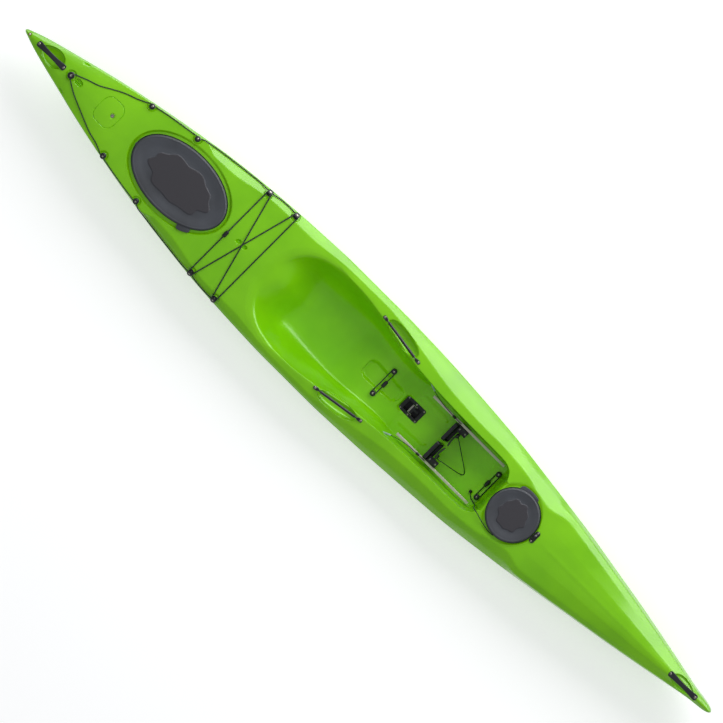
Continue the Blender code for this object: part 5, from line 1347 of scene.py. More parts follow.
    def recesses(self) -> list[Recess]:
        """Every hollow and pad of the deck, in the order in which they are carved.

        Returns:
            The recesses.
        """
        found = [
            Recess(0.9110, 0, 0.136, 0.152, BOW_FLOOR, edge=0.020, kind=Hollow.DISH),
            Recess(BOW_HATCH_X, 0, 0.131, 0.131, BOW_FLOOR, edge=0.004, kind=Hollow.LEVEL),
            Recess(-2.0050, 0, 0.0640, 0.0435, 0.027, edge=0.005, egg=0.22, kind=Hollow.BOWL),
            Recess(2.0020, 0, 0.0650, 0.0300, 0.023, edge=0.005, egg=-0.30, kind=Hollow.BOWL),
            Recess(0.0805, 0, 0.1075, 0.042, 0.016, 4.5, 0.005, egg=-0.15),
            Recess(0.263, 0, 0.0605, 0.044, 0.0685, 6.0, 0.006, kind=Hollow.LEVEL),
            Recess(-1.838, 0, 0.022, 0.0150, 0.009, 2.6, 0.004),
            Recess(-0.8240, 0.001, 0.0150, 0.0110, 0.014, turn=0.5, kind=Hollow.BOWL),
            Recess(-0.7880, -0.001, 0.0150, 0.0110, 0.014, turn=0.5, kind=Hollow.BOWL),
            Recess(self.tip_hole[0], 0, 0.0095, 0.0095, 0.0022, edge=0.0015),
        ]
        for side in Side:
            sign = side.value
            found += [
                Recess(0.0099, sign * 0.2120, 0.1035, 0.0345, 0.038, 2.2, 0.005,
                       turn=sign * -0.154, kind=Hollow.BOWL),
                Recess(-1.869, sign * 0.0845, 0.020, 0.0060, 0.007, turn=sign * 0.30,
                       kind=Hollow.BOWL),
                Recess(0.335, sign * 0.075, 0.085, 0.014, -0.003, 3.0, 0.010,
                       turn=sign * -0.03),
            ]
        return found

    def spot(self, place: float, on_panel: bool) -> tuple[float, float]:
        """X and Y of a port fitting, on the deck or on the side panel.

        Args:
            place: Its place along the boat.
            on_panel: Whether it stands on the side panel.

        Returns:
            X and Y in metres.
        """
        x = float(self.along(place))
        if on_panel:
            return x, float(self.gunwale_breadth(place)) - self.panel_inset
        return x, float(self.deck_breadth(place)) - self.fitting_inset

    def moats(self) -> list[tuple[float, float, float]]:
        """X, Y and radius of each port fitting that stands in a scalloped seat."""
        found = [(*self.spot(place, panel), 0.0135) for _, place, panel in self.fitting_spots]
        return found + [(float(self.along(self.stern_fitting_at)), 0.0, 0.0165)]

    def carve(self, points: Array) -> Array:
        """Carve the recesses into the deck's points.

        Args:
            points: Array ending in x, y and z.

        Returns:
            The carved points.
        """
        x, y, z = (points[..., k] for k in range(3))
        z = z - self.bucket.depth(x, y) * (1 - self.bucket.given_way(self.place_at(x)))
        spot_x, spot_y = self.spot(self.fitting_spots[1][1], False)
        pad = smooth_step((0.030 - np.hypot(x - spot_x, np.abs(y) - spot_y)) / 0.006)
        hatch = Recess(STERN_HATCH_X, 0, 0.280, 0.1815, STERN_FLOOR, OVAL_POWER, 0.009,
                       kind=Hollow.LEVEL)
        z = z + (hatch.carved(x, y, z) - z) * (1 - pad)
        for recess in self.recesses():
            z = recess.carved(x, y, z)
        ridges = Recess(-1.838, 0, 0.019, 0.0125, 0, 2.4, 0.004)
        share = smooth_step(ridges.inside(x, y)[0] / 0.004)
        z = z + share * self.grip_depth * (0.5 + 0.5 * np.cos(2 * np.pi * y / self.grip_pitch))
        x_mid, half_x, half_y = self.rudder_cover
        groove = Recess(x_mid, 0, half_x + self.groove_width, half_y + self.groove_width, 0,
                        COVER_POWER)
        z = z - self.groove_depth * smooth_step(groove.inside(x, y)[0] / 0.0022)
        for spot_x, spot_y, radius in self.moats():
            r = np.hypot(x - spot_x, np.abs(y) - spot_y)
            outer = smooth_step((radius + self.cove_width - r) / 0.003)
            inner = smooth_step((r - radius + 0.0012) / 0.003)
            z = z - self.cove_depth * outer * inner
        ridge = smooth_step((x - 1.07) / 0.10) * smooth_step((1.93 - x) / 0.15)
        z = z + self.bow_ridge * ridge * np.exp(-((y / 0.011) ** 2))
        return np.stack([x, y, z], -1)

    def ring_points(self, place: Array) -> tuple[Array, int]:
        """Points of whole cross-sections, and how many columns are the deck's.

        The deck's columns run from the port gunwale over the middle to the starboard gunwale,
        and the bottom's go on round the keel.

        Args:
            place: Places along the boat.

        Returns:
            Array of places by points by 3, and the count of deck columns.
        """
        x = self.along(place)
        deck = stood(x, self.soften(self.contour(place, 5, self.deck_steps), place))
        bottom = stood(x, self.contour(place, 0, self.bottom_steps))
        deck = self.carve(np.concatenate([deck, mirrored(deck[:, -2::-1])], 1))
        bottom = np.concatenate([mirrored(bottom[:, -2::-1]), bottom[:, 1:-1]], 1)
        rings = np.concatenate([deck, bottom], 1)
        left = np.clip((self.length / 2 - np.abs(rings[..., :1])) / self.tip_round, 0, 1)
        size = np.sqrt(np.clip(1 - (1 - left) ** 2, 0.04, 1))
        middle = rings.mean(1, keepdims=True)
        rings[..., 1:] = middle[..., 1:] + size * (rings[..., 1:] - middle[..., 1:])
        return rings, deck.shape[1]

    def soften(self, half: Array, place: Array) -> Array:
        """Round the creases and the foot of the cockpit's walls.

        Each point moves towards the mean of its two neighbours, a few times at the creases and
        many times from the cockpit's rim inwards, most of all in the seat.

        Args:
            half: Array of places by points by 2, from the gunwale to the middle.
            place: The places.

        Returns:
            The softened points.
        """
        crease = np.array([self.deck_steps[0], sum(self.deck_steps[:2])])
        column = np.arange(half.shape[1])
        near = 0.5 * np.clip(1.2 - np.abs(column[:, None] - crease).min(1) / 2, 0, 1)
        inner = smooth_step((column - crease[1] - 12) / 12)
        turns = 6 + 34 * smooth_step((56 - place) / 3) + 120 * smooth_step((47 - place) / 4)
        for turn in range(160):
            rows = np.flatnonzero((place > 38) & (place < 69) & (turn < turns))
            weight = 0.5 * inner
            if turn < 2:
                rows, weight = np.arange(len(place)), near
            part = half[rows]
            mean = part.copy()
            mean[:, 1:-1] = (part[:, :-2] + part[:, 2:]) / 2
            mean[:, -1, 1] = part[:, -2, 1]
            half[rows] = part + weight[:, None] * (mean - part)
        return half

    def mouth(self, points: Array) -> Array:
        """Which points lie in an opening of the deck, under a rim or in a pocket.

        Args:
            points: Array ending in x, y and z.

        Returns:
            True for each point in an opening.
        """
        x, y = points[..., 0], points[..., 1]
        oval = Recess(STERN_HATCH_X, 0, *self.stern_mouth, 0, OVAL_POWER).inside(x, y)[1] < 1
        disc = np.hypot(x - BOW_HATCH_X, y) < self.bow_mouth
        x_mid, half_x, half_y = self.rudder_cover
        pocket = Recess(x_mid, 0, half_x - 0.005, half_y - 0.005, 0, COVER_POWER)
        throat = (np.abs(x - BAILER_X) < self.throat[0]) & (np.abs(y) < self.throat[1])
        tip = np.hypot(x - self.tip_hole[0], y) < self.tip_hole[1]
        return oval | disc | (pocket.inside(x, y)[1] < 1) | throat | tip

    def build(self) -> None:
        """Make the deck in three lengths, the bottom and the lining inside."""
        place = self.stations()
        rings, deck = self.ring_points(place)
        normal = skin_normals(rings)
        breaks = [0, *np.searchsorted(place, (34.0, 69.5)), len(place) - 1]
        names = ("hull_stern_deck", "hull_cockpit", "hull_bow_deck")
        for name, start, stop in zip(names, breaks[:-1], breaks[1:]):
            part = rings[start : stop + 1, :deck]
            self.add_shell(name, part, normal[start : stop + 1, :deck])
        below = np.r_[deck - 1 : rings.shape[1], 0]
        self.add_shell("hull_bottom", rings[:, below], normal[:, below])
        self.add_ends(rings)
        self.add_lining(place)

    def add_shell(self, name: str, points: Array, normals: Array) -> None:
        """Add one length of the skin, its shading continuous with its neighbours'.

        Args:
            name: The piece's name.
            points: Grid of the length's points.
            normals: The whole skin's normals there.
        """
        rows, columns = points.shape[:2]
        quads = grid_quads(rows, columns, False, False)
        centres = points.reshape(-1, 3)[quads].mean(1)
        upper = centres[:, 2] > 0.05 * self.depth
        open_here = self.mouth(centres) & upper
        if name == "hull_bottom":
            open_here = self.mouth_below(centres)
        quads = quads[~open_here]
        flat = normals.reshape(-1, 3)[quads[len(quads) // 2]]
        corner = points.reshape(-1, 3)[quads[len(quads) // 2]]
        facing = np.cross(corner[1] - corner[0], corner[2] - corner[1])
        if facing @ flat.sum(0) < 0:
            quads = quads[:, ::-1]
        piece = show(name, Surface(points.reshape(-1, 3), quads), HULL_PLASTIC, "hull",
                     sharp_angle=180)
        used = np.unique(quads)
        piece.data.normals_split_custom_set_from_vertices(
            normals.reshape(-1, 3)[used].astype(float).tolist()
        )

    def mouth_below(self, points: Array) -> Array:
        """Which points of the bottom lie in the bailer's throat or the rudder's bush.

        Args:
            points: Array ending in x, y and z.

        Returns:
            True for each point in an opening.
        """
        x, y, z = (points[..., k] for k in range(3))
        half_x, half_y = self.throat_below
        throat = (np.abs(x - BAILER_X) < half_x) & (np.abs(y) < half_y)
        bush = np.hypot(x - RUDDER_X, y) < self.bush_hole
        tip = np.hypot(x - self.tip_hole[0], y) < self.tip_hole[1]
        return throat | (bush & (z < 0.2)) | tip

    def add_ends(self, rings: Array) -> None:
        """Close the blunt stern and bow: each end ring drawn in to its middle.

        Point (i, j) is the middle plus share i of the way out to the ring's point j.

        Args:
            rings: The whole skin's points.
        """
        for name, ring, sign in (("hull_stern_tip", rings[0], -1), ("hull_bow_tip", rings[-1], 1)):
            centre = ring.mean(0)
            share = np.array([1.0, 0.75, 0.5, 0.25])[:, None, None]
            count = len(ring)
            points = np.vstack([(centre + share * (ring - centre)).reshape(-1, 3), centre])
            quads = grid_quads(len(share), count, False, True)
            k = np.arange(count)
            base = (len(share) - 1) * count
            fan = np.stack([base + k, np.full(count, len(share) * count),
                            base + (k + 1) % count], -1)
            a, b, c = (points[quads[:, i]] for i in range(3))
            if sign * np.cross(b - a, c - b)[:, 0].sum() < 0:
                quads, fan = quads[:, ::-1], fan[:, ::-1]
            show(name, Surface(points, quads, fan), HULL_PLASTIC, "hull", sharp_angle=60)

    def add_lining(self, place: Array) -> None:
        """Add the inner wall: every fourth station and third column, moved in by its normal.

        Args:
            place: Places of the skin's cross-sections.
        """
        inner = place[(place > 4) & (place < 97.3)][::4]
        rings, deck = self.ring_points(inner)
        rings = rings[:, ::3]
        normal = skin_normals(rings)
        centre = rings.mean(1, keepdims=True)
        outward = np.sign(((rings - centre) * normal).sum(-1).mean())
        points = (rings - outward * self.wall * normal).reshape(-1, 3)
        quads = grid_quads(*rings.shape[:2], False, True)
        corners = points[quads]
        corners = np.concatenate([corners, corners.mean(1, keepdims=True)], 1)
        upper = corners[..., 2] > 0.05
        crossing = (self.mouth(corners) & upper) | self.mouth_below(corners)
        quads = quads[~crossing.any(1)]
        a, b, c = (points[quads[:, k]] for k in range(3))
        facing = np.cross(b - a, c - b)
        keel = np.abs(facing[:, 2]) * (a[:, 2] < 0.05)
        if (keel * facing[:, 2]).sum() < 0:
            quads = quads[:, ::-1]
        show("hull_lining", Surface(points, quads), HULL_PLASTIC, "hull", sharp_angle=60)


# Small fastenings


@dataclass
class Screw:
    """A pan-head screw with a cross recess, its origin under the head."""

    head: float = 0.0055
    height: float = 0.003
    shank: float = 0.0025
    length: float = 0.018

    def surface(self) -> Surface:
        """Draw the head as rings from its edge to its middle, over a plain shank.

        The dome is height * sqrt(1 - 0.75 (r / R) squared), less a cross whose arms fade out
        towards the head's edge.

        Returns:
            The closed surface.
        """
        angle = circle(40)
        share = np.array([1.0, 0.97, 0.88, 0.74, 0.60, 0.50, 0.40, 0.30, 0.20, 0.12, 0.05])
        r = np.concatenate([[self.shank * 0.4, self.shank, self.shank, self.head],
                            share * self.head])[:, None]
        z = np.concatenate([[-self.length, -self.length + self.shank, 0, 0],
                            self.height * np.sqrt(1 - 0.75 * share**2)])[:, None]
        x, y = r * np.cos(angle), r * np.sin(angle)
        arm = np.minimum(np.abs(x), np.abs(y)) / self.head
        inside = smooth_step((0.16 - arm) / 0.06) * smooth_step((0.62 - r / self.head) / 0.1)
        depth = np.where(np.arange(len(r))[:, None] > 3, 0.45 * self.height * inside, 0)
        return ring_surface(np.stack([x, y, z - depth], -1))

    def add(self, name: str, spot: Array, node: str = "", body: str = "boat") -> None:
        """Put the screw in its place.

        Args:
            name: The piece's name.
            spot: Where the underside of its head goes.
            node: The node that it stands for, if there is one.
            body: The body that it rides on.
        """
        show(name, self.surface().placed(spot), SCREW_STEEL, node, body)


@dataclass
class Fitting:
    """A mushroom-shaped deck fitting: a flange, a neck for cords and a domed cap."""

    radius: float = 0.0135
    neck: float = 0.0065
    base: float = 0.003
    groove: float = 0.013
    cap: float = 0.005

    def surface(self) -> Surface:
        """Turn the fitting's profile, whose flange and cap have rounded edges and whose top
        sinks to a seat for the screw.

        Returns:
            The closed surface.
        """
        r, n, b = self.radius, self.neck, self.base
        under = b + self.groove
        top = under + self.cap
        profile = [
            (0.3 * r, 0), (r - 0.0008, 0), (r, 0.0006), (r, 0.0014), (r - 0.0009, 0.0022),
            (n + 0.0020, b - 0.0002), (n + 0.0007, b + 0.0006), (n, b + 0.0018),
            (n, under - 0.0014), (n + 0.0006, under - 0.0004), (n + 0.0018, under),
            (r - 0.0010, under + 0.0003), (r - 0.0002, under + 0.0009),
            (r, under + 0.0016), (r - 0.0006, under + 0.0025), (0.82 * r, top - 0.0012),
            (0.62 * r, top - 0.0003), (0.50 * r, top), (0.46 * r, top - 0.0002),
            (0.44 * r, top - 0.0016), (0.1 * r, top - 0.0018),
        ]
        return turned_surface(profile, 48)

    def add(self, name: str, seat: Array) -> None:
        """Put the fitting and its screw on a seat.

        Args:
            name: The node that it stands for.
            seat: Where its base goes.
        """
        show(name + "_moulding", self.surface().placed(seat), BLACK_NYLON, name)
        top = self.base + self.groove + self.cap - 0.0016
        Screw(0.34 * self.radius, 0.0022, 0.0020, 0.012).add(name + "_screw",
                                                             seat @ at(0, 0, top))


@dataclass
class Bead:
    """A barrel-shaped bead that slides on a bungee, its bore along Y."""

    length: float = 0.034
    radius: float = 0.0095
    bore: float = 0.0032

    def surface(self) -> Surface:
        """Turn a barrel with two shallow grooves and rounded mouths, then lay it along Y.

        Returns:
            The closed surface.
        """
        half = self.length / 2
        v = np.linspace(-1, 1, 33)
        barrel = self.radius * (1 - 0.26 * np.abs(v) ** 3.2)
        barrel -= 0.0006 * (np.exp(-(((np.abs(v) - 0.38) / 0.09) ** 2)))
        outer = np.stack([barrel, v * half * 0.965], -1)
        end = [(0.62 * self.radius, half), (self.bore + 0.0006, half - 0.0003)]
        inner = [(self.bore, half - 0.001), (self.bore, -half + 0.001)]
        start = [(self.bore + 0.0006, -half + 0.0003), (0.62 * self.radius, -half)]
        ring = turned_surface(np.vstack([outer, end, inner, start]), 40, Ends.JOINED)
        return ring.placed(ALONG_Y)


@dataclass
class Cord:
    """A round braided cord through its points."""

    diameter: float
    sides: int = 14
    spacing: float = 0.004

    def surface(self, points: list[Point] | Array, closed: bool = False) -> Surface:
        """Carry the cord's circle along a smooth curve.

        Args:
            points: The points that its middle passes.
            closed: Whether it returns to its start.

        Returns:
            The closed surface, with UVs that count turns round and diameters along.
        """
        path = smooth_path(points, self.spacing, closed)
        rings = tube_rings(path, self.diameter / 2, self.sides, closed)
        ends = Ends.JOINED if closed else Ends.CAPPED
        return ring_surface(rings, ends, pitch=self.diameter * 2)


# Sub-assemblies


@dataclass
class EndHandle:
    """A waisted rubber handle over a finger scoop, held by a screw at each end."""

    name: str
    x: float
    length: float = 0.171
    width: float = 0.029
    waist: float = 0.0215
    thickness: float = 0.005
    rise: float = 0.008
    pitch: float = 0.153
    rib_waves: int = 13
    rib: float = 0.0005

    def frame(self, hull: Hull) -> Array:
        """Stand the handle on the deck: its slope joins the heights below its two ends.

        Args:
            hull: The hull that it stands on.

        Returns:
            The handle's frame.
        """
        half = self.length / 2
        ends = [hull.height(self.x + sign * half, 0) for sign in (-1, 1)]
        slope = (ends[1] - ends[0]) / self.length
        middle = sum(ends) / 2
        crest = max(
            hull.height(self.x + share * half, 0) - middle - share * half * slope
            for share in (-0.9, -0.6, 0.6, 0.9)
        )
        origin = (self.x, 0, middle + max(crest, 0) + GAP)
        return matrix_from(origin, (1, 0, slope), (0, 0, 1))

    def build(self, hull: Hull) -> None:
        """Make the handle and dress it.

        Its width falls from the pads to the waist and its underside rises off the scoop, both
        with the square of the distance from its middle. Ribs cross the waist.

        Args:
            hull: The hull that it stands on.
        """
        frame = self.frame(hull)
        share = np.linspace(-1, 1, 121)
        waist = np.clip(1 - (np.abs(share) / 0.8) ** 2, 0, 1)
        width = (self.width + (self.waist - self.width) * waist) / 2
        tip = np.sqrt(np.clip(1 - np.clip((np.abs(share) - 0.915) / 0.085, 0, 1) ** 2, 0.02, 1))
        width = width * tip
        rise = self.rise * np.clip(1 - (np.abs(share) / 0.78) ** 2, 0, 1)
        waves = 0.5 + 0.5 * np.cos(share * np.pi * (2 * self.rib_waves))
        rib = self.rib * waves * smooth_step((0.42 - np.abs(share)) / 0.08)
        angle = circle(28)
        section = superellipse(1.0, 1.0, 3.6, angle)
        y = width[:, None] * section[:, 0]
        lift = np.where(section[:, 1] > 0, 1.0, 0.0)
        z = rise[:, None] + self.thickness * (0.5 + 0.5 * section[:, 1]) - rib[:, None] * lift
        x = np.broadcast_to((share * self.length / 2)[:, None], y.shape)
        surface = ring_surface(np.stack([x, y, z], -1)).placed(frame)
        name = f"{self.name}_handle"
        show(f"{name}_moulding", surface, HANDLE_RUBBER, name)
        for end, sign in (("aft", -1), ("fore", 1)):
            spot = frame @ at(sign * self.pitch / 2, 0, self.thickness + GAP)
            Screw().add(f"{name}_{end}_pan_head", spot, f"{name}_{end}_screw")


@dataclass
class SideHandle:
    """A screwed strap with a loose grip tube on it, over a lens-shaped scoop."""

    side: Side
    aft: tuple[float, float] = (47.32, 0.2239)
    fore: tuple[float, float] = (53.07, 0.1850)
    tab_width: float = 0.016
    tab_length: float = 0.020
    thickness: float = 0.004
    core: float = 0.0035
    rise: float = 0.010
    grip_length: float = 0.190
    grip_radius: float = 0.0068
    gap: float = 0.0004
    lift: float = 0.0015
    groove_waves: int = 24
    groove: float = 0.00035

    def frame(self, hull: Hull) -> Array:
        """The frame whose X joins the two ends, a little above the deck.

        Args:
            hull: The hull that it stands on.

        Returns:
            The strap's frame.
        """
        ends = []
        for place, breadth in (self.aft, self.fore):
            x = float(hull.along(place))
            ends.append(np.array([x, self.side.value * breadth, hull.height(x, breadth)]))
        run = ends[1] - ends[0]
        self.half = float(np.linalg.norm(run)) / 2 + self.tab_width / 2
        frame = matrix_from((ends[0] + ends[1]) / 2, run, (0, 0, 1))
        frame[:3, 3] += self.lift * frame[:3, 2]
        return frame

    def build(self, hull: Hull) -> None:
        """Make the strap, its screws and the grip tube.

        Args:
            hull: The hull that it stands on.
        """
        name = f"{self.side.prefix}_side_handle"
        frame = self.frame(hull)
        half, tab = self.half, self.tab_length
        ramp = half - tab - 0.012
        thin = self.thickness / 2
        rows = np.array([
            (-half, 0.45 * self.tab_width / 2, thin, thin),
            (-half + 0.0015, 0.80 * self.tab_width / 2, thin, thin),
            (-half + 0.004, self.tab_width / 2, thin, thin),
            (-half + tab, self.tab_width / 2, thin, thin),
            (-ramp, self.core, self.core, self.rise),
        ])
        rows = np.vstack([rows, rows[::-1] * (-1, 1, 1, 1)])
        x, wide, high, rise = rows.T
        fine = np.concatenate([
            np.linspace(-half, -half + tab, 14), np.linspace(-half + tab, -ramp, 12)[1:],
            np.linspace(-ramp, ramp, 8)[1:-1], np.linspace(ramp, half - tab, 12),
            np.linspace(half - tab, half, 14)[1:],
        ])
        ease = np.interp(fine, x, np.arange(len(x)))
        step = np.floor(ease)
        ease = step + np.where(
            (np.abs(fine) < half - tab) & (np.abs(fine) > ramp), smooth_step(ease - step),
            ease - step,
        )
        wide, high, rise = (np.interp(ease, np.arange(len(x)), v) for v in (wide, high, rise))
        angle = circle(24)
        flat = np.clip((wide - self.core) / (self.tab_width / 2 - self.core), 0, 1)
        c, s = np.cos(angle), np.sin(angle)
        power = (2 / (2 + 2.2 * flat))[:, None]
        y = wide[:, None] * np.sign(c) * np.abs(c) ** power
        z = rise[:, None] + high[:, None] * np.sign(s) * np.abs(s) ** power
        rings = np.stack([np.broadcast_to(fine[:, None], y.shape), y, z], -1)
        show(f"{name}_strap_moulding", ring_surface(rings).placed(frame), HANDLE_RUBBER,
             f"{name}_strap")
        for end, sign in (("aft", -1), ("fore", 1)):
            spot = frame @ at(sign * (half - 0.008), 0, self.thickness)
            Screw(0.0050, 0.0026).add(f"{name}_{end}_screw", spot)
        reach, radius, bore = self.grip_length / 2, self.grip_radius, self.core + self.gap
        v = np.linspace(-1, 1, 97)
        waves = 0.5 - 0.5 * np.cos(v * np.pi * (2 * self.groove_waves))
        groove = self.groove * smooth_step((0.93 - np.abs(v)) / 0.02) * waves
        outer = np.stack([radius - groove, v * (reach - 0.0016)], -1)
        rim = np.array([(radius - 0.0006, reach - 0.0004), (radius - 0.0014, reach),
                        (bore, reach)])
        profile = np.vstack([outer, rim, rim[::-1] * (1, -1)])
        tube = turned_surface(profile, 32, Ends.JOINED).placed(ALONG_X)
        show(f"{name}_grip_tube", tube.placed(frame @ at(0, 0, self.rise)), GRIP_TUBE,
             f"{name}_grip", f"{self.side.prefix}_grip")


@dataclass
class HatchCover:
    """A rubber cover pressed over its coaming: a rolled edge that falls to a dished middle with
    a raised pad."""

    name: str
    x: float
    half_x: float
    half_y: float
    floor: float
    power: float
    pad: tuple[float, float]
    pad_shift: float
    tabs: dict[str, tuple[float, float, float, float, float]]
    lobes: int = 9
    thickness: float = 0.004
    coaming: float = 0.0180
    crown: float = 0.006
    lip: float = 0.0031
    rim_reach: float = 0.0039
    roll: float = 0.0085
    pad_rise: float = 0.0026

    def outlines(self, grow: Array) -> Array:
        """The cover's outline, grown by each of these widths."""
        grow = grow[:, None]
        return superellipse(self.half_x + grow, self.half_y + grow, self.power, circle(300))

    def pad_share(self, x: Array, y: Array) -> Array:
        """How far points lie on the raised pad, 0 to 1.

        The pad's edge is an ellipse whose radius waves by a few hundredths with the cosines of
        two multiples of the angle round it.

        Args:
            x: X from the cover's middle.
            y: Y from the cover's middle.

        Returns:
            1 on the pad and 0 off it, with a narrow edge between.
        """
        u, v = (x - self.pad_shift) / self.pad[0], y / self.pad[1]
        angle = np.arctan2(v, u)
        reach = 1 + 0.050 * np.cos(self.lobes * angle + 0.4)
        reach += 0.040 * np.cos((self.lobes - 3) * angle - 0.8)
        edge = np.hypot(u, v) / reach
        return smooth_step((1 - edge) * min(self.pad) / 0.0028)

    def surface(self) -> Surface:
        """Draw the cover as rings drawn in from its edge.

        From the edge inwards the top rises over a rounded roll, falls along half a cosine to the
        dished middle, and steps up onto the pad.

        Returns:
            The closed surface.
        """
        under, span = self.coaming + GAP, min(self.half_x, self.half_y)
        low = under + self.thickness
        top = low + self.crown
        turn = np.linspace(0, np.pi / 2, 7)
        sides = np.array([
            (-0.9 * span, under), (-0.5 * span, under), (-self.thickness, under),
            (-self.thickness, self.lip), (-0.0008, self.lip), (0, self.lip + 0.0010),
        ])
        round_edge = np.stack([-self.roll * (1 - np.cos(turn)),
                               top - self.roll * (1 - np.sin(turn))], -1)
        inward = np.linspace(0.011, 0.985 * span, 84)
        fall = 0.5 + 0.5 * np.cos(np.pi * np.clip((inward - 0.008) / (0.34 * span), 0, 1))
        dish = np.stack([-inward, low + (self.crown - 0.0014) * fall], -1)
        grow, z = np.vstack([sides, round_edge, dish]).T
        points = self.outlines(grow)
        share = self.pad_share(points[..., 0], points[..., 1])
        on_top = np.arange(len(grow))[:, None] > 5
        share = np.where(on_top, share, 0)
        height = z[:, None] + self.pad_rise * share
        surface = ring_surface(np.concatenate([points, height[..., None]], -1))
        surface.pad = np.append(share.ravel(), (0, 1))
        return surface

    def rim(self) -> Surface:
        """Draw the rim: a profile of a flange with an upright lip, carried round the mouth.

        Returns:
            The closed ring.
        """
        out, lip, back, foot = self.rim_reach, -0.0048, -0.0080, -0.0098
        high, flange = self.coaming - 0.0002, self.lip - 0.0003
        profile = np.array([
            (out, 0.0003), (out, flange - 0.0008), (out - 0.0007, flange), (lip, flange),
            (lip, high - 0.0008), (lip - 0.0008, high), (back + 0.0008, high),
            (back, high - 0.0008), (back, flange + 0.0004), (foot, flange), (foot, 0.0003),
        ])
        return ring_surface(raised(self.outlines(profile[:, 0]), profile[:, 1]), Ends.JOINED)

    def tab(self, x: float, y: float, half_x: float, half_y: float, turn: float) -> Surface:
        """A thin pull tab with a lobed outline and two ribs for the fingers.

        Args:
            x: X of its middle, from the cover's.
            y: Y of its middle.
            half_x: Half its length.
            half_y: Half its width.
            turn: Its turn about Z, in radians.

        Returns:
            The closed surface.
        """
        angle = circle(72)
        outline = superellipse(half_x, half_y, 2.6, angle)
        outline *= (1 + 0.07 * np.cos(3 * angle + 0.6))[:, None]
        c, s = math.cos(turn), math.sin(turn)
        outline = outline @ np.array([[c, s], [-s, c]]) + (x, y)
        high = self.coaming + 0.0030
        return plate_surface(outline, high - 0.0045, high, 0.0016)

    def build(self) -> None:
        """Make the cover with its tabs, and the rim."""
        place, body = at(self.x, 0, self.floor), f"{self.name.split('_')[0]}_cover"
        show(f"{self.name}_cover_moulding", self.surface().placed(place), COVER_RUBBER,
             f"{self.name}_cover", body)
        show(f"{self.name}_rim_moulding", self.rim().placed(place), BLACK_NYLON,
             f"{self.name}_rim")
        for label, sizes in self.tabs.items():
            show(f"{self.name}_{label}", self.tab(*sizes).placed(place), COVER_RUBBER, "", body)


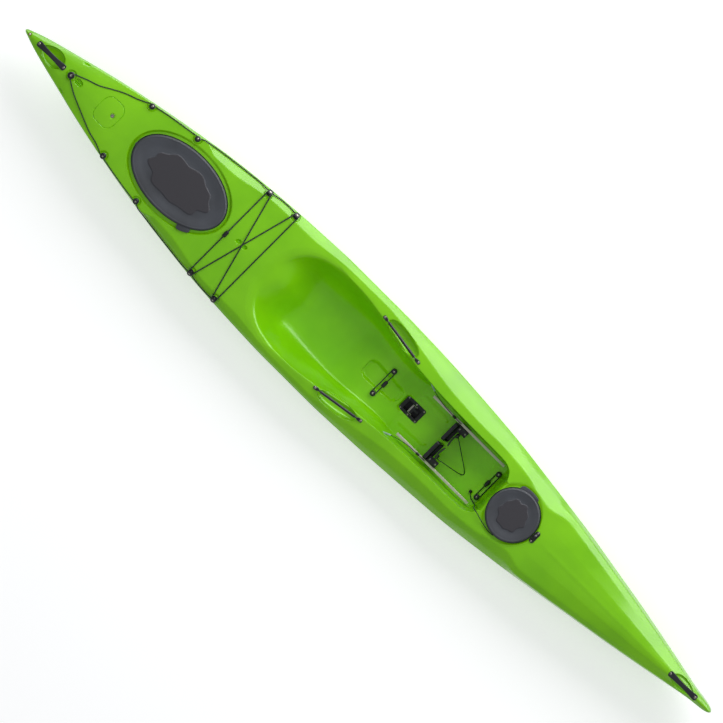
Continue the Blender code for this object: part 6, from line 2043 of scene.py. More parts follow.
@dataclass
class Rigging:
    """The deck fittings with the deck lines, bungees, beads and the leash."""

    hull: Hull
    line: float = 0.005
    bungee: float = 0.006
    thin: float = 0.005
    leash: float = 0.004
    clearance: float = 0.0008
    proud: float = 0.0013
    line_inset: float = 0.009
    seats: dict[str, Array] = field(default_factory=dict)

    def seat(self, x: float, y: float, radius: float) -> Array:
        """Frame on the deck, lifted until the fitting's flange clears the crowned skin.

        Args:
            x: X of the fitting.
            y: Y of the fitting.
            radius: Radius of its flange.

        Returns:
            The fitting's frame.
        """
        frame = self.hull.seat(x, y)
        up, foot = frame[:3, 2], frame[:3, 3]
        lift = 0.0
        for angle in circle(12):
            px, py = x + radius * math.cos(angle), y + radius * math.sin(angle)
            rim = np.array([px, py, self.hull.height(px, py)])
            lift = max(lift, float((rim - foot) @ up) + GAP)
        frame[:3, 3] = foot + lift * up
        return frame

    def add_fittings(self) -> None:
        """Put up the nine deck fittings."""
        for name, place, on_panel in self.hull.fitting_spots:
            x, y = self.hull.spot(place, on_panel)
            for side in Side:
                seat = self.seat(x, side.value * y, Fitting().radius)
                self.seats[f"{side.prefix}_{name}"] = seat
                Fitting().add(f"{side.prefix}_{name}_fitting", seat)
        fitting = Fitting(radius=0.0165)
        seat = self.seat(float(self.hull.along(self.hull.stern_fitting_at)), 0, fitting.radius)
        self.seats["stern"] = seat
        fitting.add("stern_fitting", seat)

    def neck(self, name: str, angles: tuple[float, ...], diameter: float,
             height: float) -> list[Point]:
        """Points of a cord round a fitting's neck, at angles from forward in degrees.

        Args:
            name: The fitting.
            angles: The angles.
            diameter: The cord's diameter.
            height: Height of its middle over the fitting's base.

        Returns:
            The points.
        """
        radius = Fitting().neck + diameter / 2 + self.clearance
        turn = np.radians(angles)
        local = np.stack([radius * np.cos(turn), radius * np.sin(turn),
                          np.full(len(turn), height), np.ones(len(turn))], -1)
        return [tuple(p) for p in (local @ self.seats[name].T)[:, :3]]

    def groove(self, diameter: float) -> float:
        """Height of a cord that lies lowest in a fitting's groove."""
        return Fitting().base + diameter / 2 + self.clearance

    def line_points(self, first: tuple[tuple[float, float], ...]) -> list[Point]:
        """Points of a deck line as if at port, from the stern fitting to the last one.

        Args:
            first: Places of its first stretch, each with its share of the deck's breadth.

        Returns:
            The points.
        """
        hull, low = self.hull, self.groove(self.line)
        clear = self.line / 2 + self.clearance
        points = self.neck("stern", (170, 135, 100), self.line, low)
        for place, share in first:
            y = share * float(hull.deck_breadth(place))
            points.append(hull.over(float(hull.along(place)), y, clear))
        deck = {"aft": (16.4, 18.2, 19.6)}
        panel = {"hatch": (21.3, 21.65, 22.1, 22.6, 23.2, 25.0, 26.6, 28.4),
                 "bungee_aft": (31.0, 32.3)}
        for name, _, _ in hull.fitting_spots:
            points += self.neck(f"port_{name}", (125, 90, 55), self.line, low)
            for place in deck.get(name, ()):
                y = float(hull.deck_breadth(place)) - hull.fitting_inset
                y += Fitting().neck + self.line / 2
                points.append(hull.over(float(hull.along(place)), y, clear))
            for place in panel.get(name, ()):
                y = float(hull.gunwale_breadth(place)) - self.line_inset
                points.append(hull.off(float(hull.along(place)), y, clear + self.proud))
        points += self.neck("port_bungee_fore", (20, -15, -50), self.line, low)
        return points

    def add_lines(self) -> None:
        """Lay the two deck lines, each ending at the neck of its last fitting."""
        cord = Cord(self.line)
        slack = {
            Side.PORT: ((8.2, 0.36), (9.5, 0.48), (10.8, 0.67), (12.0, 0.80), (13.3, 0.87)),
            Side.STARBOARD: ((8.1, 0.48), (9.3, 0.64), (10.7, 0.77), (12.1, 0.87), (13.4, 0.90)),
        }
        for side in Side:
            mine = np.array(self.line_points(slack[side])) * (1, side.value, 1)
            name = f"{side.prefix}_deck_line"
            show(f"{name}_braid", cord.surface(mine), CORD_BRAID, name)

    def strand(self, start: Point, end: Point, shares: tuple[float, ...],
               lift: tuple[float, ...]) -> list[Point]:
        """Points of a bungee's strand laid over the deck between two fittings.

        Args:
            start: Where it leaves one fitting.
            end: Where it meets the other.
            shares: How far along each point lies.
            lift: How far each is lifted off the deck besides.

        Returns:
            The points.
        """
        a, b = np.array(start), np.array(end)
        found = []
        for share, extra in zip(shares, lift):
            x, y = (a + (b - a) * share)[:2]
            found.append(self.hull.over(x, y, self.bungee / 2 + self.clearance + extra))
        return found

    def add_stern_bungee(self, bead_breadth: float = -0.016, travel: float = 0.010) -> None:
        """Lay the stern bungee: one loop with two strands across and two that cross.

        Args:
            bead_breadth: Y of its bead.
            travel: How far the bead slides each way.
        """
        high = self.groove(self.line) + (self.line + self.bungee) / 2 + self.clearance
        crossed, brow = self.bungee + self.clearance, 0.004
        flat = (brow, 0, 0, 0, 0, 0, brow)
        over = (brow, 0, crossed * 0.5, crossed, crossed * 0.5, 0, brow)
        shares = (0.055, 0.18, 0.36, 0.5, 0.64, 0.82, 0.945)

        def neck(name: str, angles: tuple[float, ...]) -> list[Point]:
            """The bungee's points round a fitting's neck."""
            return self.neck(name, angles, self.bungee, high)

        aft_port = neck("port_bungee_aft", (20, 60, 100, 140, 180))
        aft_starboard = neck("starboard_bungee_aft", (180, 220, 260, 300, 340))
        fore_port = neck("port_bungee_fore", (160, 120, 80, 40, 0))
        fore_starboard = neck("starboard_bungee_fore", (0, -40, -80, -120, -160))
        bead = Bead(bore=self.bungee / 2 + 0.0006)
        half = bead.length / 2 + travel + self.clearance
        x = aft_port[-1][0]
        places = [(x, bead_breadth + dy) for dy in (half, -half)]
        height = max(self.hull.height(*p) for p in places) + bead.radius + GAP
        across = [(px, py, height) for px, py in places]
        points = list(aft_port)
        points += self.strand(aft_port[-1], aft_starboard[0], (0.055, 0.18, 0.34), (brow, 0, 0))
        points += across
        points += self.strand(aft_port[-1], aft_starboard[0], (0.68, 0.84, 0.945), (0, 0, brow))
        points += aft_starboard
        points += self.strand(aft_starboard[-1], fore_port[0], shares, flat)
        points += fore_port
        points += self.strand(fore_port[-1], fore_starboard[0], shares, flat)
        points += fore_starboard
        points += self.strand(fore_starboard[-1], aft_port[0], shares, over)
        surface = Cord(self.bungee).surface(points, closed=True)
        show("stern_bungee_braid", surface, CORD_BRAID, "stern_bungee")
        show("stern_bungee_bead", bead.surface().placed(at(x, bead_breadth, height)),
             BLACK_NYLON, "stern_bungee_toggle", "stern_bead")

    def add_loop_bungee(self, name: str, x: float, breadth: float, base: float,
                        bead: tuple[float, float]) -> None:
        """Add two fittings across the boat with a loop round both and a bead on one strand.

        Args:
            name: What the nodes' names start with.
            x: X of the fittings.
            breadth: Their Y.
            base: Height of their flanges.
            bead: The bead's side of the loop and its Y.
        """
        for side in Side:
            Fitting().add(f"{name}_{side.prefix}_fitting", at(x, side.value * breadth, base))
        radius = Fitting().neck + (self.thin + self.clearance) / 2
        z = base + Fitting().base + Fitting().groove / 2
        turn = np.radians(np.concatenate([36.0 * np.arange(6), 180 + 36.0 * np.arange(6)]))
        sign = np.repeat([1, -1], 6)
        points = np.stack([x + radius * np.cos(turn), sign * breadth + radius * np.sin(turn),
                           np.full(12, z)], -1)
        middle = 0.5 * (points[5] + points[6]), 0.5 * (points[11] + points[0])
        points = np.vstack([points[:6], middle[0], points[6:], middle[1]])
        show(f"{name}_bungee_braid", Cord(self.thin).surface(points, closed=True), CORD_BRAID,
             f"{name}_bungee")
        beads = Bead(bore=self.thin / 2 + 0.0006)
        place = at(x + bead[0] * radius, bead[1], z)
        show(f"{name}_bungee_bead", beads.surface().placed(place), BLACK_NYLON,
             f"{name}_bungee_toggle", f"{name}_bead")

    def add_leash(self, cover: HatchCover) -> None:
        """Lay the leash from its knob in the footwell to the round cover's edge.

        Args:
            cover: The round hatch's cover.
        """
        hull, clear = self.hull, self.leash / 2 + self.clearance
        deck = cover.floor + cover.coaming
        side = -cover.half_y - 0.003 - self.leash / 2

        def x(place: float) -> float:
            """X of a place."""
            return float(hull.along(place))

        points = [
            hull.over(x(66.3), -0.074, clear + 0.002), hull.over(x(66.75), -0.092, clear + 0.002),
            hull.over(x(67.30), -0.100, clear + 0.002),
            (x(67.52), -0.100, hull.height(x(67.4), -0.100) + 0.012),
            (x(67.85), -0.102, deck + 0.002), (x(68.3), -0.106, deck + 0.004),
            (x(69.4), side + 0.008, deck), (cover.x - 0.032, side - 0.001, deck - 0.008),
            (cover.x, side, deck - 0.010),
        ]
        piece = show("hatch_leash_braid", Cord(self.leash).surface(points), CORD_BRAID,
                     "hatch_leash", "")
        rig.blend(piece, "boat", "bow_cover", points[-3], points[-1])
        knob = Bead(length=0.014, radius=0.008, bore=0.0022)
        place = at(*(np.array(points[0]) + (0, 0, 0.0045)))
        show("hatch_leash_knob", knob.surface().placed(place), BLACK_NYLON)


@dataclass
class PadEye:
    """A two-screw plate with a raised bar, just forward of the round hatch."""

    hull: Hull
    x: float = 1.0588
    half_x: float = 0.012
    half_y: float = 0.031
    thickness: float = 0.004
    span: float = 0.018
    height: float = 0.015
    bar: float = 0.002

    def build(self) -> None:
        """Make the plate, its bar as half a wave of a sine, and its two screws."""
        levels = [self.hull.height(self.x + dx, 0) for dx in (-self.half_x, 0, self.half_x)]
        slope = (levels[2] - levels[0]) / (2 * self.half_x)
        frame = matrix_from((self.x, 0, max(levels) + GAP), (1, 0, slope), (0, 0, 1))
        outline = round_rectangle(self.half_x, self.half_y, 0.0115, 10)
        plate = plate_surface(outline, 0, self.thickness, 0.0014)
        t = np.linspace(-1, 1, 41)
        rise = (self.height + self.bar) * np.cos(t * np.pi / 2) ** 0.75 - self.bar
        path = np.stack([np.zeros_like(t), t * self.span, np.maximum(rise, 0.001)], -1)
        tangent = np.gradient(path, axis=0)
        tangent /= np.linalg.norm(tangent, axis=1, keepdims=True)
        across = np.array([1.0, 0, 0])
        over = np.cross(tangent, across)
        ring = superellipse(2.5 * self.bar, self.bar, 2.6, circle(24))
        rings = path[:, None] + ring[:, :1] * across + ring[:, 1:] * over[:, None]
        show("bow_pad_eye_moulding", plate.joined(ring_surface(rings)).placed(frame),
             BLACK_NYLON, "bow_pad_eye")
        for side in Side:
            spot = frame @ at(0, side.value * (self.half_y - 0.0075), self.thickness)
            Screw(0.0046, 0.0022).add(f"bow_pad_eye_{side.prefix}_screw", spot)


@dataclass
class Bailer:
    """The self bailer: a screwed plate over its throat, a flap below and a wire lever."""

    x: float = BAILER_X
    half_x: float = 0.0545
    half_y: float = 0.038
    low: float = 0.068
    high: float = 0.072
    hole_x: float = 0.037
    hole_y: float = 0.023
    sleeve: float = 0.003
    foot: float = 0.002
    wire: float = 0.0016
    screw_x: float = 0.0465
    screw_y: float = 0.0305
    # Heights of the throat's ledge, which is painted shade: a black lip over the flap's edge that fills the
    # see-through gap round the flap, where there would be shadow.
    ledge: tuple[float, float] = (0.0092, 0.0106)

    def build(self) -> None:
        """Make the plate with its sleeve, six screws and the wire lever."""
        x, y, hx, hy = self.half_x, self.half_y, self.hole_x, self.hole_y
        out_x, out_y, top = hx + self.sleeve, hy + self.sleeve, self.high
        # The ledge reaches in over the flap's edge: a dark sheet standing in for the shade in the gap.
        shade_ledge_x, shade_ledge_y = hx - 0.0060, hy - 0.0030
        rows = (
            (out_x, out_y, 0.003, self.low), (x, y, 0.008, self.low), (x, y, 0.008, top - 0.0012),
            (x - 0.0004, y - 0.0004, 0.0078, top - 0.0004), (x - 0.0014, y - 0.0014, 0.007, top),
            (hx + 0.0022, hy + 0.0022, 0.004, top),
            (hx + 0.0006, hy + 0.0006, 0.003, top - 0.0005),
            (hx, hy, 0.0026, top - 0.0018), (hx, hy, 0.0026, self.ledge[1]),
            (shade_ledge_x, shade_ledge_y, 0.002, self.ledge[1]), (shade_ledge_x, shade_ledge_y, 0.002, self.ledge[0]),
            (hx, hy, 0.0026, self.ledge[0]), (hx, hy, 0.0026, self.foot),
            (out_x, out_y, 0.003, self.foot),
        )
        flat = np.stack([round_rectangle(*row[:3], 8) for row in rows])
        bridge = plate_surface(round_rectangle(0.0085, hy + 0.0005, 0.001), self.high - 0.0060,
                               self.high - 0.0006, 0.0008)
        stem = plate_surface(round_rectangle(0.012, 0.0045, 0.001), self.high - 0.0060,
                             self.high - 0.0010, 0.0008).placed(at(0.018, 0.004, 0))
        surface = ring_surface(raised(flat, np.array(rows)[:, 3]), Ends.JOINED)
        surface = surface.joined(bridge, stem).placed(at(self.x, 0, 0))
        show("bailer_frame_moulding", surface, BLACK_NYLON, "bailer_frame")
        screw = Screw(0.0040, 0.0018, 0.0016, 0.01)
        signs = ((-1, -1), (-1, 1), (1, -1), (1, 1), (0, 1), (0, -1))
        for number, (fore, port) in enumerate(signs, 1):
            spot = at(self.x + fore * self.screw_x, port * self.screw_y, self.high)
            screw.add(f"bailer_screw_{number}", spot)
        low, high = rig.box("bailer_lever")
        z = (low[2] + high[2]) / 2
        aft, fore = low[0] + self.wire, high[0] - self.wire
        span, bend = high[1] - 0.004, 0.004
        points = [
            (fore, span + bend, z), (fore, span, z), (aft + bend, span, z),
            (aft + 0.0008, span - 0.0008, z), (aft, span - bend, z), (aft, -span + bend, z),
            (aft + 0.0008, -span + 0.0008, z), (aft + bend, -span, z), (fore, -span, z),
            (fore, -span - bend, z),
        ]
        bar = plate_surface(round_rectangle(0.0032, span - 0.002, 0.0028), z - 0.0011, z + 0.0013,
                            0.0008).placed(at(aft + 0.0032, 0, 0))
        wire = ring_surface(tube_rings(smooth_path(points, 0.001), self.wire, 16)).joined(bar)
        show("bailer_lever_wire", wire, SCREW_STEEL, "bailer_lever", "lever")


@dataclass
class FootRail:
    """An aluminium rail along one wall of the footwell, each end screwed to the wall."""

    side: Side
    aft: float = 0.2893
    fore: float = 0.7373
    breadth: float = 0.118
    half_y: float = 0.006
    height: float = 0.150
    half_z: float = 0.010
    reach: float = 0.1250
    foot: float = 0.016

    def build(self) -> None:
        """Carry the rail's channel section along it, and add its two feet and their screws.

        The section is a rounded bar with a shallow channel sunk in its inner face.
        """
        flat = round_rectangle(self.half_y, self.half_z, 0.0012, 4)
        z = np.linspace(-self.half_z + 0.002, self.half_z - 0.002, 15)[1:-1]
        sunk = 0.0022 * smooth_step((0.006 - np.abs(z)) / 0.0012)
        inner = np.stack([-self.half_y + sunk, z], -1)
        outline = np.vstack([flat[:10], inner[::-1], flat[10:]])
        x = np.array([self.aft, self.aft + 0.0008, self.fore - 0.0008, self.fore])
        size = np.array([0.96, 1, 1, 0.96])[:, None, None]
        bar = ring_surface(stood(x, outline[None] * size + (self.breadth, self.height)))
        feet = []
        for place in (self.aft + self.foot / 2, self.fore - self.foot / 2):
            plan = round_rectangle(self.foot / 2, (self.reach - self.breadth + 0.002) / 2, 0.0015)
            block = plate_surface(plan, self.height - self.half_z + 0.0006,
                                  self.height + self.half_z - 0.0006, 0.001)
            feet.append(block.placed(at(place, (self.reach + self.breadth - 0.002) / 2, 0)))
        mirror = np.diag([1.0, self.side.value, 1, 1])
        name = f"{self.side.prefix}_foot_rail"
        show(f"{name}_extrusion", bar.joined(*feet).placed(mirror), RAIL_METAL, name)
        turn = turned((1, 0, 0), (0, 0, -1), (0, 1, 0))
        for end, place in (("aft", self.aft + self.foot / 2), ("fore", self.fore - self.foot / 2)):
            spot = mirror @ at(place, self.breadth - self.half_y, self.height) @ turn
            Screw(0.0044, 0.0020, 0.002, 0.01).add(f"{name}_{end}_screw", spot)


@dataclass
class Pedal:
    """One foot pedal: a footplate on its carriage and a hinged toe pedal above it."""

    side: Side
    x: float = 0.50025
    plate_x: float = 0.47995
    plate_low: float = 0.088
    plate_height: float = 0.112
    plate_thickness: float = 0.018
    plate_lean: float = 0.020
    plate_inner: float = 0.008
    plate_outer: float = 0.111
    pin_x: float = 0.49175
    pin_z: float = 0.141
    toe_outer: float = 0.076
    toe_width: float = 0.068
    toe_height: float = 0.105
    toe_thickness: float = 0.008
    barrel: float = 0.0085
    barrel_length: float = 0.020
    bore: float = 0.0048
    block_x: float = 0.49335
    block_half_x: float = 0.0268
    block_y: float = 0.0955
    block_half_y: float = 0.0150
    block_z: tuple[float, float] = (0.1345, 0.1655)
    lip_y: float = 0.1270
    lip_height: float = 0.0045
    pin_radius: float = 0.0044
    pin_length: float = 0.030
    screw_x: float = 0.017
    rib_pitch: float = 0.012
    rib_depth: float = 0.0016
    toe_bow: float = 0.006
    toe_rib_pitch: float = 0.011
    toe_rib: float = 0.0008

    def plate(self) -> Surface:
        """Draw the footplate as a pan, hollow forward, with grip ribs across its aft face.

        Its aft face is a grid whose points stand out by a rounded square wave of the height.

        Returns:
            The closed surface.
        """
        half_u, half_v = (self.plate_outer - self.plate_inner) / 2, self.plate_height / 2
        outline = round_rectangle(half_v, half_u, 0.010, 8)
        insets = (0.016, 0.0055, 0.0045, 0.0010, 0, 0, 0.0010, 0.0030)
        depths = (0.0135, 0.0135, 0.0005, 0.0, 0.0012, 0.0160, 0.0174, 0.0180)
        sizes = [(1 - inset / half_v, 1 - inset / half_u) for inset in insets]
        sizes += [(share, share) for share in np.linspace(0.93, 0.06, 26)]
        rings = raised(outline * np.array(sizes)[:, None],
                       np.array(depths + (self.plate_thickness,) * 26))
        up = rings[..., 0]
        inside = smooth_step((0.86 - np.maximum(np.abs(up) / half_v,
                                                 np.abs(rings[..., 1]) / half_u)) / 0.03)
        wave = smooth_step(0.5 + 1.2 * np.cos(up * 2 * np.pi / self.rib_pitch))
        on_face = np.arange(len(rings))[:, None] > 7
        rings[..., 2] += np.where(on_face, -self.rib_depth * inside * (1 - wave), 0)
        lean = self.plate_lean / self.plate_height
        middle = at(self.plate_x - self.plate_lean / 2, (self.plate_inner + self.plate_outer) / 2,
                    self.plate_low + half_v)
        return ring_surface(rings).placed(
            middle @ turned((-lean, 0, -1), (0, 1, 0), (1, 0, 0)))

    def toe(self) -> Surface:
        """Draw the toe pedal: an upright blade, bowed in plan, on its barrel.

        The blade bows aft by its depth times 1 - (2 u - 1) squared, with u from its outer to
        its inner edge, and its sections are superellipses of power 5.

        Returns:
            The closed surfaces as one.
        """
        u = np.linspace(0, 1, 61)
        edge = np.sqrt(np.clip(1 - (2 * u - 1) ** 16, 0.02, 1))
        y = self.toe_outer - self.toe_width * u
        bow = self.toe_bow * (1 - (2 * u - 1) ** 2)
        top = self.toe_height * (1 - 0.12 * u)
        foot = np.where(u < 0.28, 0.0, 0.018) * smooth_step((u - 0.22) / 0.12)
        angle = circle(40)
        ring = superellipse(0.5, 0.5, 5.0, angle)
        x = -bow[:, None] + ring[:, 0] * self.toe_thickness * edge[:, None]
        centre, span = (top + foot) / 2, (top - foot) * (0.90 + 0.10 * edge)
        z = centre[:, None] + ring[:, 1] * span[:, None]
        waves = smooth_step(0.5 + 1.3 * np.cos(z * 2 * np.pi / self.toe_rib_pitch))
        rib = self.toe_rib * waves * (ring[:, 0] < -0.3)
        x = x + rib * smooth_step((edge[:, None] - 0.7) / 0.3)
        blade = ring_surface(np.stack([x, np.broadcast_to(y[:, None], x.shape), z], -1))
        half = self.barrel_length / 2
        r = self.barrel
        tube = turned_surface([(self.bore, -half), (r - 0.0008, -half), (r, -half + 0.0008),
                               (r, half - 0.0008), (r - 0.0008, half), (self.bore, half)],
                              40, Ends.JOINED)
        tube = tube.placed(at(0, self.toe_outer - half, 0) @ ALONG_Y)
        return blade.joined(tube).placed(at(self.pin_x, 0, self.pin_z))

    def carriage(self) -> Surface:
        """Draw the carriage: a block inboard of the rail, a lip below it and the toe's pin.

        Returns:
            The closed surfaces as one.
        """
        low, high = self.block_z
        block = plate_surface(round_rectangle(self.block_half_x, self.block_half_y, 0.003),
                              low, high, 0.0015)
        rail_edge = self.block_y + self.block_half_y
        plan = round_rectangle(self.block_half_x - 0.002,
                               (self.lip_y - rail_edge) / 2 + 0.002, 0.002)
        lip = plate_surface(plan, low, low + self.lip_height, 0.001)
        pin = turned_surface([(self.pin_radius, -self.pin_length / 2),
                              (self.pin_radius, self.pin_length / 2)], 24)
        pin_y = self.block_y - self.block_half_y + 0.004 - self.pin_length / 2
        return block.placed(at(self.block_x, self.block_y, 0)).joined(
            lip.placed(at(self.block_x, (self.lip_y + rail_edge) / 2 - 0.002, 0)),
            pin.placed(at(self.pin_x, pin_y, self.pin_z) @ ALONG_Y),
        )

    def build(self) -> None:
        """Make the footplate and the toe pedal, and fasten the carriage."""
        mirror = np.diag([1.0, self.side.value, 1, 1])
        name = self.side.prefix
        for piece, shape, node, body in (
            ("footplate", self.plate(), "footplate", "pedal"),
            ("toe_pedal", self.toe(), "toe_pedal", "toe"),
            ("carriage", self.carriage(), "pedal_carriage", "pedal"),
        ):
            show(f"{name}_{piece}_moulding", shape.placed(mirror), BLACK_NYLON,
                 f"{name}_{node}", f"{name}_{body}")
        for number, sign in enumerate((-1, 1), 1):
            spot = mirror @ at(self.block_x + sign * self.screw_x, self.block_y, self.block_z[1])
            Screw(0.0040, 0.0019, 0.0016, 0.008).add(f"{name}_carriage_screw_{number}", spot,
                                                     body=f"{name}_pedal")


@dataclass
class Steering:
    """The rudder, its cover and bolt, and the lines from its tiller to the pedals."""

    hull: Hull
    x: float = RUDDER_X
    blade_top: float = 0.0956
    blade_length: float = 0.094
    chord: float = 0.096
    tip_chord: float = 0.070
    thickness: float = 0.010
    balance: float = 0.30
    stock: float = 0.006
    stock_top: float = 0.243
    line_z: float = 0.236
    span: float = 0.042
    line: float = 0.003
    tube: float = 0.004
    tube_bore: float = 0.0025
    cover_top: float = 0.2884
    bolt_x: float = -1.624725
    rail_top: float = 0.160
    line_y: float = 0.118

    def add_rudder(self) -> None:
        """Make the blade with its stock: foil sections from a raked, rounded tip to the top.

        The half thickness of a section is t (2.97 sqrt(c) - 1.26 c - 3.52 c^2 + 2.84 c^3
        - 1.03 c^4) / 2, with c the share of the chord from its leading edge.
        """
        share = np.linspace(0, 1, 40)
        z = self.blade_top - self.blade_length * (1 - share)
        round_tip = np.sqrt(np.clip(1 - np.clip(1 - share / 0.14, 0, 1) ** 2, 0.03, 1))
        chord = (self.tip_chord + (self.chord - self.tip_chord) * smooth_step(share * 1.1))
        chord = chord * (0.72 + 0.28 * round_tip)
        c = (1 - np.cos(np.linspace(0, np.pi, 33))) / 2
        half = (2.97 * np.sqrt(c) - 1.26 * c - 3.52 * c**2 + 2.84 * c**3 - 1.03 * c**4) / 2
        half = np.maximum(half, 0.02)
        loop_c = np.concatenate([c, c[-2:0:-1]])
        loop_y = np.concatenate([half, -half[-2:0:-1]])
        x = self.balance * chord[:, None] - chord[:, None] * loop_c
        fullness = 0.55 + 0.45 * round_tip * (0.6 + 0.4 * share)
        y = self.thickness * 0.98 * fullness[:, None] * loop_y
        rings = np.stack([x, y, np.broadcast_to(z[:, None], x.shape)], -1)
        shaft = turned_surface([(self.stock, self.blade_top - 0.03),
                                (self.stock, self.stock_top - 0.001),
                                (self.stock - 0.001, self.stock_top)], 32)
        surface = ring_surface(rings).joined(shaft).placed(at(self.x, 0, 0))
        show("rudder_blade_moulding", surface, BLADE_NYLON, "rudder_blade", "rudder")

    def add_cover(self) -> None:
        """Make the flush cover with its bolt.

        Its outline is a superellipse, drawn in to its middle. Its top is the deck's
        own height, less a rounded edge and a round sink for the bolt's head.
        """
        x_mid, half_x, half_y = self.hull.rudder_cover
        angle = circle(144)
        share = np.concatenate([[1, 1, 0.997, 0.985, 0.965], np.linspace(0.93, 0.02, 34)])
        drop = np.array([0.0050, 0.0014, 0.0006, 0.0001] + [0.0] * 35)
        outline = superellipse(half_x, half_y, COVER_POWER, angle)
        flat = share[:, None, None] * outline[None]
        x, y = x_mid + flat[..., 0], flat[..., 1]
        sink = smooth_step((0.0135 - np.hypot(x - self.bolt_x, y)) / 0.003)
        z = self.hull.deck_line(self.hull.place_at(x), y) - drop[:, None]
        z = z + (self.cover_top - 0.0002 - z) * sink
        low = np.concatenate([x[:1], y[:1], np.full_like(x[:1], self.cover_top - 0.006)])
        rings = np.concatenate([low.T.reshape(1, -1, 3), np.stack([x, y, z], -1)])
        show("rudder_cover_moulding", ring_surface(rings), HULL_PLASTIC, "rudder_cover")
        Screw(0.0085, 0.0032, 0.0025, 0.014).add(
            "rudder_cover_bolt_head", at(self.bolt_x, 0, self.cover_top + GAP),
            "rudder_cover_bolt")

    def tube_points(self) -> list[Point]:
        """The port tube's way from the rudder pocket to the cockpit wall.

        Returns:
            Points of the tube's middle.
        """
        pocket = self.hull.rudder_cover[0] + 0.051
        runs = (
            (15.2, 0.095, 0.228), (17.4, 0.140, 0.222), (21.0, 0.182, 0.215),
            (26.0, 0.214, 0.205), (33.0, 0.240, 0.190), (40.0, 0.256, 0.186),
            (46.0, 0.256, 0.188), (50.0, 0.232, 0.192), (53.0, 0.196, 0.196),
            (54.8, 0.170, 0.196), (55.7, 0.152, 0.195), (56.35, 0.1405, 0.192),
        )
        points = [(pocket - 0.004, self.span, self.line_z),
                  (pocket + 0.02, self.span + 0.006, self.line_z - 0.002)]
        return points + [(float(self.hull.along(p)), y, z) for p, y, z in runs]

    def add_lines(self, pedal: Pedal) -> None:
        """Make the tubes, and the lines in them from the tiller to the carriages.

        Args:
            pedal: The port pedal.
        """
        tube = self.tube_points()
        along = self.hull.along
        end_z = self.rail_top + self.line / 2 + 0.0008
        lean = -pedal.plate_lean * (end_z + self.line - pedal.plate_low) / pedal.plate_height
        end_x = pedal.x - 0.020 + lean - GAP
        knot = (end_x - 0.045, self.line_y, self.rail_top + 0.0065)
        fore = [
            *tube[-3:], (float(along(57.3)), 0.129, end_z + 0.016),
            (float(along(58.4)), 0.121, end_z + 0.001), knot,
            (end_x, self.line_y, end_z),
        ]
        aft = [(self.x + 0.009, self.span, self.line_z), *tube[:3]]
        path = smooth_path(tube, 0.010)
        outer = tube_rings(path, self.tube, 16)
        inner = tube_rings(path, self.tube_bore, 16)[::-1]
        casing = np.concatenate([outer, inner])
        for side in Side:
            name = side.prefix
            flip = np.diag([1.0, side.value, 1, 1])
            show(f"{name}_rudder_tube_extrusion",
                 ring_surface(casing, Ends.JOINED).placed(flip), LINE_TUBE,
                 f"{name}_rudder_tube")
            for part, points, body, start, end in (
                ("fore", fore, f"{name}_pedal", fore[2], fore[-2]),
                ("aft", aft, "rudder", aft[2], aft[0]),
            ):
                cord = Cord(self.line, 10).surface(points).placed(flip)
                piece = show(f"{name}_rudder_line_{part}", cord, CORD_BRAID,
                             f"{name}_rudder_line", "")
                start, end = (tuple(np.array(p) * (1, side.value, 1)) for p in (start, end))
                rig.blend(piece, "boat", body, start, end)
            ball = Bead(length=0.018, radius=0.0062, bore=0.0014)
            quarter = turned((0, 1, 0), (-1, 0, 0), (0, 0, 1))
            bead = ball.surface().placed(flip @ at(*knot) @ quarter)
            show(f"{name}_rudder_line_knot", bead, BLACK_NYLON, body=f"{name}_pedal")

    def add_elastic(self, pedal: Pedal, diameter: float = 0.004) -> None:
        """Stretch the elastic from both toe pedals to the eye in the footwell's floor.

        Args:
            pedal: The port pedal.
            diameter: The cord's diameter.
        """
        x = pedal.pin_x + pedal.toe_thickness / 2
        eye = float(self.hull.along(64.5))
        clear = diameter / 2 + 0.0008
        outer = 0.068
        z = pedal.pin_z + 0.6 * pedal.toe_height
        over = self.hull.over
        ends = np.array([(x + clear, outer, z), (x + clear, -outer, z)])
        feet = np.array([over(eye - 0.004, -0.030, clear), over(eye - 0.004, -0.054, clear)])
        share = np.array([[0.0], [0.3], [0.6], [0.85]])
        points = np.vstack([
            ends[0] + share * (feet[0] - ends[0]), over(eye, -0.036, clear),
            over(eye + 0.002, -0.042, clear), over(eye, -0.048, clear),
            ends[1] + share[::-1] * (feet[1] - ends[1]),
        ])
        path = smooth_path(points, 0.004)
        middle = int(np.argmin(path[:, 2]))
        for side, part in ((Side.PORT, path[: middle + 1]), (Side.STARBOARD, path[middle:])):
            ring = ring_surface(tube_rings(part, diameter / 2, 12), pitch=2 * diameter)
            piece = show(f"pedal_elastic_{side.prefix}", ring, CORD_BRAID, "pedal_elastic", "")
            end = part[0] if side is Side.PORT else part[-1]
            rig.blend(piece, "boat", f"{side.prefix}_pedal", tuple(path[middle]), tuple(end))


# The studio


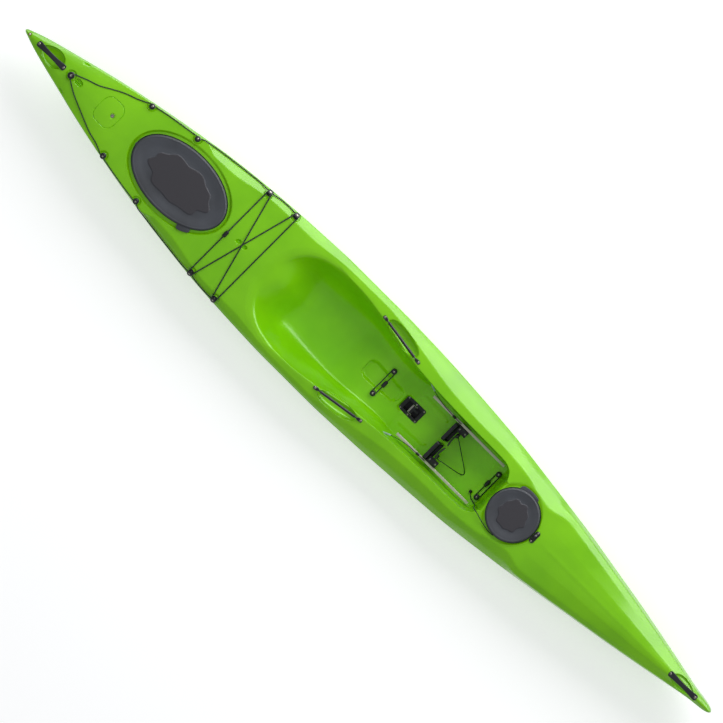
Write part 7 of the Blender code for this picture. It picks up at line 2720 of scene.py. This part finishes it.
@dataclass
class Studio:
    """Paper floor, soft lights and the camera at the photograph's angle."""

    aim: Point = (-0.0513, 0.0101, 0.30)
    towards: Point = (0.0, 0.0788, 1.0)
    frame_width: float = 3.2523
    distance: float = 9.0
    floor_half: float = 30.0

    def add_floor(self) -> None:
        """Lay the paper just below the boat's lowest point."""
        half = self.floor_half
        points = np.array([(-half, -half, -0.0002), (half, -half, -0.0002),
                           (half, half, -0.0002), (-half, half, -0.0002)])
        surface = Surface(points, np.array([[0, 1, 2, 3]]))
        floor = bpy.data.objects.new("studio_floor", surface.mesh("studio_floor", 40))
        bpy.context.scene.collection.objects.link(floor)
        material = PAPER.material()
        tree = material.node_tree
        output = tree.nodes["Material Output"]
        shader = tree.nodes["Principled BSDF"]
        path = add_node(tree, "ShaderNodeLightPath")
        seen = add_node(tree, "ShaderNodeMath", {"operation": "MAXIMUM"},
                        {0: path.outputs["Is Camera Ray"], 1: path.outputs["Is Glossy Ray"]})
        seen = add_node(tree, "ShaderNodeMath", {"operation": "MAXIMUM"},
                        {0: seen.outputs[0], 1: path.outputs["Is Transmission Ray"]})
        glow = add_node(tree, "ShaderNodeEmission", {"Color": (1, 1, 1, 1), "Strength": 0.45})
        added = add_node(tree, "ShaderNodeAddShader",
                         links={0: shader.outputs[0], 1: glow.outputs[0]})
        mixed = add_node(tree, "ShaderNodeMixShader",
                         links={0: seen.outputs[0], 1: shader.outputs[0], 2: added.outputs[0]})
        tree.links.new(mixed.outputs[0], output.inputs["Surface"])
        floor.data.materials.append(material)
        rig.stage(floor)

    def add_lamp(self, name: str, place: Point, aim: Point, size: tuple[float, float],
                 radiance: float) -> bpy.types.Object:
        """Hang a soft rectangular lamp.

        Args:
            name: The lamp's name.
            place: Where it hangs.
            aim: Where it points.
            size: Its width and height.
            radiance: How bright its face is, where 1 is white.

        Returns:
            The lamp's object.
        """
        lamp = bpy.data.lights.new(name, "AREA")
        lamp.shape = "RECTANGLE"
        lamp.size, lamp.size_y = size
        lamp.energy = radiance * size[0] * size[1] * math.pi
        item = bpy.data.objects.new(name, lamp)
        bpy.context.scene.collection.objects.link(item)
        back = np.array(place) - np.array(aim)
        guide = (1, 0, 0) if abs(back[0]) + abs(back[1]) < 0.3 * abs(back[2]) else np.cross(
            (0, 0, 1), back)
        frame = matrix_from(place, guide, back)
        item.matrix_world = Matrix(frame.tolist())
        return item

    def add_lights(self) -> None:
        """Hang the lamps and set the world's even fill.

        A long low card at port is what the port side panel mirrors. The lamps that light the
        colours are left out of reflections, as the photograph's deck mirrors nothing bright.
        """
        card = self.add_lamp("port_card", (0.1, 3.6, 1.45), (0.1, 0, 0.8), (7.8, 3.0), 4.6)
        card.visible_diffuse = False
        for name, place, size, radiance in (
            ("high_lamp", (0.0, 5.0, 4.2), (8.0, 3.9), 2.55),
            ("overhead_lamp", (0.0, -0.7, 7.0), (8.0, 6.0), 0.62),
            ("low_lamp", (0.2, 3.7, 1.2), (6.5, 2.1), 0.40),
        ):
            self.add_lamp(name, place, (0, 0, 0.2), size, radiance).visible_glossy = False
        world = bpy.data.worlds.new("studio")
        bpy.context.scene.world = world
        world.use_nodes = True
        tree = world.node_tree
        sky = tree.nodes["Background"]
        sky.inputs["Color"].default_value = linear_colour("E4E8EC")
        mirrored_ray = add_node(tree, "ShaderNodeLightPath").outputs["Is Glossy Ray"]
        strength = add_node(tree, "ShaderNodeMath",
                            {"operation": "MULTIPLY_ADD", 1: 0.08, 2: 0.34}, {0: mirrored_ray})
        tree.links.new(strength.outputs[0], sky.inputs["Strength"])

    def add_camera(self) -> None:
        """Set the camera over the boat, tilted to port as the photograph's was."""
        back = np.array(self.towards) / np.linalg.norm(self.towards)
        across = np.array([1.0, 1.0, 0.0]) / math.sqrt(2)
        across -= (across @ back) * back
        frame = matrix_from(np.array(self.aim) + self.distance * back, across, back)
        camera = bpy.data.cameras.new("camera")
        camera.type = "ORTHO"
        camera.ortho_scale = self.frame_width
        camera.clip_end = 100
        item = bpy.data.objects.new("camera", camera)
        bpy.context.scene.collection.objects.link(item)
        item.matrix_world = Matrix(frame.tolist())
        bpy.context.scene.camera = item

    def build(self) -> None:
        """Make the floor, the lights and the camera."""
        bpy.context.scene.view_settings.view_transform = "Standard"
        self.add_floor()
        self.add_lights()
        self.add_camera()
        LOG.info("studio ready")


def dress_solids(nodes: dict[str, bpy.types.Object]) -> None:
    """Give the solids that stay their finishes.

    Args:
        nodes: The frame's solids by name.
    """
    finishes = {
        "stern_tip_bush": TIP_BRASS, "rudder_bush": BLACK_NYLON, "rudder_tiller": BLACK_NYLON,
        "bailer_flap": BLACK_NYLON,
    }
    for name, finish in finishes.items():
        for slot in nodes[name].material_slots:
            slot.material = finish.material()
        LOG.info("solid %s: %s", name, finish.name)


def main() -> None:
    """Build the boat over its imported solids."""
    for item in list(bpy.data.objects):
        bpy.data.objects.remove(item, do_unlink=True)
    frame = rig.load()
    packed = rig.bounds()
    hull = Hull()
    hull.build()
    HatchCover(
        "stern_hatch", STERN_HATCH_X, 0.259, 0.1545, STERN_FLOOR, OVAL_POWER, (0.172, 0.094),
        0.004, {"pull_tab": (0.154, -0.131, 0.032, 0.020, 0.36),
                "tip_tab": (-0.252, -0.009, 0.013, 0.010, 0.0)},
    ).build()
    bow = HatchCover("bow_hatch", BOW_HATCH_X, 0.123, 0.123, BOW_FLOOR, 2.0, (0.068, 0.074), 0.0,
                     {"pull_tab": (-0.016, 0.122, 0.050, 0.0155, 0.10)})
    bow.build()
    EndHandle("stern", -2.0097).build(hull)
    EndHandle("bow", 2.0023, rise=0.0074).build(hull)
    for side in Side:
        SideHandle(side).build(hull)
    rigging = Rigging(hull)
    rigging.add_fittings()
    rigging.add_lines()
    rigging.add_stern_bungee()
    rigging.add_loop_bungee("bottle", 0.08526, 0.0690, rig.box("bottle_port_fitting")[0][2],
                            (1, -0.002))
    rigging.add_loop_bungee("footwell", 0.746025, 0.0715,
                            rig.box("footwell_port_fitting")[0][2], (-1, 0.006))
    rigging.add_leash(bow)
    PadEye(hull).build()
    Bailer().build()
    for side in Side:
        FootRail(side).build()
        Pedal(side).build()
    steering = Steering(hull)
    steering.add_rudder()
    steering.add_cover()
    steering.add_lines(Pedal(Side.PORT))
    steering.add_elastic(Pedal(Side.PORT))
    dress_solids(frame["nodes"])
    Studio().build()
    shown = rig.bounds()
    with open("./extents.json", "w") as file:
        boxes = {"cad": packed, "visual": shown}
        json.dump({k: [list(v[0]), list(v[1])] for k, v in boxes.items()}, file)


if __name__ == "__main__":
    logging.basicConfig(level=logging.INFO, format="%(message)s")
    main()
